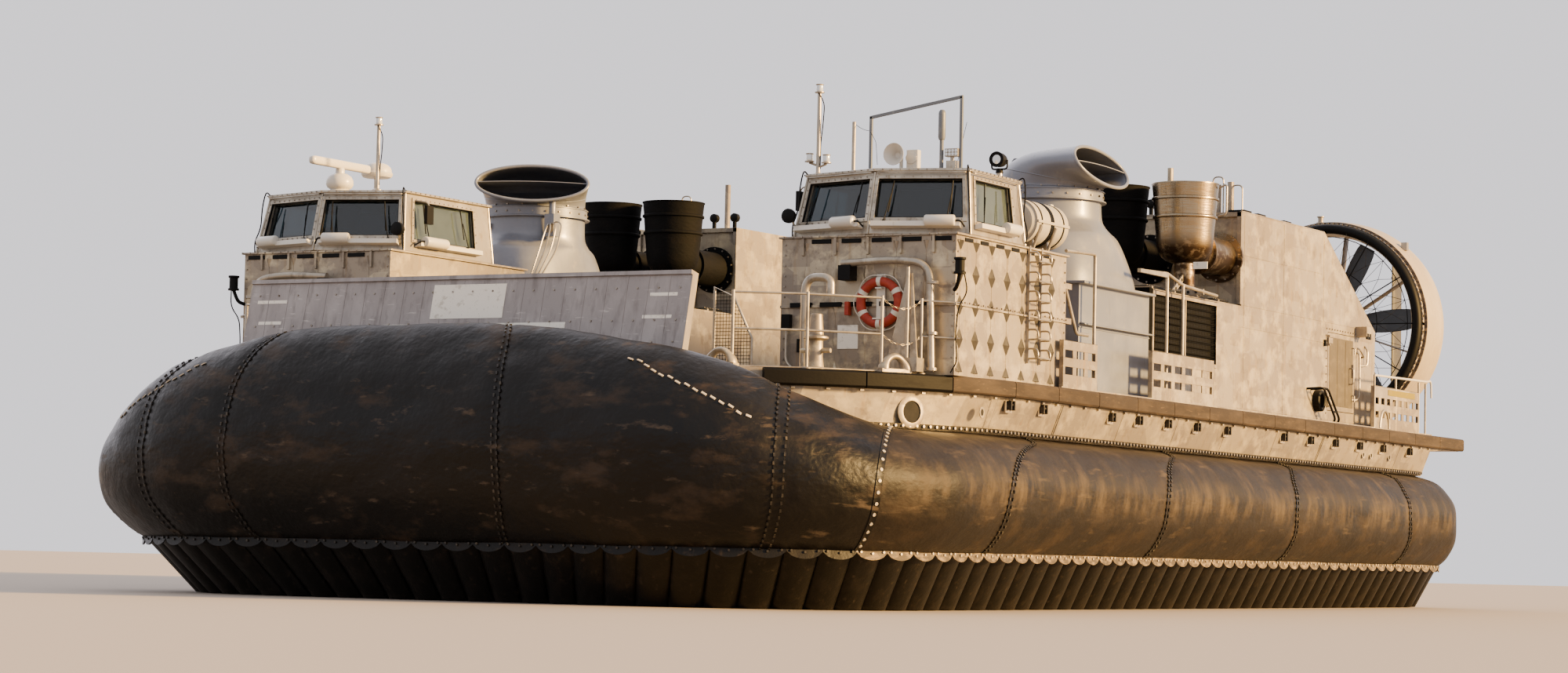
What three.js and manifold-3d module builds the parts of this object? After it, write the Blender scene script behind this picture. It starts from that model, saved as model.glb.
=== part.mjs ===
// Landing hovercraft on its inflated skirt, as an assembly of separate pieces.
// Millimetres. Bow is -Y, port is +X, up is +Z, z = 0 is the hem of the skirt fingers.
import * as THREE from 'three';
import Module from 'manifold-3d';
import { mergeVertices } from 'three/addons/utils/BufferGeometryUtils.js';

const wasm = await Module();
wasm.setup();

// Driving dimensions
const GAP = 0.3; // running and seating gap between touching pieces
const HULL_BOTTOM = 1450;
const BAG_LINE = 2460; // where the bags bolt to the hull side
const CARGO_DECK = 2600;
const FENDER_LOW = 3150;
const SIDE_DECK = 3400;
const WELL_HALF = 3550; // half width of the cargo deck between the side structures
const STERN_END = 14040; // stern overhang, and with the bow bag the full length
const HULL_AFT = 12300;
const HOUSE_OUT = 6200; // outer wall of fan, intake and engine houses
const HOUSE_IN = 4000; // inner wall of the same

const FINISHES = {
  bareAluminium: { color: 0xb9ab97, roughness: 0.55, metalness: 0.7 },
  deckGrey: { color: 0x6f6a66, roughness: 0.85, metalness: 0.1 },
  housingGrey: { color: 0x8d8d93, roughness: 0.5, metalness: 0.1 },
  rubber: { color: 0x2b2a2c, roughness: 0.85, metalness: 0 },
  fenderRubber: { color: 0x1f1e1e, roughness: 0.7, metalness: 0 },
  sootBlack: { color: 0x191716, roughness: 0.5, metalness: 0.3 },
  stainless: { color: 0x9c8467, roughness: 0.3, metalness: 0.95 },
  glass: { color: 0x1d3550, roughness: 0.08, metalness: 0 },
  blackBlade: { color: 0x121212, roughness: 0.45, metalness: 0 },
  white: { color: 0xdedad2, roughness: 0.45, metalness: 0 },
  orange: { color: 0xe0561c, roughness: 0.6, metalness: 0 },
  interior: { color: 0x4a4d50, roughness: 0.7, metalness: 0 },
};

const group = new THREE.Group();

function part(name, geometry, finish) {
  const mesh = new THREE.Mesh(bare(geometry), new THREE.MeshStandardMaterial(FINISHES[finish]));
  mesh.name = name;
  group.add(mesh);
}

// Solids: every helper below returns a closed geometry that holds positions only

function bare(geometry) {
  const only = new THREE.BufferGeometry();
  only.setAttribute('position', geometry.getAttribute('position').clone());
  if (geometry.index) only.setIndex(geometry.index.clone());
  return mergeVertices(only, 0.01);
}

function solid(geometry) {
  const merged = bare(geometry);
  return new wasm.Manifold(new wasm.Mesh({
    numProp: 3,
    vertProperties: new Float32Array(merged.getAttribute('position').array),
    triVerts: new Uint32Array(merged.index.array),
  }));
}

function geometryOf(body) {
  const mesh = body.getMesh();
  const geometry = new THREE.BufferGeometry();
  geometry.setAttribute('position', new THREE.Float32BufferAttribute(mesh.vertProperties, 3));
  geometry.setIndex(new THREE.Uint32BufferAttribute(mesh.triVerts, 1));
  return geometry;
}

const join = (...pieces) => geometryOf(pieces.map(solid).reduce((sum, piece) => sum.add(piece)));

const cut = (base, ...tools) => geometryOf(
  tools.map(solid).reduce((rest, tool) => rest.subtract(tool), solid(base)));

function mirrored(geometry) {
  const copy = bare(geometry);
  const positions = copy.getAttribute('position');
  for (let i = 0; i < positions.count; i += 1) positions.setX(i, -positions.getX(i));
  const index = copy.index.array;
  for (let i = 0; i < index.length; i += 3) [index[i], index[i + 1]] = [index[i + 1], index[i]];
  return copy;
}

// Port and starboard copies of a piece that is drawn on the port side
const SIDES = [
  { side: 'port', of: (geometry) => geometry },
  { side: 'starboard', of: mirrored },
];

function box(x0, x1, y0, y1, z0, z1) {
  return new THREE.BoxGeometry(x1 - x0, y1 - y0, z1 - z0)
    .translate((x0 + x1) / 2, (y0 + y1) / 2, (z0 + z1) / 2);
}

// The same, with the two y values in either order
const spanBox = (x0, x1, y0, y1, z0, z1) => box(x0, x1, Math.min(y0, y1), Math.max(y0, y1), z0, z1);

const shapeOf = (points) => new THREE.Shape(points.map(([a, b]) => new THREE.Vector2(a, b)));

const extruded = (points, depth) => new THREE.ExtrudeGeometry(
  shapeOf(points), { depth, bevelEnabled: false, steps: 1 });

// Outline in plan, [x, y], raised from z0 to z1
const plan = (points, z0, z1) => extruded(points, z1 - z0).translate(0, 0, z0);

// Outline seen from the side, [y, z], spread from x0 to x1
function profile(points, x0, x1) {
  const turn = new THREE.Matrix4().makeBasis(
    new THREE.Vector3(0, 1, 0), new THREE.Vector3(0, 0, 1), new THREE.Vector3(1, 0, 0));
  return extruded(points, x1 - x0).applyMatrix4(turn).translate(x0, 0, 0);
}

// Round bar between two points, as a prism of few sides
function bar(from, to, radius, sides = 8) {
  const start = new THREE.Vector3(...from);
  const along = new THREE.Vector3(...to).sub(start);
  const length = along.length();
  const turn = new THREE.Quaternion().setFromUnitVectors(
    new THREE.Vector3(0, 1, 0), along.clone().normalize());
  return new THREE.CylinderGeometry(radius, radius, length, sides)
    .applyQuaternion(turn)
    .translate(start.x + along.x / 2, start.y + along.y / 2, start.z + along.z / 2);
}

// Upright bar or disc
const post = (x, y, z0, z1, radius, sides = 8) => bar([x, y, z0], [x, y, z1], radius, sides);

// Skin over a row of rings with the same number of points, closed at both ends
function loft(rings) {
  const count = rings[0].length;
  const positions = rings.flat(2);
  const index = [];
  for (let r = 0; r + 1 < rings.length; r += 1) {
    for (let i = 0; i < count; i += 1) {
      const next = (i + 1) % count;
      const [a, b, c, d] = [r * count + i, r * count + next, (r + 1) * count + next, (r + 1) * count + i];
      index.push(a, b, c, a, c, d);
    }
  }
  const ends = [[rings[0], 0, true], [rings.at(-1), (rings.length - 1) * count, false]];
  for (const [ring, first, flip] of ends) {
    for (const [a, b, c] of capTriangles(ring)) {
      index.push(first + a, first + (flip ? c : b), first + (flip ? b : c));
    }
  }
  const geometry = new THREE.BufferGeometry();
  geometry.setAttribute('position', new THREE.Float32BufferAttribute(positions, 3));
  geometry.setIndex(index);
  return volume(geometry) < 0 ? turnedOut(geometry) : geometry;
}

// Triangles of a flat ring, wound as the ring is
function capTriangles(ring) {
  const points = ring.map((point) => new THREE.Vector3(...point));
  const normal = new THREE.Vector3();
  points.forEach((point, i) => {
    const next = points[(i + 1) % points.length];
    normal.x += (point.y - next.y) * (point.z + next.z);
    normal.y += (point.z - next.z) * (point.x + next.x);
    normal.z += (point.x - next.x) * (point.y + next.y);
  });
  normal.normalize();
  const flat = new THREE.Quaternion().setFromUnitVectors(normal, new THREE.Vector3(0, 0, 1));
  const outline = points.map((point) => {
    const turned = point.clone().applyQuaternion(flat);
    return new THREE.Vector2(turned.x, turned.y);
  });
  return THREE.ShapeUtils.triangulateShape(outline, []);
}

function volume(geometry) {
  const positions = geometry.getAttribute('position');
  const index = geometry.index.array;
  const [a, b, c] = [new THREE.Vector3(), new THREE.Vector3(), new THREE.Vector3()];
  let sum = 0;
  for (let i = 0; i < index.length; i += 3) {
    a.fromBufferAttribute(positions, index[i]);
    b.fromBufferAttribute(positions, index[i + 1]);
    c.fromBufferAttribute(positions, index[i + 2]);
    sum += a.dot(b.cross(c)) / 6;
  }
  return sum;
}

function turnedOut(geometry) {
  const index = geometry.index.array;
  for (let i = 0; i < index.length; i += 3) [index[i], index[i + 1]] = [index[i + 1], index[i]];
  return geometry;
}

// Rounded plan outlines. A level is { half, front, aft, rFront, rAft }, and with a square
// its front runs straight on to that x, inside the corner's first half.
// A station names the same place on every level: bow, bowCorner, side, sternCorner or stern.
function onOutline({ half, front, aft, rFront, rAft, square }, { zone, at }) {
  const angle = THREE.MathUtils.degToRad(at);
  switch (zone) {
    case 'bow': return [(half - rFront) * at, front];
    case 'bowCorner': {
      const x = half - rFront + rFront * Math.sin(angle);
      if (square && at < SQUARE_END) return [at === SQUARE_AT ? square : x, front];
      return [x, front + rFront - rFront * Math.cos(angle)];
    }
    case 'side': return [half, front + rFront + (aft - rAft - front - rFront) * at];
    case 'sternCorner': return [half - rAft + rAft * Math.cos(angle), aft - rAft + rAft * Math.sin(angle)];
    default: return [(half - rAft) * (1 - at), aft];
  }
}

const SQUARE_AT = 30; // corner station that a squared outline's corner takes
const SQUARE_END = 45;
const range = (count) => Array.from({ length: count }, (_, i) => i);
const BOW = [0, 1 / 3, 2 / 3].map((at) => ({ zone: 'bow', at }));
const BOW_CORNER = range(7).map((i) => ({ zone: 'bowCorner', at: 15 * i }));
const SIDE = [{ zone: 'side', at: 0 }, { zone: 'side', at: 1 }];
const STERN_CORNER = range(5).map((i) => ({ zone: 'sternCorner', at: 22.5 * i }));
const STERN = [{ zone: 'stern', at: 0.5 }, { zone: 'stern', at: 1 }];
const BOW_SEAM = 4; // corner station of the seam between bow bag and side bag
const STERN_SEAM = 2;

const HALF_ROUND = [...BOW, ...BOW_CORNER, SIDE[1], ...STERN_CORNER.slice(1), ...STERN];

// Whole outline of a level in plan, counterclockwise, without repeating a point
function wholeOutline(level) {
  const port = HALF_ROUND.map((station) => onOutline(level, station));
  const starboard = port.slice(1, -1).reverse().map(([x, y]) => [-x, y]);
  return [...port, ...starboard];
}

const atHeight = (outline, z) => outline.map(([x, y]) => [x, y, z]);

// Squares a level's bow so that its corner slants the same way on every level
const CORNER_LEAN = 0.56; // outboard for each millimetre aft
function squared(level) {
  const [x, y] = onOutline(level, BOW_CORNER[3]);
  return { ...level, square: x - CORNER_LEAN * (y - level.front) };
}

// The same outline a little further out
const grown = (level, by) => ({
  ...level, half: level.half + by, front: level.front - by, aft: level.aft + by,
  rFront: level.rFront + by, rAft: level.rAft + by,
});

// Hull
const HULL_LEVELS = {
  bottom: { half: 5950, front: -12400, aft: 11900, rFront: 5000, rAft: 300 },
  bagLine: { half: 6240, front: -12780, aft: HULL_AFT, rFront: 5200, rAft: 300 },
  deck: { half: 6300, front: -12790, aft: HULL_AFT + 40, rFront: 5250, rAft: 300 },
};
const PAD = { x: 2600, halfWidth: 450, front: -9000, aft: 9500, depth: 180 };
const DECK_PLATE = { half: 3500, front: -12000, aft: 12050, rise: 6 };

function hull() {
  const body = loft([
    atHeight(wholeOutline(squared(HULL_LEVELS.bottom)), HULL_BOTTOM),
    atHeight(wholeOutline(squared(HULL_LEVELS.bagLine)), BAG_LINE),
    atHeight(wholeOutline(squared(HULL_LEVELS.deck)), CARGO_DECK),
  ]);
  const pads = [-1, 0, 1].map((place) => box(
    place * PAD.x - PAD.halfWidth, place * PAD.x + PAD.halfWidth,
    PAD.front, PAD.aft, HULL_BOTTOM - PAD.depth, HULL_BOTTOM + 1));
  const plating = box(
    -DECK_PLATE.half, DECK_PLATE.half, DECK_PLATE.front, DECK_PLATE.aft,
    CARGO_DECK - 1, CARGO_DECK + DECK_PLATE.rise);
  return join(body, ...pads, plating);
}

// Side decks, with the overhang at the stern
const DECK_EDGE = { half: 6580, front: -12630, aft: STERN_END - 20, rFront: 5430, rAft: 60 };
const DECK_FOOT = { ...DECK_EDGE, half: 6370, front: -12700, rFront: 5300 };
const OVERHANG = { start: 12240, wedgeEnd: 13200, wedgeZ: 3090 };

function sideDeck() {
  const solidRound = loft([
    atHeight(wholeOutline(DECK_FOOT), CARGO_DECK + GAP),
    atHeight(wholeOutline(DECK_EDGE), FENDER_LOW),
    atHeight(wholeOutline(DECK_EDGE), SIDE_DECK),
  ]);
  const inboard = box(-7000, WELL_HALF, -15000, 15000, 2000, 4000);
  const belowOverhang = profile([
    [OVERHANG.start, CARGO_DECK - 10], [15000, CARGO_DECK - 10], [15000, FENDER_LOW],
    [OVERHANG.wedgeEnd, FENDER_LOW], [OVERHANG.start, OVERHANG.wedgeZ]], 3000, 7000);
  return cut(solidRound, inboard, belowOverhang);
}

// Fender strip along the deck edge, from the bow shoulder to the stern
const FENDER_OUT = { half: 6700, front: -12750, aft: STERN_END, rFront: 5550, rAft: 100 };
const FENDER_IN = {
  ...DECK_EDGE, half: DECK_EDGE.half + GAP, front: DECK_EDGE.front - GAP, rFront: DECK_EDGE.rFront + GAP,
};
const FENDER_START = 38.6; // degrees round the bow corner

function fender() {
  const stations = [{ zone: 'bowCorner', at: FENDER_START }, ...BOW_CORNER.slice(3), SIDE[1]];
  const outer = stations.map((station) => onOutline(FENDER_OUT, station));
  const inner = stations.map((station) => onOutline(FENDER_IN, station));
  outer[outer.length - 1] = [FENDER_OUT.half, STERN_END];
  inner[inner.length - 1] = [FENDER_IN.half, STERN_END];
  return plan([...outer, ...inner.reverse()], FENDER_LOW, SIDE_DECK);
}

// Skirt bags. Each row is one seam level from the hull line round to the finger line:
// half width and stern line, height at the side, then bow line and height at the bow,
// corner radii, and how far the row lies lower across the stern.
const BAG_ROWS = [
  {
    half: 6700, aft: 12750, z: 2500, front: -12800, bowZ: 3300, rFront: 4700, rAft: 900, sternDrop: 150,
    square: 3900,
  },
  { half: 6900, aft: 12950, z: 2420, front: -13080, bowZ: 3850, rFront: 4300, rAft: 1300, sternDrop: 160 },
  { half: 7080, aft: 13150, z: 2280, front: -13450, bowZ: 3760, rFront: 4000, rAft: 1700, sternDrop: 140 },
  { half: 7260, aft: 13420, z: 2020, front: -13880, bowZ: 3150, rFront: 3850, rAft: 2100, sternDrop: 60 },
  { half: 7300, aft: 13500, z: 1720, front: -STERN_END, bowZ: 2350, rFront: 3800, rAft: 2200 },
  { half: 7180, aft: 13560, z: 1300, front: -13930, bowZ: 1550, rFront: 3700, rAft: 1900 },
  { half: 6900, aft: 13640, z: 980, front: -13650, bowZ: 1020, rFront: 3600, rAft: 1600 },
  { half: 6650, aft: 13700, z: 800, front: -13400, bowZ: 800, rFront: 3500, rAft: 1500 },
];
const CROWN_ROW = BAG_ROWS[1];
const UNDERSIDE = { half: 5600, aft: 11500, front: -12050, rFront: 4700, rAft: 200 };
const BAG_HULL_LINES = [
  { ...squared(grown(HULL_LEVELS.bagLine, GAP)), z: BAG_LINE },
  { ...squared(grown(HULL_LEVELS.deck, GAP)), z: CARGO_DECK },
];
const BAG_INNER = [
  { ...squared(UNDERSIDE), z: 800 },
  { ...squared(UNDERSIDE), z: HULL_BOTTOM - GAP },
  { ...squared(grown(HULL_LEVELS.bottom, GAP)), z: HULL_BOTTOM - GAP },
];
// Share of the full rise that the bow bag has, by the x of its crown
const BOW_RISE = [
  [0, 1.04], [2000, 1], [3550, 0.825], [4430, 0.685], [5180, 0.475], [5800, 0.27], [6300, 0.12], [6900, 0]];

function readTable(table, x) {
  const next = table.findIndex(([from]) => from >= x);
  if (next < 1) return table.at(next)[1];
  const [[x0, y0], [x1, y1]] = [table[next - 1], table[next]];
  return y0 + (y1 - y0) * (x - x0) / (x1 - x0);
}

// The crown over the bow falls away towards the corners
function bagPoint(row, station) {
  const [x, y] = onOutline(row, station);
  const rise = station.zone.startsWith('bow') ? readTable(BOW_RISE, onOutline(CROWN_ROW, station)[0]) : 0;
  const astern = { stern: 1, sternCorner: station.at / 90 }[station.zone] ?? 0;
  const bowLift = ((row.bowZ ?? row.z) - row.z) * rise;
  return [x, y, row.z + bowLift - (row.sternDrop ?? 0) * astern];
}

const BAG_RING = [...BAG_HULL_LINES, ...BAG_ROWS, ...BAG_INNER];
const bagRing = (station) => BAG_RING.map((row) => bagPoint(row, station));

const ringMirror = (ring) => ring.map(([x, y, z]) => [-x, y, z]);

function bagBow() {
  const port = [...BOW, ...BOW_CORNER.slice(0, BOW_SEAM + 1)].map(bagRing);
  return loft([...port.slice(1).reverse().map(ringMirror), ...port]);
}

function bagSide() {
  const rings = SIDE_RUN.map(bagRing);
  rings[0] = towards(rings[0], rings[1]);
  rings[rings.length - 1] = towards(rings.at(-1), rings.at(-2));
  return loft(rings);
}

function bagStern() {
  const port = [...STERN_CORNER.slice(STERN_SEAM), ...STERN].map(bagRing);
  port[0] = towards(port[0], port[1]);
  return loft([...port, ...port.slice(0, -1).reverse().map(ringMirror)]);
}

// Moves a ring a seat's gap along its way to the next one
function towards(ring, next) {
  const step = (GAP * 2) / Math.min(...ring.map((point, i) => distance(point, next[i])));
  return ring.map((point, i) => point.map((value, k) => value + (next[i][k] - value) * step));
}

const distance = (a, b) => Math.hypot(...a.map((value, k) => value - b[k]));

// Skirt fingers: a scalloped strip whose folds bulge out between the level of the bags and the hem
const FINGER_TOP = { half: 6650, front: -13400, aft: 13700, rFront: 3500, rAft: 1500, z: 800 - GAP };
const FINGER_HEM = { half: 6060, front: -12740, aft: 13640, rFront: 3300, rAft: 1000, z: 0 };
const FINGER_DEPTH = { top: 420, hem: 260 };
const FINGER_BULGE = { top: 20, hem: 90 };
const FINGER_PITCH = 1000;
const FINGER_FOLDS = [0.08, 0.3, 0.7, 0.92]; // places of the folds along one finger's pitch
const FINGER_SWELL = [0, 1, 1, 0];

const onSide = (level, { mirror, ...station }) => {
  const [x, y] = onOutline(level, station);
  return [mirror ? -x : x, y];
};

function fingerPath(level, inset, bulge, stations, counts) {
  const shrunk = {
    half: level.half - inset, front: level.front + inset, aft: level.aft - inset,
    rFront: level.rFront - inset, rAft: level.rAft - inset,
  };
  const corners = stations.map((station) => onSide(shrunk, station));
  return corners.slice(0, -1).flatMap((from, leg) => {
    const to = corners[leg + 1];
    const length = distance(from, to);
    const out = [(to[1] - from[1]) / length, (from[0] - to[0]) / length];
    return range(counts[leg]).flatMap((finger) => FINGER_FOLDS.map((fold, k) => {
      const t = (finger + fold) / counts[leg];
      const swell = bulge * FINGER_SWELL[k];
      return [0, 1].map((k) => from[k] + (to[k] - from[k]) * t + out[k] * swell);
    }));
  });
}

function fingers(stations) {
  const base = stations.map((station) => onSide(FINGER_TOP, station));
  const counts = base.slice(1).map(
    (point, i) => Math.max(1, Math.round(distance(point, base[i]) / FINGER_PITCH)));
  const path = (level, inset, bulge) => atHeight(fingerPath(level, inset, bulge, stations, counts), level.z);
  const outTop = path(FINGER_TOP, 30, FINGER_BULGE.top);
  const outHem = path(FINGER_HEM, 0, FINGER_BULGE.hem);
  const inHem = path(FINGER_HEM, FINGER_DEPTH.hem, 0);
  const inTop = path(FINGER_TOP, FINGER_DEPTH.top, 0);
  return loft(outTop.map((_, i) => [outTop[i], outHem[i], inHem[i], inTop[i]]));
}

const otherSide = (stations) => stations.map((station) => ({ ...station, mirror: true })).reverse();
const BOW_RUN = BOW_CORNER.slice(0, BOW_SEAM + 1);
const SIDE_RUN = [...BOW_CORNER.slice(BOW_SEAM), SIDE[1], ...STERN_CORNER.slice(1, STERN_SEAM + 1)];
const STERN_RUN = STERN_CORNER.slice(STERN_SEAM);

// Cabin towers
const TOWER = { in: 3550, out: 6440, front: -9150, aft: -5250, top: 5450, flange: 30, lip: 40 };

function tower() {
  const body = box(TOWER.in, TOWER.out, TOWER.front, TOWER.aft, SIDE_DECK + GAP, TOWER.top);
  const flange = box(
    TOWER.in - TOWER.lip, TOWER.out + TOWER.lip, TOWER.front - TOWER.lip, TOWER.aft + TOWER.lip,
    TOWER.top - 1, TOWER.top + TOWER.flange);
  const brackets = [0, 1, 2, 3, 4].map((i) => {
    const x = TOWER.in + 350 + i * 540;
    return box(x, x + 40, TOWER.front - 35, TOWER.front + 1, TOWER.top - 260, TOWER.top);
  });
  return join(body, flange, ...brackets);
}

// Cabins: hollow, with a V front of two windows
const CABIN = {
  x: 5020, low: TOWER.top + TOWER.flange + GAP, high: 6430, halfLow: 1470, halfHigh: 1340,
  frontLow: -8800, frontHigh: -8610, nose: 0.296, wall: 60, eave: 40, roof: 45, // nose: by half width
};

function cabinPlan(half, front, rear, inset, z) {
  const side = half - inset;
  return [
    [CABIN.x - side, front + inset, z], [CABIN.x, front + inset - CABIN.nose * side, z],
    [CABIN.x + side, front + inset, z], [CABIN.x + side, rear - inset, z], [CABIN.x - side, rear - inset, z],
  ];
}

function cabinRings(rear, inset, low, high) {
  const at = (z) => (z - CABIN.low) / (CABIN.high - CABIN.low);
  const mix = (a, b, z) => a + (b - a) * at(z);
  return [low, high].map((z) => cabinPlan(
    mix(CABIN.halfLow, CABIN.halfHigh, z), mix(CABIN.frontLow, CABIN.frontHigh, z), rear, inset, z));
}

// Windows by wall: 0 and 1 are the two halves of the front, 2 is outboard, 3 rear, 4 inboard.
// from and to run along the wall, low and high up it, as fractions.
const CABIN_WINDOWS = [
  { wall: 0, from: 0.07, to: 0.95, low: 0.26, high: 0.88 },
  { wall: 1, from: 0.05, to: 0.93, low: 0.26, high: 0.88 },
  { wall: 2, from: 0.1, to: 0.8, low: 0.22, high: 0.88 },
  { wall: 4, from: 0.2, to: 0.9, low: 0.22, high: 0.88 },
];

function windowCutter(rings, { wall, from, to, low, high }) {
  const [bottom, top] = rings;
  const next = (wall + 1) % bottom.length;
  const corner = (u, v) => {
    const along = (ring) => new THREE.Vector3(...ring[wall]).lerp(new THREE.Vector3(...ring[next]), u);
    return along(bottom).lerp(along(top), v);
  };
  const corners = [corner(from, low), corner(to, low), corner(to, high), corner(from, high)];
  const normal = corners[1].clone().sub(corners[0]).cross(corners[3].clone().sub(corners[0])).normalize();
  const reach = 2.5 * CABIN.wall;
  return loft([reach, -reach].map((offset) => corners.map(
    (point) => point.clone().addScaledVector(normal, offset).toArray())));
}

function cabin(rear) {
  const outer = cabinRings(rear, 0, CABIN.low, CABIN.high);
  const hollow = loft(cabinRings(rear, CABIN.wall, CABIN.low - 10, CABIN.high - CABIN.wall));
  const roof = loft(cabinRings(rear + CABIN.eave, -CABIN.eave, CABIN.high - 1, CABIN.high + CABIN.roof));
  return cut(join(loft(outer), roof), hollow, ...CABIN_WINDOWS.map((window) => windowCutter(outer, window)));
}

function cabinGlass(rear) {
  const low = CABIN.low + 120;
  const high = CABIN.high - CABIN.wall - 15;
  const out = cabinRings(rear, CABIN.wall + GAP, low, high);
  const inside = cabinRings(rear, CABIN.wall + 14, low, high);
  const [lower, upper] = inside;
  const taller = [lower.map(([x, y, z]) => [x, y, z - 20]), upper.map(([x, y, z]) => [x, y, z + 20])];
  return cut(loft(out), loft(taller));
}

// Floor plate, console and two seats
function cabinFittings(rear) {
  const floor = CABIN.low;
  const seat = (x) => join(
    box(x - 60, x + 60, -7750, -7630, floor + 20, floor + 420),
    box(x - 230, x + 230, -7950, -7450, floor + 400, floor + 500),
    box(x - 220, x + 220, -7530, -7440, floor + 480, floor + 850));
  return join(
    box(CABIN.x - 1300, CABIN.x + 1300, -8600, rear - 150, floor + GAP, floor + 30),
    box(CABIN.x - 1150, CABIN.x + 1150, -8560, -8250, floor + 20, floor + 330),
    seat(CABIN.x - 600), seat(CABIN.x + 600));
}

// Lift fan housing with the ring that carries the bow thruster
const THRUST_AXIS = { x: 4970, y: -2780 };
const FAN = {
  front: -4200, aft: -1350, shoulder: 5150, lip: 5200, ringLow: 6580, ringHigh: 6760, ring: 920, throat: 880,
};
// Height of each section, and how far it has gone from the rounded square to the round throat
const FAN_SECTIONS = [
  { z: 5190, round: 0 }, { z: 5420, round: 0.06 }, { z: 5750, round: 0.2 }, { z: 6000, round: 0.36 },
  { z: 6100, round: 0.55 }, { z: 6200, round: 0.78 }, { z: 6320, round: 0.94 }, { z: 6600, round: 1 },
];
const FAN_SIDES = 20;
const FAN_CORNER = 4; // power of the rounded square

function fanSection({ z, round }) {
  const halfX = (HOUSE_OUT - HOUSE_IN) / 2;
  const midX = (HOUSE_OUT + HOUSE_IN) / 2;
  const halfY = (FAN.aft - FAN.front) / 2;
  const midY = (FAN.aft + FAN.front) / 2;
  return range(FAN_SIDES).map((i) => {
    const angle = (i + 0.5) * 2 * Math.PI / FAN_SIDES;
    const [c, s] = [Math.cos(angle), Math.sin(angle)];
    const square = (Math.abs(c) ** FAN_CORNER + Math.abs(s) ** FAN_CORNER) ** (-1 / FAN_CORNER);
    const wide = [midX + halfX * c * square, midY + halfY * s * square];
    const thin = [THRUST_AXIS.x + FAN.throat * c, THRUST_AXIS.y + FAN.throat * s];
    return [wide[0] + (thin[0] - wide[0]) * round, wide[1] + (thin[1] - wide[1]) * round, z];
  });
}

function fanHousing() {
  const base = box(HOUSE_IN, HOUSE_OUT, FAN.front, FAN.aft, SIDE_DECK + GAP, FAN.shoulder + 1);
  const lip = box(HOUSE_IN - 60, HOUSE_OUT + 120, FAN.front - 60, FAN.aft, FAN.shoulder, FAN.lip);
  const bell = loft(FAN_SECTIONS.map(fanSection));
  const ring = post(THRUST_AXIS.x, THRUST_AXIS.y, FAN.ringLow, FAN.ringHigh, FAN.ring, FAN_SIDES);
  const flange = post(
    THRUST_AXIS.x, THRUST_AXIS.y, FAN.ringLow - 20, FAN.ringLow + 15, FAN.ring + 45, FAN_SIDES);
  return join(base, lip, bell, ring, flange);
}

// Thruster nozzle: a hollow elbow from the round ring to a wide, low mouth with one vane
const NOZZLE = { foot: FAN.ringHigh + GAP, wall: 35, sides: 20, vane: 24 };
// Sections: heel and crown as distances out from the axis and up from the foot, and half width
const NOZZLE_SECTIONS = [
  { heel: [880, 0], crown: [-880, 0], wide: 880 },
  { heel: [885, 25], crown: [-870, 160], wide: 882 },
  { heel: [905, 50], crown: [-640, 430], wide: 905 },
  { heel: [970, 65], crown: [-150, 640], wide: 955 },
  { heel: [1156, 40], crown: [744, 723], wide: 1000 },
];

function nozzleRing({ heel, crown, wide }, inset) {
  const middle = [(heel[0] + crown[0]) / 2, (heel[1] + crown[1]) / 2];
  const half = [(crown[0] - heel[0]) / 2, (crown[1] - heel[1]) / 2];
  const shrink = 1 - inset / Math.hypot(...half);
  return range(NOZZLE.sides).map((i) => {
    const angle = i * 2 * Math.PI / NOZZLE.sides;
    const up = Math.sin(angle) * shrink;
    const z = NOZZLE.foot + middle[1] + half[1] * up;
    return [middle[0] + half[0] * up, (wide - inset) * Math.cos(angle), z];
  });
}

function thruster(heading) {
  const outer = loft(NOZZLE_SECTIONS.map((section) => nozzleRing(section, 0)));
  const inner = NOZZLE_SECTIONS.map((section) => nozzleRing(section, NOZZLE.wall));
  const moved = (ring, out, up) => ring.map(([x, y, z]) => [x + out, y, z + up]);
  const hollow = loft([moved(inner[0], 0, -50), ...inner, moved(inner.at(-1), 60, 5)]);
  const vane = loft(NOZZLE_SECTIONS.slice(2).map(({ heel, crown, wide }) => {
    const [x, z] = [(heel[0] + crown[0]) / 2, NOZZLE.foot + (heel[1] + crown[1]) / 2];
    const corners = [[-1, -1], [1, -1], [1, 1], [-1, 1]];
    return corners.map(([across, up]) => [x, across * wide, z + up * NOZZLE.vane / 2]);
  }));
  const trimmed = geometryOf(solid(vane).intersect(solid(outer)));
  return join(cut(outer, hollow), trimmed).rotateZ(heading).translate(THRUST_AXIS.x, THRUST_AXIS.y, 0);
}

// Intake house with the grille, and the bay floor that the uptakes stand on
const INTAKE = { front: FAN.aft + GAP, aft: 2800 - GAP, top: 5300 };
const GRILLE = { front: -1180, aft: 1600, low: 4190, high: 5200, depth: 90, slats: 8, thick: 22 };

function intakeHouse() {
  const body = box(HOUSE_IN, HOUSE_OUT, INTAKE.front, INTAKE.aft, SIDE_DECK + GAP, INTAKE.top);
  const recess = box(
    HOUSE_OUT - GRILLE.depth, HOUSE_OUT + 100, GRILLE.front, GRILLE.aft, GRILLE.low, GRILLE.high);
  const pitch = (GRILLE.high - GRILLE.low) / (GRILLE.slats + 1);
  const slats = range(GRILLE.slats).map((i) => {
    const z = GRILLE.low + pitch * (i + 1);
    const back = HOUSE_OUT - GRILLE.depth - 1;
    return box(back, HOUSE_OUT - 10, GRILLE.front - 1, GRILLE.aft + 1, z, z + GRILLE.thick);
  });
  return join(cut(body, recess), ...slats);
}

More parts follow.
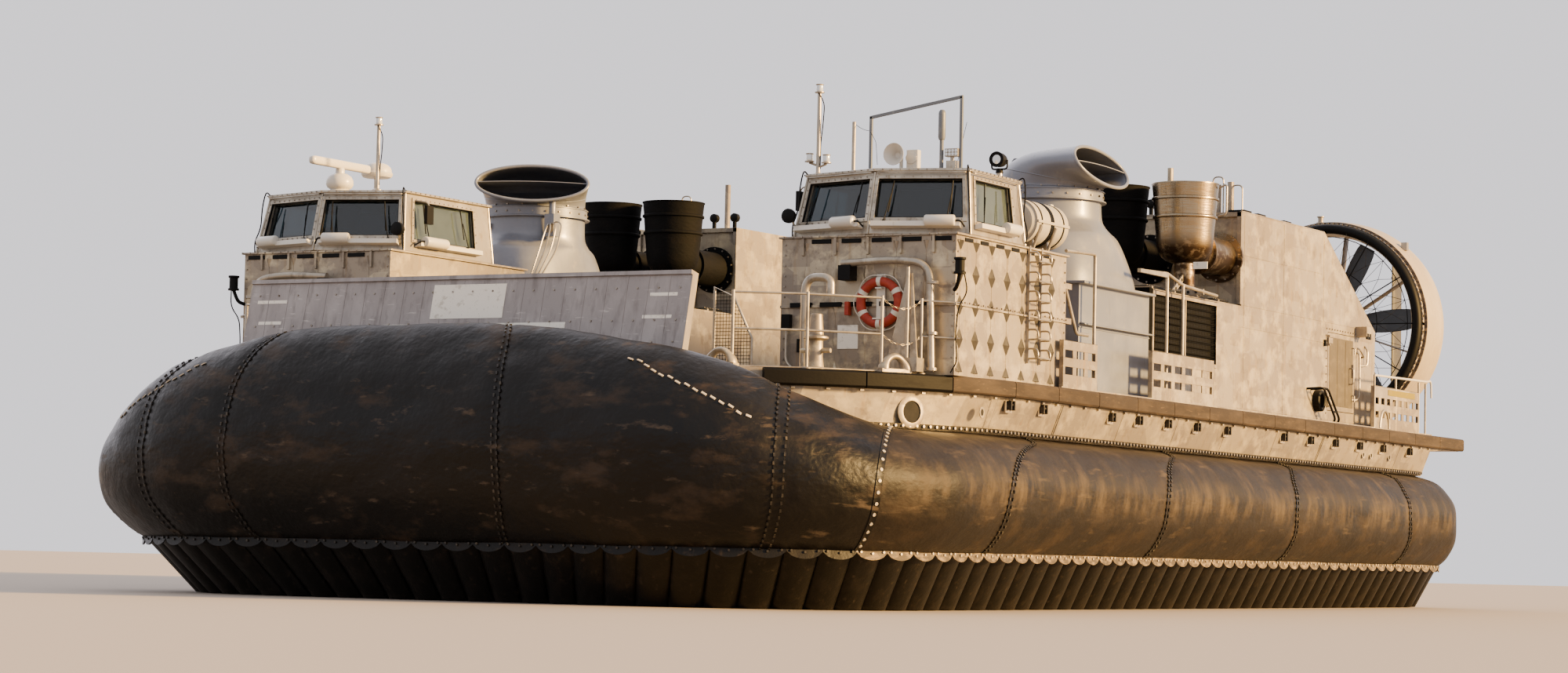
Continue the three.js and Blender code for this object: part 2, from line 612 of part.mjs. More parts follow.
// Exhaust uptakes: a round pot open at the top, and an elbow aft to the bulkhead
const UPTAKES = [
  { place: 'outboard', x: 5800, y: 1130 },
  { place: 'inboard', x: 4480, y: 1200 },
];
const POT_OUTER = [
  { r: 0, z: 5900 }, { r: 230, z: 5915 }, { r: 400, z: 6010 }, { r: 480, z: 6200 }, { r: 500, z: 6400 },
  { r: 525, z: 6670 }, { r: 553, z: 6680 }, { r: 553, z: 6710 }, { r: 530, z: 6720 },
  { r: 548, z: 6990 }, { r: 576, z: 7000 }, { r: 576, z: 7030 }, { r: 552, z: 7040 }, { r: 580, z: 7280 }];
const POT_INNER = [
  { r: 550, z: 7280 }, { r: 500, z: 6700 }, { r: 450, z: 6250 }, { r: 330, z: 6100 }, { r: 0, z: 6060 }];
const POT_SIDES = 16;
const ELBOW = { r: 330, z: 6150, sides: 10 };

function uptake({ x, y }) {
  const turned = (points) => outward(new THREE.LatheGeometry(
    points.map(({ r, z }) => new THREE.Vector2(r, z)), POT_SIDES).rotateX(Math.PI / 2).translate(x, y, 0));
  const pot = turned([...POT_OUTER, { r: 0, z: POT_OUTER.at(-1).z }]);
  const elbow = bar([x, y, ELBOW.z], [x, INTAKE.aft, ELBOW.z], ELBOW.r, ELBOW.sides);
  const foot = post(x, y, INTAKE.top + GAP, 5950, 180, 10);
  const hollow = turned([{ r: 0, z: 7400 }, { r: 560, z: 7400 }, ...POT_INNER]);
  return cut(join(pot, elbow, foot), hollow);
}

function outward(geometry) {
  const merged = bare(geometry);
  return volume(merged) < 0 ? turnedOut(merged) : merged;
}

// Engine house, with the shaft housing that runs aft to the propeller
const HOUSE = { front: 2800, aft: 9900, shoulder: 5300, kneeY: 7020, kneeZ: 6970, top: 6950 };
const VENT_PIPES = [
  { x: 4580, r: 55, top: 7850 }, { x: 5500, r: 60, top: 7520 }, { x: 5740, r: 60, top: 7560 }];
const VENT_PIPES_Y = 3400;
const DOOR = { front: 7250, aft: 8700, low: 3680, high: 5130, thick: 60, clear: 12 };
const LAMP_BOX = { y: 8900, z: 5150, width: 260, height: 190, reach: 230 };

function engineHouse() {
  const body = profile([
    [HOUSE.front, SIDE_DECK + GAP], [HOUSE.aft, SIDE_DECK + GAP], [HOUSE.aft, HOUSE.shoulder],
    [HOUSE.kneeY, HOUSE.kneeZ], [HOUSE.front, HOUSE.top]], HOUSE_IN, HOUSE_OUT);
  const recess = box(
    HOUSE_OUT - DOOR.thick - 20, HOUSE_OUT + 50, DOOR.front - DOOR.clear, DOOR.aft + DOOR.clear,
    DOOR.low - DOOR.clear, DOOR.high + DOOR.clear);
  const shaft = bar([DUCT.x, HOUSE.aft - 5, DUCT.z], [DUCT.x, PROP.nose - GAP, DUCT.z], 170, 16);
  const neck = box(
    HOUSE_IN + 60, HOUSE_IN + 700, HOUSE.aft - 1500, HOUSE.aft + 120, DUCT.z - 330, DUCT.z + 330);
  const lamp = box(
    HOUSE_OUT - 1, HOUSE_OUT + LAMP_BOX.reach,
    LAMP_BOX.y - LAMP_BOX.width / 2, LAMP_BOX.y + LAMP_BOX.width / 2,
    LAMP_BOX.z, LAMP_BOX.z + LAMP_BOX.height);
  const lugs = [DOOR.low + 150, DOOR.high - 150].flatMap((z) => [-1, 1].map((way) => box(
    HOUSE_OUT - 1, HOUSE_OUT + 60, DOOR.front - 50, DOOR.front - 10,
    Math.min(z + way * (60 + GAP), z + way * 100), Math.max(z + way * (60 + GAP), z + way * 100))));
  const vents = VENT_PIPES.map(({ x, r, top }) => post(x, VENT_PIPES_Y, HOUSE.top - 50, top, r, 10));
  return join(cut(body, recess), shaft, neck, lamp, ...lugs, ...vents);
}

// Side door on two hinge barrels at its forward edge
const HINGE = { x: HOUSE_OUT + 30, y: DOOR.front - 30, r: 18 };

function houseDoor() {
  const leaf = box(
    HOUSE_OUT - DOOR.thick, HOUSE_OUT + 4, DOOR.front, DOOR.aft, DOOR.low, DOOR.high);
  const barrels = [DOOR.low + 150, DOOR.high - 150].flatMap((z) => [
    post(HINGE.x, HINGE.y, z - 60, z + 60, HINGE.r, 12),
    box(HOUSE_OUT + 3, HINGE.x + 12, HINGE.y, DOOR.front + 160, z - 50, z + 50)]);
  const handle = box(HOUSE_OUT + 3, HOUSE_OUT + 45, DOOR.aft - 160, DOOR.aft - 120, 4350, 4600);
  return join(leaf, ...barrels, handle);
}

// Propeller duct on its pedestal, with seven vanes, a hub and the rudder brackets
const DUCT = { x: 4330, z: 5640, aft: 13400, sides: 28, hub: 280, hubFront: 12760 };
const DUCT_PROFILE = [ // radius and y, round the section
  { r: 1840, y: 12180 }, { r: 1900, y: 12110 }, { r: 1970, y: 12100 }, { r: 2030, y: 12170 },
  { r: 2040, y: 12380 }, { r: 2090, y: 12400 }, { r: 2135, y: 12750 }, { r: 2145, y: 13100 },
  { r: 2110, y: DUCT.aft }, { r: 2070, y: DUCT.aft }, { r: 1860, y: 12950 }, { r: 1805, y: 12500 }];
const VANES = { count: 7, first: 84, thick: 36, front: 12800, aft: 13080 };
const PEDESTAL = { halfX: 720, front: 12220, aft: 13080, top: 4300 };
const RUDDER = {
  offset: 1000, axisY: 13560, front: 13450, aft: 14020, low: 3960, high: 7320, thick: 70, stock: 32,
};

const aroundDuct = (geometry) => geometry.translate(DUCT.x, 0, DUCT.z);

function duct() {
  const shroud = aroundDuct(new THREE.LatheGeometry(
    [...DUCT_PROFILE, DUCT_PROFILE[0]].map(({ r, y }) => new THREE.Vector2(r, y)), DUCT.sides));
  const hub = aroundDuct(bar([0, DUCT.hubFront, 0], [0, DUCT.aft, 0], DUCT.hub, 16));
  const vanes = range(VANES.count).map((i) => aroundDuct(
    box(DUCT.hub - 60, 1880, VANES.front, VANES.aft, -VANES.thick / 2, VANES.thick / 2)
      .rotateY(-THREE.MathUtils.degToRad(VANES.first - (360 / VANES.count) * i))));
  const bore = aroundDuct(bar([0, 12000, 0], [0, 13400, 0], 1860, DUCT.sides));
  const pedestal = cut(box(
    DUCT.x - PEDESTAL.halfX, DUCT.x + PEDESTAL.halfX, PEDESTAL.front, PEDESTAL.aft,
    SIDE_DECK + GAP, PEDESTAL.top), bore);
  const arms = [-1, 1].flatMap((way) => [
    [RUDDER.high + GAP, RUDDER.high + 120], [RUDDER.low - 120, RUDDER.low - GAP]].map(([low, high]) => box(
    DUCT.x + way * RUDDER.offset - 80, DUCT.x + way * RUDDER.offset + 80,
    12900, RUDDER.axisY + 90, low, high)));
  return join(outward(shroud), hub, ...vanes, pedestal, ...arms);
}

// Propeller with six broad blades
const PROP = { nose: 12280, aft: DUCT.hubFront - GAP, hub: 290, tip: 1760, count: 6, first: 64 };
const BLADE_SWEEP = 0.55; // share of the chord's fore and aft reach that a blade keeps
// Blade sections: radius, half chord, pitch angle, half thickness
const BLADE = [
  { r: 200, half: 150, pitch: 62, thick: 55 }, { r: 600, half: 250, pitch: 48, thick: 34 },
  { r: 1200, half: 285, pitch: 34, thick: 20 }, { r: PROP.tip, half: 230, pitch: 25, thick: 9 }];

function propeller() {
  const middle = (PROP.nose + PROP.aft) / 2 + 60;
  const hub = bar([0, PROP.nose, 0], [0, PROP.aft, 0], PROP.hub, 18);
  const blade = loft(BLADE.map(({ r, half, pitch, thick }) => {
    const lean = THREE.MathUtils.degToRad(pitch);
    const [across, along] = [Math.cos(lean), Math.sin(lean)];
    return [[-half, 0], [0, thick], [half, 0], [0, -thick]].map(([chord, face]) => [
      r, middle + chord * along * BLADE_SWEEP + face * across, chord * across - face * along]);
  }));
  const blades = range(PROP.count).map((i) => blade.clone()
    .rotateY(-THREE.MathUtils.degToRad(PROP.first - 60 * i)));
  return aroundDuct(join(hub, ...blades));
}

// Rudder blade on its stock, way is -1 inboard and 1 outboard
function rudder(way) {
  const x = DUCT.x + way * RUDDER.offset;
  const blade = plan([
    [x - RUDDER.thick / 2, RUDDER.axisY - 60], [x, RUDDER.front], [x + RUDDER.thick / 2, RUDDER.axisY - 60],
    [x + RUDDER.thick / 2, RUDDER.axisY + 80], [x + 8, RUDDER.aft], [x - 8, RUDDER.aft],
    [x - RUDDER.thick / 2, RUDDER.axisY + 80]], RUDDER.low + 40, RUDDER.high - 40);
  return join(blade, post(x, RUDDER.axisY, RUDDER.low, RUDDER.high, RUDDER.stock, 16));
}

// Ramps: ribbed panels on hinge barrels that lie on the deck sill
const BARREL = 30;
const RAMP_HINGE_Z = CARGO_DECK + BARREL + GAP;
const BOW_RAMP = { half: 3850, hingeY: -12750, length: 2145, thick: 160, lean: 13, hinges: 5 };
const STERN_RAMP = { half: 2250, hingeY: 12270, length: 2200, thick: 140, lean: 0, hinges: 3 };

// way is 1 for the bow ramp, whose outer face looks to -Y, and -1 for the stern ramp
function ramp({ half, hingeY, length, thick, lean, hinges }, way) {
  const inner = way * thick;
  const panel = spanBox(-half, half, 0, inner, 10, length);
  const cap = spanBox(-half, half, -way * 35, inner, length - 60, length);
  const ribs = range(9).map((i) => {
    const x = -half + 120 + i * (2 * half - 240) / 8;
    return spanBox(x - 25, x + 25, inner - way, inner + way * 50, 120, length - 120);
  });
  const barrels = range(hinges).map((i) => {
    const x = -half + 300 + i * (2 * half - 600) / (hinges - 1);
    return bar([x - 120, 0, 0], [x + 120, 0, 0], BARREL, 24);
  });
  return join(panel, cap, ...ribs, ...barrels)
    .rotateX(-THREE.MathUtils.degToRad(lean))
    .translate(0, hingeY, RAMP_HINGE_Z);
}

// Radar on the starboard cabin roof
const ROOF = CABIN.high + CABIN.roof;
const RADAR = { x: -5100, y: -8450, top: ROOF + 330, barHalf: 800 };

function radarPedestal() {
  return join(
    post(RADAR.x, RADAR.y, ROOF + GAP, ROOF + 60, 170, 12),
    loft([[60, 170], [150, 215], [260, 190], [330, 110]].map(([rise, half]) => [
      [RADAR.x - half, RADAR.y - half, ROOF + rise - 1], [RADAR.x + half, RADAR.y - half, ROOF + rise - 1],
      [RADAR.x + half, RADAR.y + half, ROOF + rise - 1],
      [RADAR.x - half, RADAR.y + half, ROOF + rise - 1]])));
}

function radarScanner() {
  const low = RADAR.top + GAP;
  return join(
    post(RADAR.x, RADAR.y, low - 1, low + 90, 70, 12),
    box(RADAR.x - 65, RADAR.x + 65, RADAR.y - RADAR.barHalf, RADAR.y + RADAR.barHalf, low + 80, low + 220));
}

// Satellite aerial under its dome, behind the radar
const RADOME = { x: -5150, y: -7350, stem: 45, low: 6850 };
const DOME = [
  { r: 0, up: 0 }, { r: 235, up: 15 }, { r: 260, up: 80 },
  { r: 225, up: 180 }, { r: 120, up: 245 }, { r: 0, up: 262 }];

function radome() {
  const shell = outward(new THREE.LatheGeometry(DOME.map(({ r, up }) => new THREE.Vector2(r, up)), 16)
    .rotateX(Math.PI / 2).translate(RADOME.x, RADOME.y, RADOME.low));
  return join(shell, post(RADOME.x, RADOME.y, ROOF + GAP, RADOME.low + 40, RADOME.stem, 10));
}

// Masts with an all-round lamp on top
const MASTS = [
  { name: 'mast_port', x: 3730, y: -8400, top: 7870, sideLamps: true },
  { name: 'mast_starboard', x: -4230, y: -8620, top: 7680, sideLamps: false },
];

function mast({ x, y, top, sideLamps }) {
  const lamp = (lx, ly, z) => [
    post(lx, ly, z, z + 15, 75), post(lx, ly, z + 14, z + 120, 52), post(lx, ly, z + 119, z + 135, 60)];
  const pieces = [
    post(x, y, ROOF + GAP, ROOF + 20, 85, 10),
    post(x, y, ROOF + 10, top - 120, 32, 10),
    ...lamp(x, y, top - 135)];
  if (sideLamps) {
    [[-150, 40], [140, 10]].forEach(([dx, dz]) => {
      const [low, high] = [Math.min(x, x + dx) - 20, Math.max(x, x + dx) + 20];
      pieces.push(box(low, high, y - 25, y + 25, ROOF + 150 + dz, ROOF + 175 + dz));
      pieces.push(...lamp(x + dx, y, ROOF + 174 + dz));
    });
  }
  return join(...pieces);
}

// Roof gear on the port cabin: horn, frame aerial, rod aerial, searchlight, on one base strip
function roofGear() {
  const z = ROOF + GAP;
  return join(
    box(4250, 6250, -8440, -8360, z, z + 20),
    post(4330, -8400, z + 10, 7270, 30, 8),
    bar([4620, -8400, z + 10], [4620, -8400, 7330], 22, 4),
    bar([4620, -8400, 7310], [6120, -8400, 7560], 22, 4),
    bar([6120, -8400, z + 10], [6120, -8400, 7580], 22, 4),
    bar([5150, -8700, 6760], [5150, -8480, 6760], 150, 12),
    box(5080, 5420, -8500, -8340, z + 10, 6780),
    post(5800, -8400, z + 10, 7000, 25, 8), post(5800, -8400, 6990, 7390, 50, 10),
    box(5900, 6060, -8470, -8330, z + 10, 6800),
    box(5990, 6070, -8400, -6800, z, z + 20),
    post(6030, -6850, z + 10, 6700, 30, 8), bar([6030, -6990, 6800], [6030, -6760, 6800], 110, 12));
}

// Life raft canister on its cradle behind the cabin
const RAFT = { x: 5950, z: 5950, r: 350, front: -6120, aft: -4800 };

function lifeRaft() {
  const rings = [[0, 0.8], [90, 1], [RAFT.aft - RAFT.front - 90, 1], [RAFT.aft - RAFT.front, 0.8]];
  const barrel = loft(rings.map(([along, scale]) => range(16).map((i) => {
    const angle = i * 2 * Math.PI / 16;
    const radius = RAFT.r * scale;
    return [RAFT.x + radius * Math.cos(angle), RAFT.front + along, RAFT.z + radius * Math.sin(angle)];
  })));
  const cradle = [RAFT.front + 180, -5400].map((y) => box(
    RAFT.x - 220, RAFT.x + 220, y, y + 60, TOWER.top + TOWER.flange + GAP, RAFT.z - 200));
  return join(barrel, ...cradle);
}

// Rails round the bow of the side deck, on a toe strip
const RAIL = { low: SIDE_DECK + GAP, strip: 30, tube: 22, mid: 3950, high: 4470 };
const BOW_POSTS = [[4100, -11550], [4980, -10950], [5700, -10030], [6030, -9420]];

const railRun = (points, z, radius) => points.slice(1).map(
  (point, i) => bar([...points[i], z], [...point, z], radius, 6));

// Vent pipe and tow eyes, whose feet lie on the same strip
const DECK_VENT = { x: 4950, y: -10620, r: 155, cap: 178, flange: 240, top: 4210 };
const TOW_EYE = { r: 150, tube: 35, base: 60, halfLength: 260, halfWidth: 70, steps: 6 };
const TOW_EYES = [{ x: 3935, y: -11590, turn: 0 }, { x: 5810, y: -9830, turn: 61.6 }];

function deckVent({ x, y, r, cap, flange, top }) {
  return [
    post(x, y, RAIL.low, RAIL.low + 20, flange, 12), post(x, y, RAIL.low + 10, top, r, 12),
    post(x, y, top - 60, top, cap, 12)];
}

function towEye({ x, y, turn }) {
  const { r, tube, base, halfLength, halfWidth, steps } = TOW_EYE;
  const foot = box(-halfLength, halfLength, -halfWidth, halfWidth, RAIL.low, RAIL.low + base);
  const arc = range(steps + 1).map((i) => {
    const angle = Math.PI * i / steps;
    return [r * Math.cos(angle), 0, RAIL.low + base - 5 + r * Math.sin(angle)];
  });
  const loop = arc.slice(1).map((point, i) => bar(arc[i], point, tube, 6));
  return join(foot, ...loop).rotateZ(THREE.MathUtils.degToRad(turn)).translate(x, y, 0);
}

function bowRails() {
  const posts = BOW_POSTS.map(([x, y]) => bar([x, y, RAIL.low + 5], [x, y, RAIL.high + 10], RAIL.tube, 6));
  return join(
    ...railRun(BOW_POSTS, RAIL.low + RAIL.strip / 2, RAIL.strip / 2), ...posts,
    ...railRun(BOW_POSTS, RAIL.mid, 16), ...railRun(BOW_POSTS, RAIL.high, 16),
    ...deckVent(DECK_VENT), ...TOW_EYES.map(towEye));
}

// Guards, rails and pipe frames along the side, on one toe strip
const SIDE_RAIL = { x: 6560, front: -5650, aft: 12300, frameX: 6400 };
const GUARDS = [
  { from: -5600, to: -4300, high: 4150 }, { from: -2080, to: 620, high: 4200 },
  { from: 8830, to: 11500, high: 4220 }];
const STERN_RAIL = { from: 8850, guardEnd: 11480, to: 11900, high: 4420 };
const FRAMES = [ // y and z along each pipe
  [[-4060, RAIL.low + 5], [-4060, 5600], [-5180, 5560]],
  [[-2270, 5500], [-1080, 5540], [-390, 5400], [1130, 5340]],
  [[-1080, 5540], [-1080, RAIL.low + 5]],
  [[-390, 5400], [-390, RAIL.low + 5]],
];

function sideRails() {
  const { x, frameX } = SIDE_RAIL;
  const strip = box(x - 15, x + 15, SIDE_RAIL.front, SIDE_RAIL.aft, RAIL.low, RAIL.low + RAIL.strip);
  const guards = GUARDS.map(({ from, to, high }) => box(x - 10, x + 12, from, to, RAIL.low + 10, high));
  const sternPosts = [STERN_RAIL.from, STERN_RAIL.guardEnd, STERN_RAIL.to].map(
    (y) => post(x, y, RAIL.low + 5, STERN_RAIL.high + 15, 20, 6));
  const sternTop = bar([x, STERN_RAIL.from, STERN_RAIL.high], [x, STERN_RAIL.to, STERN_RAIL.high], 20, 6);
  const frames = FRAMES.flatMap((points) => points.slice(1).map(
    (point, i) => bar([frameX, ...points[i]], [frameX, ...point], 26, 4)));
  const feet = [-4060, -1080, -390].map(
    (y) => box(frameX - 20, x + 12, y - 20, y + 20, RAIL.low, RAIL.low + 20));
  return join(strip, ...guards, ...sternPosts, sternTop, ...frames, ...feet);
}

function lifeRing() {
  return new THREE.TorusGeometry(310, 70, 8, 24).rotateX(Math.PI / 2)
    .translate(5240, TOWER.front - 70 - GAP, 4470);
}

part('hull', hull(), 'deckGrey');
for (const { side, of } of SIDES) {
  part(`side_deck_${side}`, of(sideDeck()), 'bareAluminium');
  part(`fender_${side}`, of(fender()), 'fenderRubber');
  part(`bag_${side}`, of(bagSide()), 'rubber');
  part(`tower_${side}`, of(tower()), 'bareAluminium');
  const rear = side === 'port' ? -6900 : -6230;
  part(`cabin_${side}`, of(cabin(rear)), 'bareAluminium');
  part(`cabin_glass_${side}`, of(cabinGlass(rear)), 'glass');
  part(`cabin_fittings_${side}`, of(cabinFittings(rear)), 'interior');
  part(`fan_housing_${side}`, of(fanHousing()), 'housingGrey');
  const heading = side === 'port' ? 0 : THREE.MathUtils.degToRad(-118.8);
  part(`thruster_${side}`, of(thruster(heading)), 'housingGrey');
  part(`intake_house_${side}`, of(intakeHouse()), 'bareAluminium');
  for (const place of UPTAKES) {
    const bright = side === 'port' && place.place === 'outboard';
    part(`exhaust_${place.place}_${side}`, of(uptake(place)), bright ? 'stainless' : 'sootBlack');
  }
  part(`engine_house_${side}`, of(engineHouse()), 'bareAluminium');
  part(`house_door_${side}`, of(houseDoor()), 'bareAluminium');
  part(`duct_${side}`, of(duct()), 'bareAluminium');
  part(`propeller_${side}`, of(propeller()), 'blackBlade');
  part(`rudder_inboard_${side}`, of(rudder(-1)), 'bareAluminium');
  part(`rudder_outboard_${side}`, of(rudder(1)), 'bareAluminium');
  part(`life_raft_${side}`, of(lifeRaft()), 'white');
  part(`rails_bow_${side}`, of(bowRails()), 'bareAluminium');
  part(`rails_side_${side}`, of(sideRails()), 'bareAluminium');
  part(`fingers_${side}`, of(fingers(SIDE_RUN)), 'rubber');
}
part('bag_bow', bagBow(), 'rubber');
part('bag_stern', bagStern(), 'rubber');
part('fingers_bow', fingers([...otherSide(BOW_RUN), ...BOW_RUN]), 'rubber');
part('fingers_stern', fingers([...STERN_RUN, ...otherSide(STERN_RUN)]), 'rubber');
part('bow_ramp', ramp(BOW_RAMP, 1), 'bareAluminium');
part('stern_ramp', ramp(STERN_RAMP, -1), 'bareAluminium');
part('radar_pedestal', radarPedestal(), 'white');
part('radar_scanner', radarScanner(), 'white');
part('radome', radome(), 'white');
for (const place of MASTS) part(place.name, mast(place), 'bareAluminium');
part('roof_gear_port', roofGear(), 'housingGrey');
part('life_ring', lifeRing(), 'orange');

export default group;
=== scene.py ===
"""A landing hovercraft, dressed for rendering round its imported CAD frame.

The frame carries the bodies that move. This script gives every node its finish, puts finer meshes of the
same size in place of the soft and the round solids, and adds the fittings that are too small for CAD.
Lengths are in metres: the bow is -Y, port is +X, and the hem of the skirt is at z = 0.
"""

import logging
import math
from collections.abc import Iterable, Sequence
from dataclasses import dataclass, field
from enum import Enum
from typing import Any

import bmesh
import bpy
from mathutils import Matrix, Vector, noise

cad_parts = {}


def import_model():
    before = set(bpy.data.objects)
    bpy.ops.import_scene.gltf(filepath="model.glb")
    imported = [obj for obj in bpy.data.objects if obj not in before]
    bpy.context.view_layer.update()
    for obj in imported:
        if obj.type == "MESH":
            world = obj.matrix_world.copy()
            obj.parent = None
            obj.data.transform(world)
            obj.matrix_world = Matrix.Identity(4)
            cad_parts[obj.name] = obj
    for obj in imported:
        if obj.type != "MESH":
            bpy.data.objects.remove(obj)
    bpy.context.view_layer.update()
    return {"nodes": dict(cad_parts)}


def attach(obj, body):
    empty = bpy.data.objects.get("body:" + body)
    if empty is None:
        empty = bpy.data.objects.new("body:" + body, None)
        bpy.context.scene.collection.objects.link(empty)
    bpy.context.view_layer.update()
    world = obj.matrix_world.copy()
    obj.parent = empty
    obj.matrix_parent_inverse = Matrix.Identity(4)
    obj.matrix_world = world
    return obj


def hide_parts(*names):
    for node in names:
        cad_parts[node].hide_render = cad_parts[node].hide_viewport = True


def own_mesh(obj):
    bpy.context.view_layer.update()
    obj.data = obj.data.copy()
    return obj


log = logging.getLogger("hovercraft")

Point = Sequence[float]
CRAFT = "craft"
DECK_Z = 3.4003  # top of the side decks
TOWER_TOP = 5.4803  # top of the cabin towers
SHARP_ANGLE = 35.0  # degrees; edges that turn by more stay sharp
MERGE_DISTANCE = 1e-5  # points of one shape that are nearer than this are one point
NODE_MERGE = 0.0002  # the same for the corners of CAD nodes
NODE_EDGE = 0.012  # width of the rounded edges of plated CAD nodes
LEAN_SEED = 7  # seed of the repeated shapes' uneven lean


class Side(Enum):
    """The two sides of the craft, by the sign of X."""

    PORT = 1
    STARBOARD = -1

    @property
    def word(self) -> str:
        """The side's name as the frame's nodes spell it."""
        return self.name.lower()


class Grain(Enum):
    """The irregular patterns that coats and reliefs are made of."""

    CLOUD = "cloud"
    PATCH = "patch"


def linear(colour: str) -> tuple[float, float, float, float]:
    """Turn an sRGB colour into Blender's linear numbers.

    Args:
        colour: The colour as "#rrggbb".

    Returns:
        Linear red, green and blue, and full alpha.
    """
    levels = [int(colour[i:i + 2], 16) / 255 for i in (1, 3, 5)]
    return (*[v / 12.92 if v <= 0.04045 else ((v + 0.055) / 1.055) ** 2.4 for v in levels], 1.0)


def circle(steps: int, closed: bool = False) -> list[float]:
    """Angles of even steps round a circle, with a last one on the first where it is closed."""
    return [2 * math.pi * k / steps for k in range(steps + int(closed))]


def add_node(tree: bpy.types.NodeTree, kind: str, inputs: dict[Any, Any] | None = None,
             **settings: Any) -> bpy.types.Node:
    """Add a node with its settings, values and links.

    Args:
        tree: The material's or the geometry's node tree.
        kind: The node's type name.
        inputs: A value, or the socket to link from, by the input's name or number.
        **settings: Properties of the node itself.

    Returns:
        The new node.
    """
    node = tree.nodes.new(kind)
    for name, value in settings.items():
        setattr(node, name, value)
    for key, value in (inputs or {}).items():
        if isinstance(value, bpy.types.NodeSocket):
            tree.links.new(value, node.inputs[key])
        else:
            node.inputs[key].default_value = value
    return node


@dataclass(frozen=True)
class Coat:
    """An uneven coat over a finish, such as dust, scuffs or water marks.

    The pattern's value runs from 0 to 1. Nothing shows below low, all of it above high.
    """

    colour: str
    size_mm: tuple[float, float, float]
    low: float
    high: float
    strength: float = 1.0
    roughness: float | None = None
    grain: Grain = Grain.CLOUD
    heights: tuple[float, float] | None = None  # the z where it is gone, then the z where it is full


@dataclass(frozen=True)
class Relief:
    """Unevenness of the surface, drawn as bump."""

    size_mm: tuple[float, float, float]
    depth_mm: float
    detail: float = 4.0


@dataclass(frozen=True)
class Finish:
    """A real surface: its base, the coats that lie on it, and its unevenness."""

    name: str
    colour: str
    roughness: float
    metallic: float = 0.0
    coats: tuple[Coat, ...] = ()
    reliefs: tuple[Relief, ...] = ()
    gloss: float = 0.0
    transmission: float = 0.0
    shine: float = 0.5

    def pattern(self, tree: bpy.types.NodeTree, place: bpy.types.NodeSocket, size_mm: Point,
                detail: float, grain: Grain, seed: int) -> bpy.types.NodeSocket:
        """Add one irregular pattern.

        Args:
            tree: The material's node tree.
            place: Object coordinates in metres.
            size_mm: Size of the pattern's marks along X, Y and Z.
            detail: How many finer marks it holds.
            grain: Its kind.
            seed: Keeps like patterns from lying on each other.

        Returns:
            The pattern's value, from 0 to 1.
        """
        scaled = add_node(tree, "ShaderNodeMapping", {
            "Vector": place, "Location": (seed * 7.3, seed * 3.1, seed * 5.7),
            "Scale": [1000 / size for size in size_mm]}).outputs[0]
        if grain is Grain.PATCH:
            cells = add_node(
                tree, "ShaderNodeTexVoronoi", {"Vector": scaled, "Scale": 1.0, "Randomness": 0.8},
                distance="CHEBYCHEV")
            return add_node(tree, "ShaderNodeSeparateColor", {0: cells.outputs["Color"]}).outputs[0]
        cloud = add_node(tree, "ShaderNodeTexNoise", {"Vector": scaled, "Scale": 1.0, "Detail": detail,
                                                      "Roughness": 0.6})
        return cloud.outputs[0]

    def material(self) -> bpy.types.Material:
        """Build the finish once.

        Returns:
            Its material, which later calls share.
        """
        made = bpy.data.materials.get(self.name)
        if made:
            return made
        made = bpy.data.materials.new(self.name)
        made.use_nodes = True
        tree = made.node_tree
        tree.nodes.clear()
        place = add_node(tree, "ShaderNodeTexCoord").outputs["Object"]
        shader = add_node(tree, "ShaderNodeBsdfPrincipled", {
            "Base Color": linear(self.colour), "Roughness": self.roughness, "Metallic": self.metallic,
            "Coat Weight": self.gloss, "Coat Roughness": 0.15, "Transmission Weight": self.transmission,
            "Specular IOR Level": self.shine})
        colour: Any = linear(self.colour)
        rough: Any = self.roughness
        for seed, coat in enumerate(self.coats):
            value = self.pattern(tree, place, coat.size_mm, 7.0, coat.grain, seed + 1)
            mask = add_node(tree, "ShaderNodeMapRange", {
                0: value, "From Min": coat.low, "From Max": coat.high, "To Max": coat.strength}).outputs[0]
            if coat.heights:
                height = add_node(tree, "ShaderNodeSeparateXYZ", {0: place}).outputs["Z"]
                share = add_node(tree, "ShaderNodeMapRange", {
                    0: height, "From Min": coat.heights[0], "From Max": coat.heights[1]}).outputs[0]
                mask = add_node(tree, "ShaderNodeMath", {0: mask, 1: share}, operation="MULTIPLY").outputs[0]
            colour = add_node(tree, "ShaderNodeMix", {0: mask, 6: colour, 7: linear(coat.colour)},
                              data_type="RGBA").outputs[2]
            if coat.roughness is not None:
                rough = add_node(tree, "ShaderNodeMix", {0: mask, 2: rough, 3: coat.roughness}).outputs[0]
        if self.coats:
            tree.links.new(colour, shader.inputs["Base Color"])
        if isinstance(rough, bpy.types.NodeSocket):
            tree.links.new(rough, shader.inputs["Roughness"])
        normal = None
        for seed, relief in enumerate(self.reliefs):
            height = self.pattern(tree, place, relief.size_mm, relief.detail, Grain.CLOUD, seed + 11)
            bump = add_node(tree, "ShaderNodeBump", {"Height": height, "Distance": relief.depth_mm / 1000})
            if normal:
                tree.links.new(normal, bump.inputs["Normal"])
            normal = bump.outputs[0]
        if normal:
            tree.links.new(normal, shader.inputs["Normal"])
        add_node(tree, "ShaderNodeOutputMaterial", {"Surface": shader.outputs[0]})
        return made


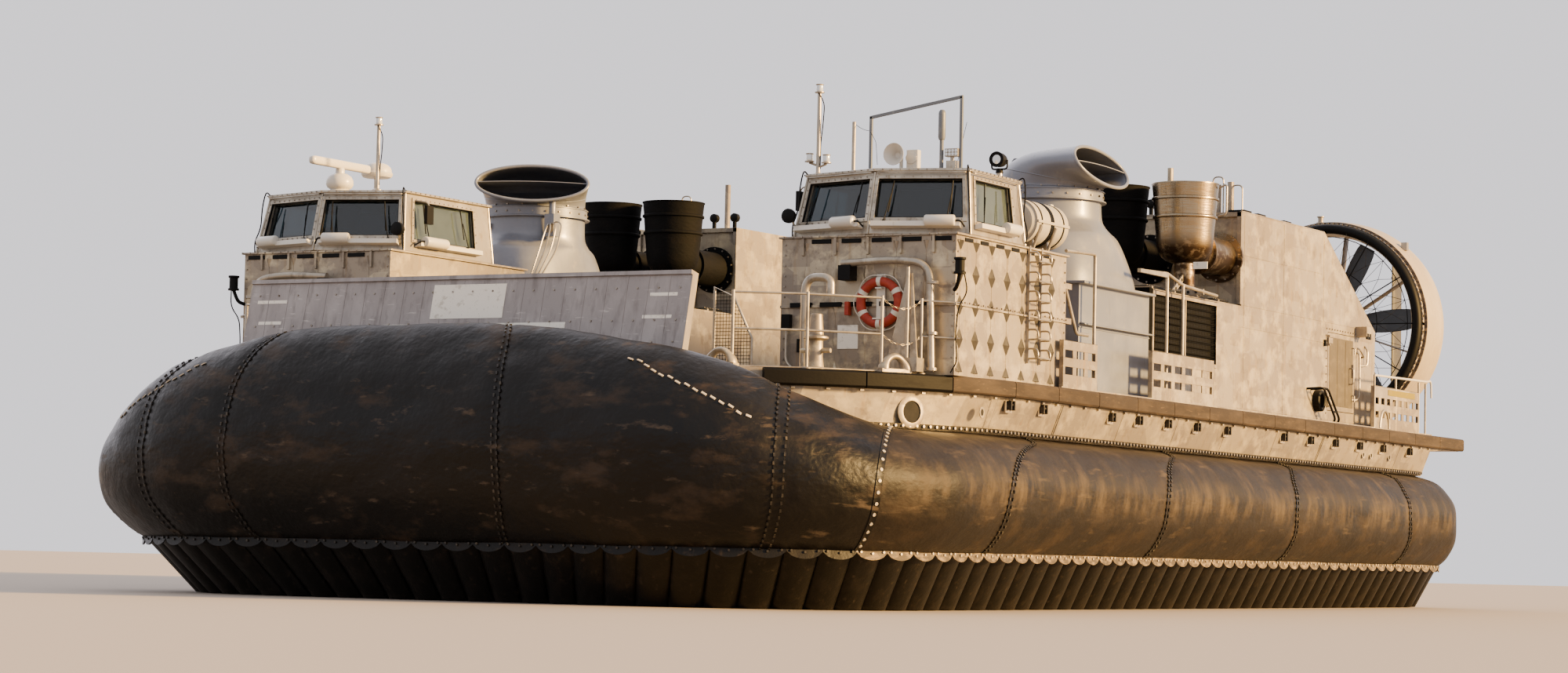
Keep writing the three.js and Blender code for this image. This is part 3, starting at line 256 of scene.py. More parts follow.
# Bare marine aluminium plate, rolled and left unpainted: dull silver that the weather has turned cream,
# in square patches where it was sanded, with grey scuffs and brown runs below fittings.
BARE_PLATE = Finish(
    "weathered_marine_aluminium", "#897f70", 0.46, 0.55,
    coats=(
        Coat("#a89c84", (900, 900, 700), 0.55, 0.6, 0.65, 0.38, Grain.PATCH),
        Coat("#756c63", (650, 650, 450), 0.7, 0.75, 0.65, 0.6, Grain.PATCH),
        Coat("#c5b796", (420, 420, 320), 0.5, 0.64, 0.7, 0.36),
        Coat("#5f564e", (240, 240, 300), 0.53, 0.68, 0.65, 0.62),
        Coat("#85693f", (90, 90, 900), 0.57, 0.74, 0.55, 0.6),
        Coat("#4e443b", (45, 45, 60), 0.62, 0.72, 0.5, 0.7),
    ),
    reliefs=(Relief((1100, 1100, 900), 9.0), Relief((35, 35, 35), 0.5)))  # the grain is drawn coarser to show

# The same plate where it is kept cleaner and brighter, as on cabins and rails
BRIGHT_PLATE = Finish(
    "brushed_marine_aluminium", "#999183", 0.38, 0.7,
    coats=(
        Coat("#bcb4a4", (400, 400, 300), 0.5, 0.65, 0.6, 0.35),
        Coat("#615a51", (160, 160, 260), 0.53, 0.68, 0.65, 0.55),
        Coat("#6f5b40", (50, 50, 500), 0.58, 0.73, 0.5, 0.6),
    ),
    reliefs=(Relief((700, 700, 600), 4.0), Relief((30, 30, 30), 0.35)))

# The ramps' planks: the same metal, walked and driven over, greyer, with fine streaks along the planks
RAMP_PLATE = Finish(
    "scuffed_ramp_plate", "#857f7d", 0.5, 0.45,
    coats=(
        Coat("#9d9794", (350, 350, 900), 0.45, 0.68, 0.6, 0.42),
        Coat("#655f5d", (120, 120, 900), 0.52, 0.7, 0.6, 0.6),
        Coat("#bdb7b0", (300, 90, 50), 0.62, 0.72, 0.5, 0.45),
        Coat("#4e4743", (45, 45, 60), 0.64, 0.74, 0.4, 0.7),
    ),
    reliefs=(Relief((350, 350, 900), 5.0), Relief((35, 35, 35), 0.5)))

# Rolled deck plate under gritted grey paint, worn by tyres
DECK_PAINT = Finish(
    "non_slip_deck_paint", "#6d6962", 0.85,
    coats=(
        Coat("#8f887c", (700, 2500, 700), 0.5, 0.7, 0.6),
        Coat("#4a453e", (300, 900, 300), 0.55, 0.72, 0.6),
    ),
    reliefs=(Relief((18, 18, 18), 1.2),))

# Sprayed grey enamel on formed aluminium: even and half glossy, with a little dust
HOUSING_ENAMEL = Finish(
    "grey_marine_enamel", "#686b74", 0.38, 0.1, gloss=0.2,
    coats=(
        Coat("#83868b", (700, 700, 500), 0.45, 0.7, 0.5, 0.42),
        Coat("#5c5e64", (120, 120, 600), 0.58, 0.72, 0.5, 0.5),
        Coat("#9a8f7c", (200, 200, 260), 0.6, 0.78, 0.35, 0.6),
    ),
    reliefs=(Relief((600, 600, 500), 5.0),))

# Neoprene-coated skirt fabric, calendered: black and leathery, glossy where wet, matt where mud has dried
BAG_RUBBER = Finish(
    "coated_skirt_fabric", "#070605", 0.38, shine=0.2,
    coats=(
        Coat("#0e0b09", (1300, 1500, 900), 0.42, 0.62, 0.85, 0.5),
        Coat("#32281f", (800, 1300, 380), 0.54, 0.66, 0.7, 0.6),
        Coat("#5a4d40", (420, 900, 150), 0.61, 0.72, 0.5, 0.72),
        Coat("#040303", (500, 600, 500), 0.55, 0.7, 0.7, 0.24),
        Coat("#8c7a63", (45, 60, 40), 0.71, 0.79, 0.4, 0.8),
    ),
    reliefs=(Relief((420, 520, 380), 34.0, 3.0), Relief((110, 150, 90), 7.0), Relief((22, 22, 22), 0.8)))

# The same cloth on the long side bags, which the spray reaches: brown above, with a fringe of dried mud
# in upright smears at their widest level
SIDE_BAG_RUBBER = Finish(
    "muddy_skirt_fabric", "#0e0b09", 0.48, shine=0.2,
    coats=(
        Coat("#1e1813", (1300, 1500, 900), 0.4, 0.62, 0.85, 0.55),
        Coat("#33291f", (500, 900, 500), 0.5, 0.68, 0.6, 0.65),
        Coat("#5c4e3d", (420, 360, 900), 0.46, 0.68, 0.5, 0.8, heights=(1.4, 1.65)),
        Coat("#17120e", (900, 1100, 500), 0.25, 0.5, 0.8, 0.55, heights=(1.8, 2.15)),
        Coat("#584b3d", (420, 900, 150), 0.6, 0.74, 0.45, 0.75),
        Coat("#8c7a63", (45, 60, 40), 0.71, 0.79, 0.35, 0.8),
    ),
    reliefs=(Relief((420, 520, 380), 26.0, 3.0), Relief((110, 150, 90), 7.0), Relief((22, 22, 22), 0.8)))

# The same cloth on the fingers, which drag and stay wet: darker, with pale tan patches, stronger towards the
# top, painted as highlights along the fingers' ridges
FINGER_RUBBER = Finish(
    "skirt_finger_fabric", "#060504", 0.45, shine=0.2,
    coats=(
        Coat("#1a1511", (300, 300, 500), 0.5, 0.7, 0.8, 0.55),
        # pale tan coat, stronger towards the top: painted highlight of the fingers' ridges
        Coat("#54473a", (180, 180, 120), 0.6, 0.76, 0.5, 0.75, heights=(0.35, 0.95)),
        Coat("#3b3229", (90, 90, 260), 0.6, 0.74, 0.5, 0.7),
    ),
    reliefs=(Relief((160, 160, 220), 9.0), Relief((22, 22, 22), 0.8)))

# Cut edges and lacing strips of the skirt, where mud collects: tan and chalky
SKIRT_STRIP = Finish(
    "mud_stained_skirt_strip", "#3a3027", 0.75,
    coats=(
        Coat("#8c7a60", (160, 160, 60), 0.45, 0.65, 0.75, 0.85),
        Coat("#241f1b", (110, 110, 90), 0.56, 0.7, 0.7, 0.5),
    ),
    reliefs=(Relief((40, 40, 40), 2.0),))

# Extruded solid rubber fender: matt brown-black, scuffed and dusted grey
FENDER_RUBBER = Finish(
    "extruded_fender_rubber", "#2a211b", 0.78, shine=0.25,
    coats=(
        Coat("#43372c", (500, 700, 160), 0.45, 0.68, 0.7, 0.8),
        Coat("#6f5b45", (90, 200, 40), 0.6, 0.74, 0.5, 0.85),
        Coat("#2b241e", (260, 300, 90), 0.6, 0.74, 0.6, 0.6),
    ),
    reliefs=(Relief((60, 60, 30), 2.5),))

# The lengths of the fender at the bow: black, painted as the shade on the bow corner
SHADE_BLACK_FENDER = Finish(
    "black_fender_rubber", "#050404", 0.6, shine=0.12,
    coats=(Coat("#14110f", (400, 400, 90), 0.55, 0.74, 0.5, 0.75),),
    reliefs=(Relief((60, 60, 30), 2.0),))

# Stiffeners pressed into the tower plating: dark all over, painted shade that makes the raised diamonds read
# as shaded recesses, with paler flecks
PRESSED_PLATE_PAINTED_SHADE = Finish(
    "pressed_plate_painted_shade", "#2a2521", 0.6, 0.1, shine=0.3,
    coats=(
        Coat("#1b1815", (120, 120, 160), 0.42, 0.62, 0.8, 0.7),
        Coat("#6a6153", (60, 60, 90), 0.7, 0.8, 0.4, 0.5)))

# Heat-resistant black paint over wrapped sheet, sooted: flat, with rusty rings
SOOT_BLACK = Finish(
    "sooted_heat_resistant_black", "#050505", 0.75, shine=0.1,
    coats=(
        Coat("#0e0c0b", (400, 400, 160), 0.5, 0.68, 0.8, 0.8),
        Coat("#1f1813", (120, 120, 300), 0.64, 0.78, 0.5, 0.85),
    ),
    reliefs=(Relief((90, 90, 45), 8.0), Relief((25, 25, 25), 1.0)))

# Spun stainless sheet, bright and mirror-like at the top and tinted straw and brown by heat lower down
STAINLESS = Finish(
    "heat_tinted_stainless", "#94866f", 0.26, 1.0,
    coats=(
        Coat("#8f7a5c", (260, 260, 120), 0.45, 0.62, 0.6, 0.3),
        Coat("#2f2217", (160, 160, 110), 0.3, 0.5, 0.95, 0.45, heights=(6.45, 6.15)),
        Coat("#3a2c20", (40, 40, 700), 0.58, 0.72, 0.5, 0.5),
    ),
    reliefs=(Relief((300, 300, 40), 3.0), Relief((60, 60, 260), 2.0)))

# Gel-coated glass fibre of the propeller ducts: cream, faded, with dirty rims
DUCT_GELCOAT = Finish(
    "cream_gelcoat", "#9f9178", 0.5, gloss=0.1,
    coats=(
        Coat("#b3a68a", (700, 500, 700), 0.45, 0.65, 0.6, 0.4),
        Coat("#8f7f63", (260, 120, 500), 0.58, 0.74, 0.5, 0.6),
        Coat("#6b5d49", (60, 60, 380), 0.62, 0.76, 0.45, 0.7),
    ),
    reliefs=(Relief((900, 900, 900), 4.0),))

# Carbon and epoxy blades, moulded and sanded: near black with a soft shine and pale worn faces
BLADE_SHELL = Finish(
    "moulded_carbon_epoxy", "#1a1b1d", 0.38,
    coats=(Coat("#4a4843", (300, 300, 300), 0.55, 0.7, 0.5, 0.6),),
    reliefs=(Relief((120, 120, 120), 1.0),))

# Chromate-yellow primer and mud on the side doors: flat, tan, streaked
DOOR_PANEL = Finish(
    "muddy_door_primer", "#4b4230", 0.62, 0.2,
    coats=(
        Coat("#655a44", (300, 300, 160), 0.5, 0.68, 0.6),
        Coat("#433a2c", (80, 80, 500), 0.52, 0.68, 0.7, 0.8)), reliefs=(Relief((200, 200, 200), 2.0),))

# Tan primer on the duct's vanes, polished by the air at their edges
VANE_PAINT = Finish(
    "tan_vane_primer", "#5f523f", 0.5, coats=(Coat("#8f8164", (200, 200, 200), 0.5, 0.68, 0.6, 0.4),
                                              Coat("#5d4d38", (60, 60, 300), 0.58, 0.72, 0.5, 0.7)))

# Laminated window glass with a blue sun tint: see-through, mirror-smooth
WINDOW_GLASS = Finish("tinted_laminated_glass", "#58686f", 0.03, transmission=0.94)

# Pale cream sheet drawn as a blind inside the windows that face the sun: painted reflection, standing for the
# bright sky that those windows reflect
REFLECTION_BLIND_CLOTH = Finish(
    "cream_blind_painted_reflection", "#f0e8d8", 0.8, coats=(Coat("#d6cbb6", (300, 300, 300), 0.5, 0.7, 0.5),))

# White two-pack enamel on lamp housings and aerials: glossy, yellowed, grimy in the corners
WHITE_ENAMEL = Finish(
    "white_marine_enamel", "#c4c0b6", 0.36, gloss=0.2,
    coats=(
        Coat("#c7bfae", (200, 200, 160), 0.5, 0.7, 0.6, 0.45),
        Coat("#847a69", (40, 40, 160), 0.62, 0.75, 0.5, 0.6),
    ),
    reliefs=(Relief((30, 30, 30), 0.3),))

# Moulded glass fibre of the raft canisters: white, chalky, with road dirt in its grain
RAFT_SHELL = Finish(
    "chalked_white_gelcoat", "#a09a8d", 0.52,
    coats=(
        Coat("#a39a89", (200, 200, 200), 0.48, 0.66, 0.6, 0.6),
        Coat("#6e6557", (35, 35, 90), 0.6, 0.72, 0.5, 0.7),
    ),
    reliefs=(Relief((60, 60, 60), 1.2),))

# Closed-cell foam ring in a sewn orange cover: matt, woven, sun-faded
RING_COVER = Finish(
    "orange_ring_cover", "#861f07", 0.65,
    coats=(
        Coat("#a03610", (90, 90, 90), 0.45, 0.65, 0.6, 0.6),
        Coat("#6b2714", (40, 40, 40), 0.58, 0.72, 0.5, 0.7),
    ),
    reliefs=(Relief((14, 14, 14), 0.8),))

# Glass-bead tape and white line of the ring
RING_TAPE = Finish(
    "reflective_tape", "#c8c4b8", 0.4, coats=(Coat("#8d8678", (40, 40, 40), 0.55, 0.7, 0.6, 0.6),))

# Powder-coated castings and lamp bodies: even satin black
BLACK_CASTING = Finish(
    "black_powder_coat", "#080808", 0.55, shine=0.12,
    coats=(Coat("#1d1a17", (70, 70, 70), 0.6, 0.75, 0.6, 0.7),), reliefs=(Relief((12, 12, 12), 0.3),))

# Zinc-plated and stainless fasteners: small bright grey heads with brown edges
FASTENER = Finish("plated_steel_fastener", "#8d857a", 0.42, 0.85, coats=(
    Coat("#55493c", (60, 60, 60), 0.5, 0.65, 0.7, 0.6),))

# Blackened lacing hardware of the skirt
LACING = Finish("tarnished_lacing_steel", "#1b1815", 0.5, 0.3, coats=(
    Coat("#4f473b", (90, 90, 90), 0.5, 0.66, 0.8, 0.7),))

# Bright lacing that the dried mud has chalked white
BRIGHT_LACING = Finish("chalked_lacing_steel", "#b5ac9b", 0.5, 0.3, coats=(
    Coat("#6f6350", (60, 60, 60), 0.55, 0.66, 0.7, 0.7),))

# Unlit spaces behind slots and grilles: soot and shadow
DARK_GAP = Finish("unlit_gap", "#0b0a0a", 0.9, coats=(Coat("#1d1a17", (150, 150, 150), 0.5, 0.7, 0.8),))

# Chromate-primed bulkheads and bay sides: grey, greasy
BAY_GREY = Finish(
    "greasy_bay_paint", "#353331", 0.6,
    coats=(
        Coat("#2a2725", (300, 300, 600), 0.48, 0.66, 0.8, 0.5),
        Coat("#7a7469", (90, 90, 90), 0.62, 0.75, 0.5)), reliefs=(Relief((80, 80, 80), 2.0),))

# Heat-proof black over the intake grille and its slats: flat, with dust on the slats' upper edges
GRILLE_BLACK = Finish(
    "sooted_grille_paint", "#050504", 0.8, shine=0.06,
    coats=(Coat("#0f0d0b", (200, 200, 90), 0.52, 0.7, 0.6, 0.8),),
    reliefs=(Relief((60, 60, 60), 1.0),))

# Lamp lenses: clear glass over a silvered bowl
LENS = Finish("clear_lamp_lens", "#cfd3d4", 0.1, 0.4)

# Blank plates of the bow ramp and the stern guard: flat paint, chipped
WHITE_PLATE = Finish("chipped_white_paint", "#dcd8cc", 0.55, coats=(
    Coat("#a79f90", (160, 160, 120), 0.56, 0.66, 0.7, 0.6), Coat("#7b7366", (30, 30, 60), 0.64, 0.7, 0.6)))
YELLOW_PLATE = Finish("chipped_yellow_paint", "#7d6f00", 0.6, shine=0.2, coats=(
    Coat("#8d7b57", (90, 90, 90), 0.6, 0.7, 0.7, 0.6),))

# Powder-coated aerials: even blue-grey
AERIAL_GREY = Finish(
    "grey_aerial_coat", "#5f6469", 0.45, coats=(Coat("#8b8c88", (90, 90, 200), 0.58, 0.7, 0.5, 0.6),))

# Moulded black rubber and textile inside the cabins
CABIN_LINING = Finish("dark_cabin_lining", "#26282a", 0.7, coats=(
    Coat("#3a3c3d", (200, 200, 200), 0.5, 0.7, 0.6),))


class Shape:
    """Points and faces that are gathered into one mesh."""

    def __init__(self) -> None:
        """Start with no points and no faces."""
        self.points: list[tuple[float, ...]] = []
        self.faces: list[tuple[int, ...]] = []

    def add(self, points: Iterable[Point], faces: Iterable[Sequence[int]]) -> "Shape":
        """Add points and the faces between them.

        Args:
            points: New points.
            faces: Faces, numbered from the first new point.

        Returns:
            The shape itself.
        """
        first = len(self.points)
        self.points.extend(tuple(point) for point in points)
        self.faces.extend(tuple(first + i for i in face) for face in faces)
        return self

    def grid(self, rows: Sequence[Sequence[Point]], across: bool = False, along: bool = False,
             caps: bool = False) -> "Shape":
        """Add a sheet of four-sided faces.

        Args:
            rows: Rows of points, all as long.
            across: Joins each row's end to its start.
            along: Joins the last row to the first.
            caps: Closes the first and the last row with a face.

        Returns:
            The shape itself.
        """
        count, width = len(rows), len(rows[0])
        faces: list[tuple[int, ...]] = []
        for i in range(count if along else count - 1):
            for k in range(width if across else width - 1):
                j, m = (i + 1) % count, (k + 1) % width
                faces.append((i * width + k, i * width + m, j * width + m, j * width + k))
        if caps:
            faces.append(tuple(range(width - 1, -1, -1)))
            faces.append(tuple((count - 1) * width + k for k in range(width)))
        return self.add([point for row in rows for point in row], faces)

    def block(self, low: Point, high: Point) -> "Shape":
        """Add a box between two corners."""
        corners = [
            (x, y) for x, y in ((low[0], low[1]), (high[0], low[1]), (high[0], high[1]), (low[0], high[1]))]
        return self.grid([[(x, y, z) for x, y in corners] for z in (low[2], high[2])], across=True, caps=True)

    def slab(self, outline: Sequence[Point], offset: Point) -> "Shape":
        """Add a flat outline with a thickness.

        Args:
            outline: Corners of one face, in order.
            offset: The way and the distance to the other face.

        Returns:
            The shape itself.
        """
        other = [Vector(point) + Vector(offset) for point in outline]
        return self.grid([outline, other], across=True, caps=True)

    def tube(self, path: Sequence[Point], radius: float, sides: int = 10, closed: bool = False) -> "Shape":
        """Add a round tube along a path.

        Args:
            path: Points of the centreline.
            radius: Radius of the tube.
            sides: Faces round it.
            closed: Joins the path's end to its start.

        Returns:
            The shape itself.
        """
        line = [Vector(point) for point in path]
        count = len(line)
        up = Vector((0, 0, 1)) if abs((line[1] - line[0]).normalized().z) < 0.9 else Vector((0, 1, 0))
        rings = []
        for i, centre in enumerate(line):
            before = line[i - 1] if i or closed else line[0]
            after = line[(i + 1) % count] if i < count - 1 or closed else line[-1]
            way = (after - before).normalized()
            side = way.cross(up).normalized()
            up = side.cross(way)
            rings.append([centre + radius * (math.cos(a) * side + math.sin(a) * up) for a in circle(sides)])
        return self.grid(rings, across=True, along=closed, caps=not closed)

    def lathe(self, profile: Sequence[tuple[float, float]], centre: Point, axis: str = "Z", sides: int = 48,
              closed: bool = False) -> "Shape":
        """Turn a profile round an axis.

        Args:
            profile: Radius, and distance along the axis, of each point.
            centre: A point of the axis, from which the distances count.
            axis: "Y" or "Z".
            sides: Steps round.
            closed: Joins the profile's end to its start.

        Returns:
            The shape itself.
        """
        (x, y, z), angles = centre, circle(sides)
        if axis == "Z":
            rings = [[(x + r * math.cos(a), y + r * math.sin(a), z + along) for a in angles]
                     for r, along in profile]
        else:
            rings = [[(x + r * math.cos(a), y + along, z + r * math.sin(a)) for a in angles]
                     for r, along in profile]
        return self.grid(rings, across=True, along=closed, caps=not closed)

    def mirrored(self, side: Side) -> "Shape":
        """The shape for one side: itself to port, its mirror image to starboard."""
        if side is Side.PORT:
            return self
        return Shape().add([(-x, y, z) for x, y, z in self.points], [face[::-1] for face in self.faces])

    def moved(self, matrix: Matrix) -> "Shape":
        """A copy that a matrix has moved or turned."""
        return Shape().add([matrix @ Vector(point) for point in self.points], self.faces)

    def join(self, other: "Shape") -> "Shape":
        """Add another shape's points and faces."""
        return self.add(other.points, other.faces)

    def piece(self, name: str, finish: Finish, body: str = CRAFT, replaces: Sequence[str] = (),
              bevel: float = 0.0, sharp: float = SHARP_ANGLE,
              slot: str | None = None) -> bpy.types.Object:
        """Make the shape a piece of the scene.

        Args:
            name: The piece's name.
            finish: What it is made of.
            body: The body that it moves with.
            replaces: CAD nodes that it stands for.
            bevel: Width of its rounded edges.
            sharp: Edges that turn by more degrees than this stay sharp.
            slot: The record's material slot; not used.

        Returns:
            The piece's object.
        """
        mesh = bpy.data.meshes.new(name)
        mesh.from_pydata(self.points, [], self.faces)
        edit = bmesh.new()
        edit.from_mesh(mesh)
        bmesh.ops.remove_doubles(edit, verts=edit.verts, dist=MERGE_DISTANCE)
        bmesh.ops.recalc_face_normals(edit, faces=edit.faces)
        edit.to_mesh(mesh)
        edit.free()
        return placed(name, mesh, finish, body, replaces, bevel, sharp)


def placed(name: str, mesh: bpy.types.Mesh, finish: Finish, body: str, replaces: Sequence[str] = (),
           bevel: float = 0.0, sharp: float = SHARP_ANGLE) -> bpy.types.Object:
    """Put a mesh in the scene as a piece of a body.

    Args:
        name: The piece's name.
        mesh: Its mesh, in the frame's place.
        finish: What it is made of.
        body: The body that it moves with.
        replaces: CAD nodes that it stands for.
        bevel: Width of its rounded edges.
        sharp: Edges that turn by more degrees than this stay sharp.

    Returns:
        The piece's object.
    """
    mesh.materials.clear()
    mesh.materials.append(finish.material())
    mesh.shade_smooth()
    mesh.set_sharp_from_angle(angle=math.radians(sharp))
    thing = bpy.data.objects.new(name, mesh)
    bpy.context.scene.collection.objects.link(thing)
    if bevel:
        rounding = thing.modifiers.new("rounded_edges", "BEVEL")
        rounding.width = bevel
        rounding.segments = 2
        rounding.limit_method = "ANGLE"
        rounding.angle_limit = math.radians(sharp)
        rounding.harden_normals = True
    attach(thing, body)
    if replaces:
        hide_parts(*replaces)
    return thing


class Form(Enum):
    """The small shapes that Geometry Nodes repeat, by how many sides each has."""

    HEX_HEAD = 6
    ROUND_HEAD = 10
    BLOCK = 0


def repeat_tree(form: Form, along_path: bool) -> bpy.types.NodeTree:
    """Build the Geometry Nodes that put one small shape at every place, or at every step of a path.

    The places carry two attributes: outward, the way the shape stands up, and along, the way its X lies.

    Args:
        form: The small shape.
        along_path: Places come from edges, at an even spacing, instead of from points.

    Returns:
        The tree, whose inputs are Spacing, Size, Lean, Seed and Material.
    """
    name = f"repeat_{form.name.lower()}_{'path' if along_path else 'places'}"
    made = bpy.data.node_groups.get(name)
    if made:
        return made
    tree = bpy.data.node_groups.new(name, "GeometryNodeTree")
    for label, kind, side in (
            ("Geometry", "NodeSocketGeometry", "INPUT"), ("Spacing", "NodeSocketFloat", "INPUT"),
            ("Size", "NodeSocketVector", "INPUT"), ("Lean", "NodeSocketFloat", "INPUT"),
            ("Seed", "NodeSocketInt", "INPUT"), ("Material", "NodeSocketMaterial", "INPUT"),
            ("Geometry", "NodeSocketGeometry", "OUTPUT")):
        tree.interface.new_socket(label, in_out=side, socket_type=kind)
    given = add_node(tree, "NodeGroupInput").outputs
    places = given["Geometry"]
    if along_path:
        line = add_node(tree, "GeometryNodeMeshToCurve", {"Mesh": places}).outputs[0]
        places = add_node(tree, "GeometryNodeResampleCurve", {"Curve": line, "Length": given["Spacing"]},
                          mode="LENGTH").outputs[0]
    outward, along = [
        add_node(tree, "GeometryNodeInputNamedAttribute", {"Name": word}, data_type="FLOAT_VECTOR").outputs[0]
        for word in ("outward", "along")]
    upright = add_node(tree, "FunctionNodeAlignRotationToVector", {"Vector": outward}, axis="Z").outputs[0]
    turned = add_node(tree, "FunctionNodeAlignRotationToVector", {"Rotation": upright, "Vector": along},
                      axis="X", pivot_axis="Z").outputs[0]
    swing = add_node(tree, "FunctionNodeRandomValue", {
        3: given["Lean"], "Seed": given["Seed"]}, data_type="FLOAT").outputs[1]
    spin = add_node(tree, "ShaderNodeCombineXYZ", {"Z": swing}).outputs[0]
    as_turn = add_node(tree, "FunctionNodeEulerToRotation", {0: spin}).outputs[0]
    rotation = add_node(tree, "FunctionNodeRotateRotation", {"Rotation": turned, "Rotate By": as_turn},
                        rotation_space="LOCAL").outputs[0]
    if form is Form.BLOCK:
        small = add_node(tree, "GeometryNodeMeshCube", {"Size": (1, 1, 1)}).outputs["Mesh"]
    else:
        small = add_node(tree, "GeometryNodeMeshCylinder", {
            "Vertices": form.value, "Radius": 0.5, "Depth": 1.0}).outputs["Mesh"]
    copies = add_node(tree, "GeometryNodeInstanceOnPoints", {
        "Points": places, "Instance": small, "Rotation": rotation, "Scale": given["Size"]}).outputs[0]
    solid = add_node(tree, "GeometryNodeRealizeInstances", {"Geometry": copies}).outputs[0]
    dressed = add_node(tree, "GeometryNodeSetMaterial", {"Geometry": solid, "Material": given["Material"]})
    add_node(tree, "NodeGroupOutput", {0: dressed.outputs[0]})
    return tree


@dataclass
class Repeats:
    """Small like shapes of one finish on one body, such as bolt heads, slots or hooks."""

    name: str
    form: Form
    size: tuple[float, float, float]
    finish: Finish
    spacing: float = 0.0  # along a path; 0 where single places are given
    body: str = CRAFT
    lean: float = 0.0
    points: list[tuple[float, ...]] = field(default_factory=list)
    outward: list[tuple[float, ...]] = field(default_factory=list)
    along: list[tuple[float, ...]] = field(default_factory=list)
    edges: list[tuple[int, int]] = field(default_factory=list)

    def place(self, point: Point, outward: Point, along: Point = (0.0, 0.0, 1.0)) -> None:
        """Add one place."""
        self.points.append(tuple(point))
        self.outward.append(tuple(outward))
        self.along.append(tuple(along))

    def path(self, points: Sequence[Point], outward: Sequence[Point] | Point) -> None:
        """Add a path that the shapes follow.

        Args:
            points: Points of the path.
            outward: The way up, one for the whole path or one for each point.
        """
        first = len(self.points)
        ups = outward if hasattr(outward[0], "__len__") else [outward] * len(points)
        for i, point in enumerate(points):
            way = Vector(points[min(i + 1, len(points) - 1)]) - Vector(points[max(i - 1, 0)])
            self.place(point, ups[i], way.normalized())
        self.edges.extend((first + i, first + i + 1) for i in range(len(points) - 1))

    def both(self, side: Side) -> "Repeats":
        """The same places for one side.

        Args:
            side: Port for the places as they are, starboard for their mirror image.

        Returns:
            The places on that side.
        """
        if side is Side.PORT:
            return self
        flip = [[(-x, y, z) for x, y, z in row] for row in (self.points, self.outward, self.along)]
        return Repeats(
            self.name.replace("port", "starboard"), self.form, self.size, self.finish, self.spacing,
            self.body, self.lean, *flip, list(self.edges))

    def piece(self) -> bpy.types.Object:
        """Run the Geometry Nodes and keep their result as a plain mesh.

        Returns:
            The piece's object.
        """
        mesh = bpy.data.meshes.new(f"{self.name}_places")
        mesh.from_pydata(self.points, self.edges, [])
        for word, values in (("outward", self.outward), ("along", self.along)):
            attribute = mesh.attributes.new(word, "FLOAT_VECTOR", "POINT")
            attribute.data.foreach_set("vector", [v for row in values for v in row])
        source = bpy.data.objects.new(f"{self.name}_source", mesh)
        bpy.context.scene.collection.objects.link(source)
        tree = repeat_tree(self.form, self.spacing > 0)
        values = {"Spacing": self.spacing, "Size": self.size, "Lean": self.lean, "Seed": LEAN_SEED,
                  "Material": self.finish.material()}
        nodes = source.modifiers.new("repeats", "NODES")
        nodes.node_group = tree
        for item in tree.interface.items_tree:
            if item.in_out == "INPUT" and item.name in values:
                nodes[item.identifier] = values[item.name]
        graph = bpy.context.evaluated_depsgraph_get()
        result = bpy.data.meshes.new_from_object(source.evaluated_get(graph))
        source.modifiers.remove(nodes)
        bpy.data.objects.remove(source)
        return placed(self.name, result, self.finish, self.body)


def lerp(a: float, b: float, share: float) -> float:
    """The value a share of the way from a to b."""
    return a + (b - a) * share


def smooth_row(rows: Sequence[Vector], steps: int) -> list[Vector]:
    """Draw a smooth curve through points.

    Args:
        rows: Points that the curve passes through.
        steps: Steps from each one to the next.

    Returns:
        The curve's points, from the first to the last.
    """
    padded = [rows[0], *rows, rows[-1]]
    curve = []
    for i in range(1, len(padded) - 2):
        a, b, c, d = padded[i - 1:i + 3]
        for k in range(steps):
            t = k / steps
            curve.append(0.5 * (2 * b + (c - a) * t + (2 * a - 5 * b + 4 * c - d) * t ** 2
                                + (3 * b - a - 3 * c + d) * t ** 3))
    return [*curve, rows[-1]]


def read_table(table: Sequence[tuple[float, float]], x: float) -> float:
    """Read a short table, with a soft curve between its entries.

    Args:
        table: Pairs of x and value, in rising x.
        x: Where to read it.

    Returns:
        The value at x.
    """
    x = min(max(x, table[0][0]), table[-1][0])
    i = max(k for k in range(len(table) - 1) if table[k][0] <= x)
    slopes = []
    for k in (i, i + 1):
        before, after = table[max(k - 1, 0)], table[min(k + 1, len(table) - 1)]
        slopes.append((after[1] - before[1]) / (after[0] - before[0]))
    (x0, y0), (x1, y1) = table[i], table[i + 1]
    width = x1 - x0
    t = (x - x0) / width
    return ((2 * t ** 3 - 3 * t ** 2 + 1) * y0 + (t ** 3 - 2 * t ** 2 + t) * width * slopes[0]
            + (3 * t ** 2 - 2 * t ** 3) * y1 + (t ** 3 - t ** 2) * width * slopes[1])


SQUARE_TO = 30.0  # degrees of the bow corner over which a squared bow runs straight on
JOIN_AT = 45.0  # degrees at which it is back on the round corner


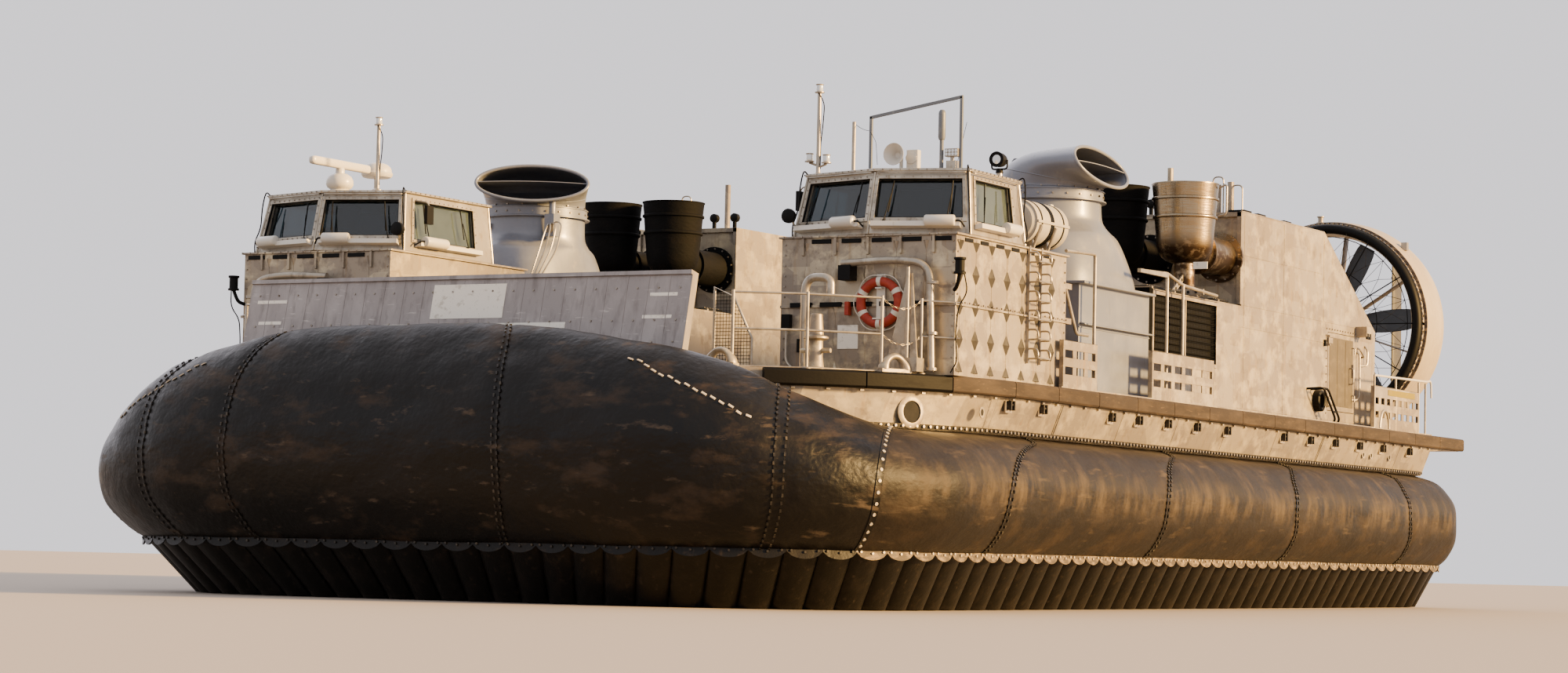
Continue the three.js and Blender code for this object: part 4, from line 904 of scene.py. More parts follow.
@dataclass(frozen=True)
class Outline:
    """The craft's rounded plan at one level, and where its skirt seam lies there.

    A place on it is a number: 0 at the middle of the bow, 1 and 2 at the ends of the bow corner, 3 and 4 at
    those of the stern corner, and 5 at the middle of the stern.
    """

    half: float
    front: float
    aft: float
    r_front: float
    r_aft: float
    z: float = 0.0
    bow_z: float | None = None
    stern_drop: float = 0.0
    square: float | None = None  # the bow runs straight on to this x

    def plan(self, place: float) -> tuple[float, float]:
        """The plan point of a place.

        Args:
            place: The place, from 0 to 5.

        Returns:
            Its x and y on the port side.
        """
        if place < 1:
            return (self.half - self.r_front) * place, self.front
        if place < 2:
            degrees = 90 * (place - 1)
            angle = math.radians(degrees)
            start = self.half - self.r_front
            if self.square and degrees < SQUARE_TO:
                share = math.sin(angle) / math.sin(math.radians(SQUARE_TO))
                return lerp(start, self.square, share), self.front
            if self.square and degrees < JOIN_AT:
                turn = math.radians(JOIN_AT)
                x, y = start + self.r_front * math.sin(turn), self.front + self.r_front * (1 - math.cos(turn))
                share = (degrees - SQUARE_TO) / (JOIN_AT - SQUARE_TO)
                return lerp(self.square, x, share), lerp(self.front, y, share)
            return start + self.r_front * math.sin(angle), self.front + self.r_front * (1 - math.cos(angle))
        if place < 3:
            return self.half, lerp(self.front + self.r_front, self.aft - self.r_aft, place - 2)
        if place < 4:
            angle = math.radians(90 * (place - 3))
            return (
                self.half - self.r_aft * (1 - math.cos(angle)),
                self.aft - self.r_aft * (1 - math.sin(angle)))
        return (self.half - self.r_aft) * (5 - place), self.aft


@dataclass
class Skirt:
    """The inflated skirt: four bags on the hull's edge and the row of open fingers under them."""

    hull_lines: tuple[Outline, ...] = (
        Outline(6.2403, -12.7803, 12.3003, 5.2003, 0.3, 2.46, square=3.901),
        Outline(6.3003, -12.7903, 12.3403, 5.2503, 0.3, 2.6, square=3.901))
    rows: tuple[Outline, ...] = (
        Outline(6.70, -12.80, 12.75, 4.7, 0.9, 2.50, 3.30, 0.15, square=3.9),
        Outline(6.90, -13.08, 12.95, 4.3, 1.3, 2.42, 3.85, 0.16),
        Outline(7.08, -13.45, 13.15, 4.0, 1.7, 2.28, 3.76, 0.14),
        Outline(7.26, -13.88, 13.42, 3.85, 2.1, 2.02, 3.15, 0.06),
        Outline(7.30, -14.04, 13.50, 3.8, 2.2, 1.72, 2.35),
        Outline(7.18, -13.93, 13.56, 3.7, 1.9, 1.30, 1.55),
        Outline(6.90, -13.65, 13.64, 3.6, 1.6, 0.98, 1.02),
        Outline(6.65, -13.40, 13.70, 3.5, 1.5, 0.80, 0.80))
    underside: Outline = Outline(5.6, -12.05, 11.5, 4.7, 0.2, 0.8)
    finger_top: Outline = Outline(6.65, -13.40, 13.70, 3.5, 1.5, 0.7997)
    finger_hem: Outline = Outline(6.06, -12.74, 13.64, 3.3, 1.0, 0.0)
    crown_row: int = 1
    row_steps: int = 9  # finer rows between two rows
    bow_seam: float = 1 + 60 / 90
    stern_seam: float = 3.5
    # Share of the bow's full rise that its crown has, by the crown's x
    rise: tuple[tuple[float, float], ...] = (
        (0, 1.04), (2.0, 1.0), (3.55, 0.825), (4.43, 0.685), (5.18, 0.475), (5.8, 0.27), (6.3, 0.12),
        (6.9, 0))
    # Metres round the craft for each unit of place, on the bow bag, the side bags and the corners
    bow_step: float = 4.5
    side_step: float = 21.0
    corner_step: float = 6.0
    seam_pinch: float = 0.03
    seam_reach: float = 0.16
    crumple: float = 0.065
    bow_sections: int = 230
    stern_sections: int = 70  # on each half
    side_sections: tuple[int, int, int] = (26, 200, 24)  # bow corner, straight side, stern corner
    side_nose: float = 0.12
    patch_line: tuple[tuple[float, float], ...] = ((1.07, 0.43), (1.345, 0.517))  # place and share up the bag
    finger_pitch: float = 0.52
    finger_depth: float = 0.42

    def point(self, row: Outline, place: float) -> Vector:
        """A point of one seam level.

        Args:
            row: The level.
            place: The place round the craft, from 0 to 5, below 0 on the starboard side.

        Returns:
            The point.
        """
        way = math.copysign(1, place)
        place = abs(place)
        x, y = row.plan(place)
        z = row.z
        if row.bow_z is not None and place < 2:
            z += (row.bow_z - row.z) * read_table(self.rise, self.rows[self.crown_row].plan(place)[0])
        z -= row.stern_drop * min(max(place - 3, 0), 1)
        return Vector((way * x, y, z))

    def section(self, place: float) -> list[Vector]:
        """The bag's outer line at one place, from the hull's edge over the crown to the fingers."""
        rows = [self.point(self.hull_lines[-1], place), *[self.point(row, place) for row in self.rows]]
        return smooth_row(rows, self.row_steps)

    def seams(self, bag: str) -> list[float]:
        """Places of the laced seams that cross a bag."""
        return {"bow": [-1.2, -0.86, 0.5, 1.42], "stern": [4.4, 4.98],
                "side": [self.place_at(y) for y in (-8.95, -3.1, 2.75, 8.85)]}[bag]

    def place_at(self, y: float) -> float:
        """The place on the side where the widest row has this y."""
        start, end = self.rows[4].plan(2)[1], self.rows[4].plan(2.9999)[1]
        return 2 + (y - start) / (end - start)

    def crumpled(self, line: list[Vector], place: float, seams: Sequence[float], step: float) -> list[Vector]:
        """Dent, pucker and pinch one section as a heavy rubber bag does.

        Broad swells and fine dents lie all over it, and folds lie close to the seams.

        Args:
            line: The smooth section.
            place: Where it lies.
            seams: Places of the seams, where the bag is drawn in.
            step: Metres round the craft for each unit of place.

        Returns:
            The section's moved points.
        """
        moved = []
        middle = sum(line, Vector()) / len(line)
        near = min((abs(place - seam) * step for seam in seams), default=9.0)
        pinch = self.seam_pinch * math.exp(-(near / self.seam_reach) ** 2)
        for i, point in enumerate(line):
            share = i / (len(line) - 1)
            free = math.sin(math.pi * min(max(share, 0), 1)) ** 0.5 if 0 < share < 1 else 0.0
            out = (point - middle).normalized()
            broad = noise.noise(Vector((point.x * 0.5, point.y * 0.5, point.z * 0.9)))
            fine = noise.noise(Vector((point.x * 1.6 + 9, point.y * 1.6, point.z * 2.4)))
            folds = math.exp(-(near / 0.5) ** 2) * noise.noise(Vector((place * 2.0, share * 22.0, 4.0)))
            swell = self.crumple * (0.8 * broad + 0.35 * fine) + 0.022 * folds - pinch
            moved.append(point + out * swell * free)
        return moved

    def bag(self, name: str, places: Sequence[float], seams: Sequence[float], step: float,
            nose: float = 0.0) -> Shape:
        """Build one bag.

        Args:
            name: The bag's word, for the log.
            places: Places of its sections.
            seams: Places of its laced seams.
            step: Metres round the craft for each unit of place.
            nose: Length in units of place of a domed end before the first section, hidden inside the
                next bag until that one sinks.

        Returns:
            The closed bag.
        """
        rings = []
        for angle in (math.radians(80 - 16 * k) for k in range(5 if nose else 0)):
            start = places[0] - nose * math.sin(angle)
            line = [
                *self.section(start), self.point(self.underside, start),
                self.point(self.hull_lines[0], start)]
            middle = sum(line, Vector()) / len(line)
            rings.append([middle.lerp(point, 0.97 * math.cos(angle)) for point in line])
        for place in places:
            outer = self.crumpled(self.section(place), place, seams, step)
            inner = [self.point(self.underside, place), self.point(self.hull_lines[0], place)]
            rings.append([*outer, *inner])
        log.debug("bag %s has %d sections", name, len(rings))
        return Shape().grid(rings, across=True, caps=True)

    def spread(self, start: float, end: float, count: int) -> list[float]:
        """Even places from start to end."""
        return [lerp(start, end, i / count) for i in range(count + 1)]

    def build(self) -> None:
        """Make the bags, their lacing, the finger strip and the fingers."""
        places = self.spread(-self.bow_seam, self.bow_seam, self.bow_sections)
        bow = self.bag("bow", places, self.seams("bow"), self.bow_step)
        thing = bow.piece("skirt_bag_bow", BAG_RUBBER, replaces=["bag_bow"], sharp=60, slot="skirt_rubber")
        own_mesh(thing)
        port_half = self.spread(self.stern_seam, 5, self.stern_sections)
        places = [*port_half, *[-place for place in reversed(port_half[:-1])]]
        stern = self.bag("stern", places, self.seams("stern"), self.corner_step)
        stern.piece("skirt_bag_stern", BAG_RUBBER, replaces=["bag_stern"], sharp=60, slot="skirt_rubber")
        at_bow, straight, at_stern = self.side_sections
        places = [*self.spread(self.bow_seam, 2, at_bow), *self.spread(2, 3, straight)[1:],
                  *self.spread(3, self.stern_seam, at_stern)[1:]]
        side_bag = self.bag("side", places, self.seams("side"), self.side_step, nose=self.side_nose)
        for side in Side:
            side_bag.mirrored(side).piece(
                f"skirt_bag_{side.word}", SIDE_BAG_RUBBER, replaces=[f"bag_{side.word}"], sharp=60,
                slot="skirt_rubber")
        self.lacing()
        self.finger_rows()

    def lacing(self) -> None:
        """Lay lacing hooks along both edges of every seam, and overlap strips under them."""
        hook, loop = (0.05, 0.028, 0.02), (0.05, 0.05, 0.02)
        hooks = Repeats("skirt_lacing_port", Form.BLOCK, hook, LACING, spacing=0.11, lean=0.25)
        bow_hooks = Repeats("skirt_lacing_bow", Form.BLOCK, hook, LACING, spacing=0.11, lean=0.25)
        corner = Repeats("skirt_lacing_corner_port", Form.ROUND_HEAD, loop, BRIGHT_LACING, spacing=0.16)
        strips, bow_strips = Shape(), Shape()
        sets = (
            (hooks, strips, self.seams("side"), self.side_step, "side"),
            (bow_hooks, bow_strips, self.seams("bow"), self.bow_step, "bow"),
            (corner, strips, [self.bow_seam], self.corner_step, "side"),
            (hooks, strips, [self.stern_seam], self.corner_step, "side"))
        for row, cloth, places, step, bag in sets:
            for place in places:
                self.laced_seam(row, cloth, place, step, self.seams(bag))
        for side in Side:
            hooks.both(side).piece()
            corner.both(side).piece()
            strips.mirrored(side).piece(f"skirt_seam_{side.word}", BAG_RUBBER, sharp=60)
        bow_pieces = [bow_hooks.piece(), self.patch_lacing().piece(),
                      bow_strips.piece("skirt_seam_bow", BAG_RUBBER, sharp=60)]
        for piece in bow_pieces:
            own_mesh(piece)

    def patch_lacing(self, steps: int = 12) -> Repeats:
        """Lay the bright dashes that lace a patch onto each shoulder of the bow bag.

        Args:
            steps: Steps along each row of dashes.

        Returns:
            The dashes.
        """
        start, end = self.patch_line
        dashes = Repeats("skirt_patch_lacing", Form.BLOCK, (0.08, 0.035, 0.014), BRIGHT_LACING, spacing=0.14)
        for way in (-1, 1):
            points, ups = [], []
            for k in range(steps + 1):
                place, share = lerp(start[0], end[0], k / steps), lerp(start[1], end[1], k / steps)
                line = self.crumpled(self.section(place * way), place * way, self.seams("bow"), self.bow_step)
                i = round(share * (len(line) - 1))
                out = (line[i] - sum(line, Vector()) / len(line)).normalized()
                points.append(line[i] + out * 0.008)
                ups.append(out)
            dashes.path(points, ups)
        return dashes

    def laced_seam(self, row: Repeats, cloth: Shape, place: float, step: float,
                   seams: Sequence[float]) -> None:
        """Add one seam: a raised strip across the bag, with a row of hooks on either edge.

        Args:
            row: The hooks.
            cloth: The strips.
            place: Where the seam lies.
            step: Metres round the craft for each unit of place.
            seams: All the seams of that bag.
        """
        width, lift = 0.06 / step, 0.012
        lines = [self.crumpled(self.section(p), p, seams, step)[3:-2] for p in (
            place - width, place - width * 0.9, place, place + width * 0.9, place + width)]
        centre, count, ups = lines[2], len(lines[2]), []
        for i in range(count):
            way = centre[min(i + 1, count - 1)] - centre[max(i - 1, 0)]
            ups.append(way.cross(lines[4][i] - lines[0][i]).normalized())
        middle = sum(centre, Vector()) / count
        flip = 1 if ups[count // 2].dot(centre[count // 2] - middle) > 0 else -1
        ups = [up * flip for up in ups]
        rise = (-0.004, lift, lift * 0.6, lift, -0.004)
        cloth.grid([[p + up * rise[k] for p, up in zip(line, ups)] for k, line in enumerate(lines)])
        for k in ((2,) if row.form is Form.ROUND_HEAD else (1, 3)):
            row.path([p + up * (rise[k] + 0.004) for p, up in zip(lines[k], ups)], ups)

    def finger_rows(self) -> None:
        """Hang the fingers: open half cones of cloth side by side, on a scalloped strip below the bags."""
        runs = {"bow": (-self.bow_seam, self.bow_seam), "side": (self.bow_seam, self.stern_seam),
                "stern": (self.stern_seam, 5.0)}
        for word, (start, end) in runs.items():
            places = self.finger_places(start, end)
            cones, strip = Shape(), Shape()
            hooks = Repeats(f"finger_hooks_{word}_port", Form.ROUND_HEAD, (0.035, 0.035, 0.02),
                            LACING if word == "bow" else BRIGHT_LACING)
            for a, b in zip(places, places[1:]):
                self.finger(cones, a, b)
                self.scallop(strip, hooks, a, b)
            sides = [Side.PORT] if word == "bow" else list(Side)
            for side in sides:
                label = word if word != "side" else side.word
                label = f"stern_{side.word}" if word == "stern" else label
                node = {"bow": ["fingers_bow"], "side": [f"fingers_{side.word}"],
                        "stern": ["fingers_stern"]}[word]
                cones.mirrored(side).piece(f"skirt_fingers_{label}", FINGER_RUBBER, replaces=node, sharp=70,
                                           slot="skirt_rubber")
                strip.mirrored(side).piece(
                    f"skirt_strip_{label}", FINGER_RUBBER if word == "bow" else SKIRT_STRIP, sharp=60)
                dots = hooks.both(side)
                dots.name = f"finger_hooks_{label}"
                dots.piece()

    def finger_places(self, start: float, end: float) -> list[float]:
        """Places that divide the finger line into even pitches.

        Args:
            start: The first place.
            end: The last place.

        Returns:
            The places between the fingers.
        """
        samples = self.spread(start, end, 600)
        points = [self.point(self.finger_top, place) for place in samples]
        lengths = [0.0]
        for a, b in zip(points, points[1:]):
            lengths.append(lengths[-1] + (b - a).length)
        count = round(lengths[-1] / self.finger_pitch)
        places, k = [start], 0
        for i in range(1, count):
            while lengths[k + 1] < lengths[-1] * i / count:
                k += 1
            share = (lengths[-1] * i / count - lengths[k]) / (lengths[k + 1] - lengths[k])
            places.append(lerp(samples[k], samples[k + 1], share))
        return [*places, end]

    def finger(self, cones: Shape, a: float, b: float) -> None:
        """Add one finger between two places.

        Args:
            cones: The shape that gathers the fingers.
            a: Its first edge.
            b: Its second edge.
        """
        steps, rows = 10, []
        for level in (0.0, 0.2, 0.45, 0.7, 0.9, 1.0):
            ends = [self.finger_point(place, level) for place in (a, b)]
            across = ends[1] - ends[0]
            out = Vector((across.y, -across.x, 0)).normalized()
            if out.dot(ends[0] - Vector((0, ends[0].y * 0.6, 0))) < 0:
                out = -out
            bulge = 0.11 + 0.07 * level
            row = []
            for i in range(steps + 1):
                angle = math.pi * i / steps
                share = 0.5 - 0.5 * math.cos(angle)
                edge = 0.03 if i in (0, steps) else 0.0
                row.append(ends[0] + across * share + out * (bulge * (math.sin(angle) - 0.75) - edge))
            tips = [
                row[-1] - out * self.finger_depth * (1 - 0.3 * level),
                row[0] - out * self.finger_depth * (1 - 0.3 * level)]
            rows.append([*row, *tips])
        cones.grid(rows, across=True, caps=True)

    def finger_point(self, place: float, level: float) -> Vector:
        """A point of the fingers' outer line, level 0 at the bags and 1 at the hem."""
        return self.point(self.finger_top, place).lerp(self.point(self.finger_hem, place), level)

    def scallop(self, strip: Shape, hooks: Repeats, a: float, b: float) -> None:
        """Add one scallop of the strip that carries the fingers, with its hooks.

        Args:
            strip: The shape that gathers the scallops.
            hooks: The bolt heads.
            a: Its first edge.
            b: Its second edge.
        """
        steps, low, high = 8, [], []
        start, end = self.strip_point(a), self.strip_point(b)
        across = end - start
        out = Vector((across.y, -across.x, 0)).normalized()
        if out.dot(start - Vector((0, start.y * 0.6, 0))) < 0:
            out = -out
        for i in range(steps + 1):
            share = i / steps
            base = start + across * share
            drop = 0.02 + 0.1 * math.sin(math.pi * share) ** 0.6
            high.append(base + Vector((0, 0, 0.05)) + out * 0.012)
            low.append(base - Vector((0, 0, drop)) + out * (0.03 + 0.02 * math.sin(math.pi * share)))
        back = [[p - out * 0.02 for p in row] for row in (low, high)]
        strip.grid([high, low, back[0], back[1]], along=True)
        for share in (0.12, 0.5, 0.88):
            k = round(share * steps)
            hooks.place(high[k].lerp(low[k], 0.45) + out * 0.012, out)

    def strip_point(self, place: float) -> Vector:
        """A point of the strip's middle line, just outside the lowest row of the bags."""
        low, high = self.rows[-1], self.rows[-2]
        return self.point(low, place).lerp(self.point(high, place), 0.12)


def rounded(path: Sequence[Point], radius: float, steps: int = 5) -> list[Vector]:
    """Round a path's corners, as a bent pipe has them.

    Args:
        path: Corners of the path.
        radius: How far before a corner the bend starts.
        steps: Steps round each bend.

    Returns:
        The path's points.
    """
    line = [Vector(point) for point in path]
    out = [line[0]]
    for a, b, c in zip(line, line[1:], line[2:]):
        start = b + (a - b).normalized() * min(radius, (a - b).length * 0.45)
        end = b + (c - b).normalized() * min(radius, (c - b).length * 0.45)
        for k in range(steps + 1):
            t = k / steps
            out.append((1 - t) ** 2 * start + 2 * t * (1 - t) * b + t ** 2 * end)
    return [*out, line[-1]]


def sagging(start: Point, end: Point, drop: float, steps: int = 8) -> list[Vector]:
    """A slack line between two points, lowest in its middle by the drop."""
    a, b = Vector(start), Vector(end)
    return [a.lerp(b, k / steps) - Vector((0, 0, 4 * drop * (k / steps) * (1 - k / steps)))
            for k in range(steps + 1)]


@dataclass
class DeckEdge:
    """The craft's side above the bags: bolts, hooks, ports, seams and the rubber fender."""

    foot: Outline = Outline(6.37, -12.70, 14.02, 5.3, 0.06)
    edge: Outline = Outline(6.58, -12.63, 14.02, 5.43, 0.06)
    fender: Outline = Outline(6.70, -12.75, 14.04, 5.55, 0.06)
    foot_z: float = 2.6
    edge_z: float = 3.15
    fender_start: float = 1 + 38.6 / 90
    fender_pitch: float = 1.5
    fender_joint: float = 0.012
    fender_steps: int = 8  # along each length
    # lengths from the bow that are painted black as shade
    shade_black_lengths: int = 2  # from the bow
    # Heights of the fender's back, then of its face
    fender_back: tuple[float, float] = (3.152, 3.398)
    fender_face: tuple[float, float] = (3.18, 3.365)
    bar: tuple[float, float] = (2.612, 2.68)  # heights of the clamp bar
    plating: tuple[float, float] = (2.69, 3.13)  # heights of the plate between the bar and the fender
    hooks: tuple[float, ...] = (
        -7.48, -6.31, -3.69, -2.59, -1.37, -0.1, 1.28, 4.02, 5.38, 6.69, 8.03, 9.36, 10.93)
    hook_z: float = 3.03
    seams: tuple[float, ...] = (-5.6, 6.07)
    welds: tuple[float, ...] = (-7.9, -3.2, -0.9, 1.3, 3.7, 8.2, 10.4)
    small_ports: tuple[float, ...] = (-8.3, 8.47, 8.91, 9.97)
    aft_end: float = 12.1

    def wall(self, place: float, z: float, lift: float = 0.0) -> Vector:
        """A point on the sloping side.

        Args:
            place: The place round the craft.
            z: Its height.
            lift: How far it stands off the plate.

        Returns:
            The point.
        """
        share = (z - self.foot_z) / (self.edge_z - self.foot_z)
        a, b = self.foot.plan(place), self.edge.plan(place)
        return Vector((lerp(a[0], b[0], share), lerp(a[1], b[1], share), z)) + self.normal(place) * lift

    def normal(self, place: float) -> Vector:
        """The level way outward at a place."""
        a, b = self.edge.plan(place - 0.01), self.edge.plan(min(place + 0.01, 2.999))
        return Vector((b[1] - a[1], a[0] - b[0], 0)).normalized()

    def side_x(self, z: float) -> float:
        """X of the straight side at a height."""
        return lerp(self.foot.half, self.edge.half, (z - self.foot_z) / (self.edge_z - self.foot_z))

    def build(self) -> None:
        """Make everything on the side, and the fender."""
        self.bolt_bar()
        self.fittings()
        self.fender_runs()

    def bolt_bar(self) -> None:
        """Lay the bar and the bolts that clamp the bags to the hull, and the clips under the fender."""
        straight = self.foot.front + self.foot.r_front
        stop = 2 + (self.aft_end - straight) / (self.foot.aft - straight)
        places = [lerp(1.42, 2, k / 16) for k in range(16)] + [lerp(2, stop, k / 24) for k in range(25)]
        bar = Shape()
        bar.grid([[self.wall(p, z, lift) for p in places] for z, lift in (
            (self.bar[0], 0.0), (self.bar[0], 0.05), (self.bar[1], 0.05), (self.bar[1], 0.0))], along=True)
        bolts = Repeats("bag_clamp_bolts_port", Form.HEX_HEAD, (0.045, 0.045, 0.035), FASTENER, spacing=0.13)
        bolts.path([self.wall(p, 2.648, 0.055) for p in places], [self.normal(p) for p in places])
        clips = Repeats("fender_clips_port", Form.BLOCK, (0.06, 0.03, 0.03), BARE_PLATE, spacing=0.52)
        clips.path([self.wall(p, self.plating[1], 0.02) for p in places], [self.normal(p) for p in places])
        for side in Side:
            bar.mirrored(side).piece(f"bag_clamp_bar_{side.word}", LACING)
            bolts.both(side).piece()
            clips.both(side).piece()

    def fittings(self) -> None:
        """Add the tie-down hooks, the ports and the plate seams."""
        plates, dark, seams, ears = Shape(), Shape(), Shape(), Shape()
        x, z = self.side_x(self.hook_z), self.hook_z
        for y in self.hooks:
            plates.block((x - 0.02, y - 0.11, z - 0.1), (x + 0.008, y + 0.11, z + 0.08))
            for way in (-1, 1):
                ears.block(
                    (x, y + way * 0.06 - 0.014, z - 0.06), (x + 0.085, y + way * 0.06 + 0.014, z + 0.08))
            ears.tube([(x + 0.045, y - 0.08, z + 0.02), (x + 0.045, y + 0.08, z + 0.02)], 0.022, 8)
            dark.block((x, y - 0.04, z - 0.04), (x + 0.012, y + 0.04, z + 0.06))
        foot, head = ((self.side_x(height), height) for height in self.plating)
        strips = [
            strip for y in self.seams for strip in (
                (plates, y - 0.04, y + 0.04, 0.012), (seams, y - 0.012, y + 0.012, 0.016))]
        strips += [(plates, y - 0.008, y + 0.008, 0.006) for y in self.welds]
        for gather, start, end, lift in strips:
            corners = [(x, y, height) for (x, height), y in (
                (foot, start), (foot, end), (head, end), (head, start))]
            gather.slab(corners, (lift, 0, 0))
        port = self.wall(1.722, 2.85, 0.0)
        out = self.normal(1.722)
        turn = out.to_track_quat("Z", "Y").to_matrix().to_4x4()
        ring = [(0.16, -0.01), (0.24, -0.01), (0.24, 0.012), (0.2, 0.03), (0.16, 0.03)]
        plates.join(
            Shape().lathe(ring, (0, 0, 0), sides=36, closed=True).moved(Matrix.Translation(port) @ turn))
        disc = [(0.165, -0.01), (0.165, 0.014), (0.0, 0.008)]
        dark.join(Shape().lathe(disc, (0, 0, 0), sides=36).moved(Matrix.Translation(port) @ turn))
        for y in self.small_ports:
            x = self.side_x(2.9)
            spot = Matrix.Translation((x, y, 2.9)) @ Matrix.Rotation(math.radians(90), 4, "Y")
            rim = Shape().lathe([(0.05, 0), (0.085, 0), (0.085, 0.012), (0.05, 0.012)], (0, 0, 0), sides=16,
                                closed=True)
            plates.join(rim.moved(spot))
            dark.join(Shape().lathe([(0.055, 0.0), (0.055, 0.008)], (0, 0, 0), sides=16).moved(spot))
        for side in Side:
            plates.mirrored(side).piece(f"hull_side_fittings_{side.word}", BARE_PLATE, bevel=0.004)
            dark.mirrored(side).piece(f"hull_side_recesses_{side.word}", DARK_GAP)
            seams.mirrored(side).piece(f"hull_side_seams_{side.word}", LACING)
            ears.mirrored(side).piece(f"hull_side_hooks_{side.word}", LACING, bevel=0.004)

    def fender_runs(self) -> None:
        """Lay the fender in butted lengths, black at the bow as painted shade of the bow corner, and
        sun-bleached grey-brown further aft.
        """
        corner = (2 - self.fender_start) * math.pi / 2 * self.fender.r_front
        straight = self.fender.aft - (self.fender.front + self.fender.r_front)
        count = round((corner + straight) / self.fender_pitch)
        pitch = (corner + straight) / count

        def place(run: float) -> float:
            """The place at a distance along the fender."""
            if run < corner:
                return self.fender_start + run / (math.pi / 2 * self.fender.r_front)
            return 2 + (run - corner) / straight * 0.9999

        (foot, head), (low, high) = self.fender_back, self.fender_face
        runs = {"black": Shape(), "bleached": Shape()}
        for i in range(count):
            start = i * pitch + (self.fender_joint if i else 0.0)
            rings = []
            for k in range(self.fender_steps + 1):
                p = place(lerp(start, (i + 1) * pitch, k / self.fender_steps))
                (xi, yi), (xo, yo) = self.edge.plan(p), self.fender.plan(p)
                shoulder = (lerp(xi, xo, 0.8), lerp(yi, yo, 0.8))
                sag = 0.004 * math.sin(2.1 * i)
                rings.append([
                    (xi, yi, foot), (*shoulder, foot), (xo, yo, low + sag), (xo, yo, high + sag),
                    (*shoulder, head), (xi, yi, head)])
            # the first lengths go black: painted shade of the bow corner
            runs["black" if i < self.shade_black_lengths else "bleached"].grid(rings, across=True, caps=True)
        for side in Side:
            runs["bleached"].mirrored(side).piece(f"fender_side_{side.word}", FENDER_RUBBER, bevel=0.01,
                                                  replaces=[f"fender_{side.word}"], slot="fender_rubber")
            # the bow lengths' black is painted shade
            runs["black"].mirrored(side).piece(f"fender_bow_{side.word}", SHADE_BLACK_FENDER, bevel=0.01,
                                               slot="fender_rubber")


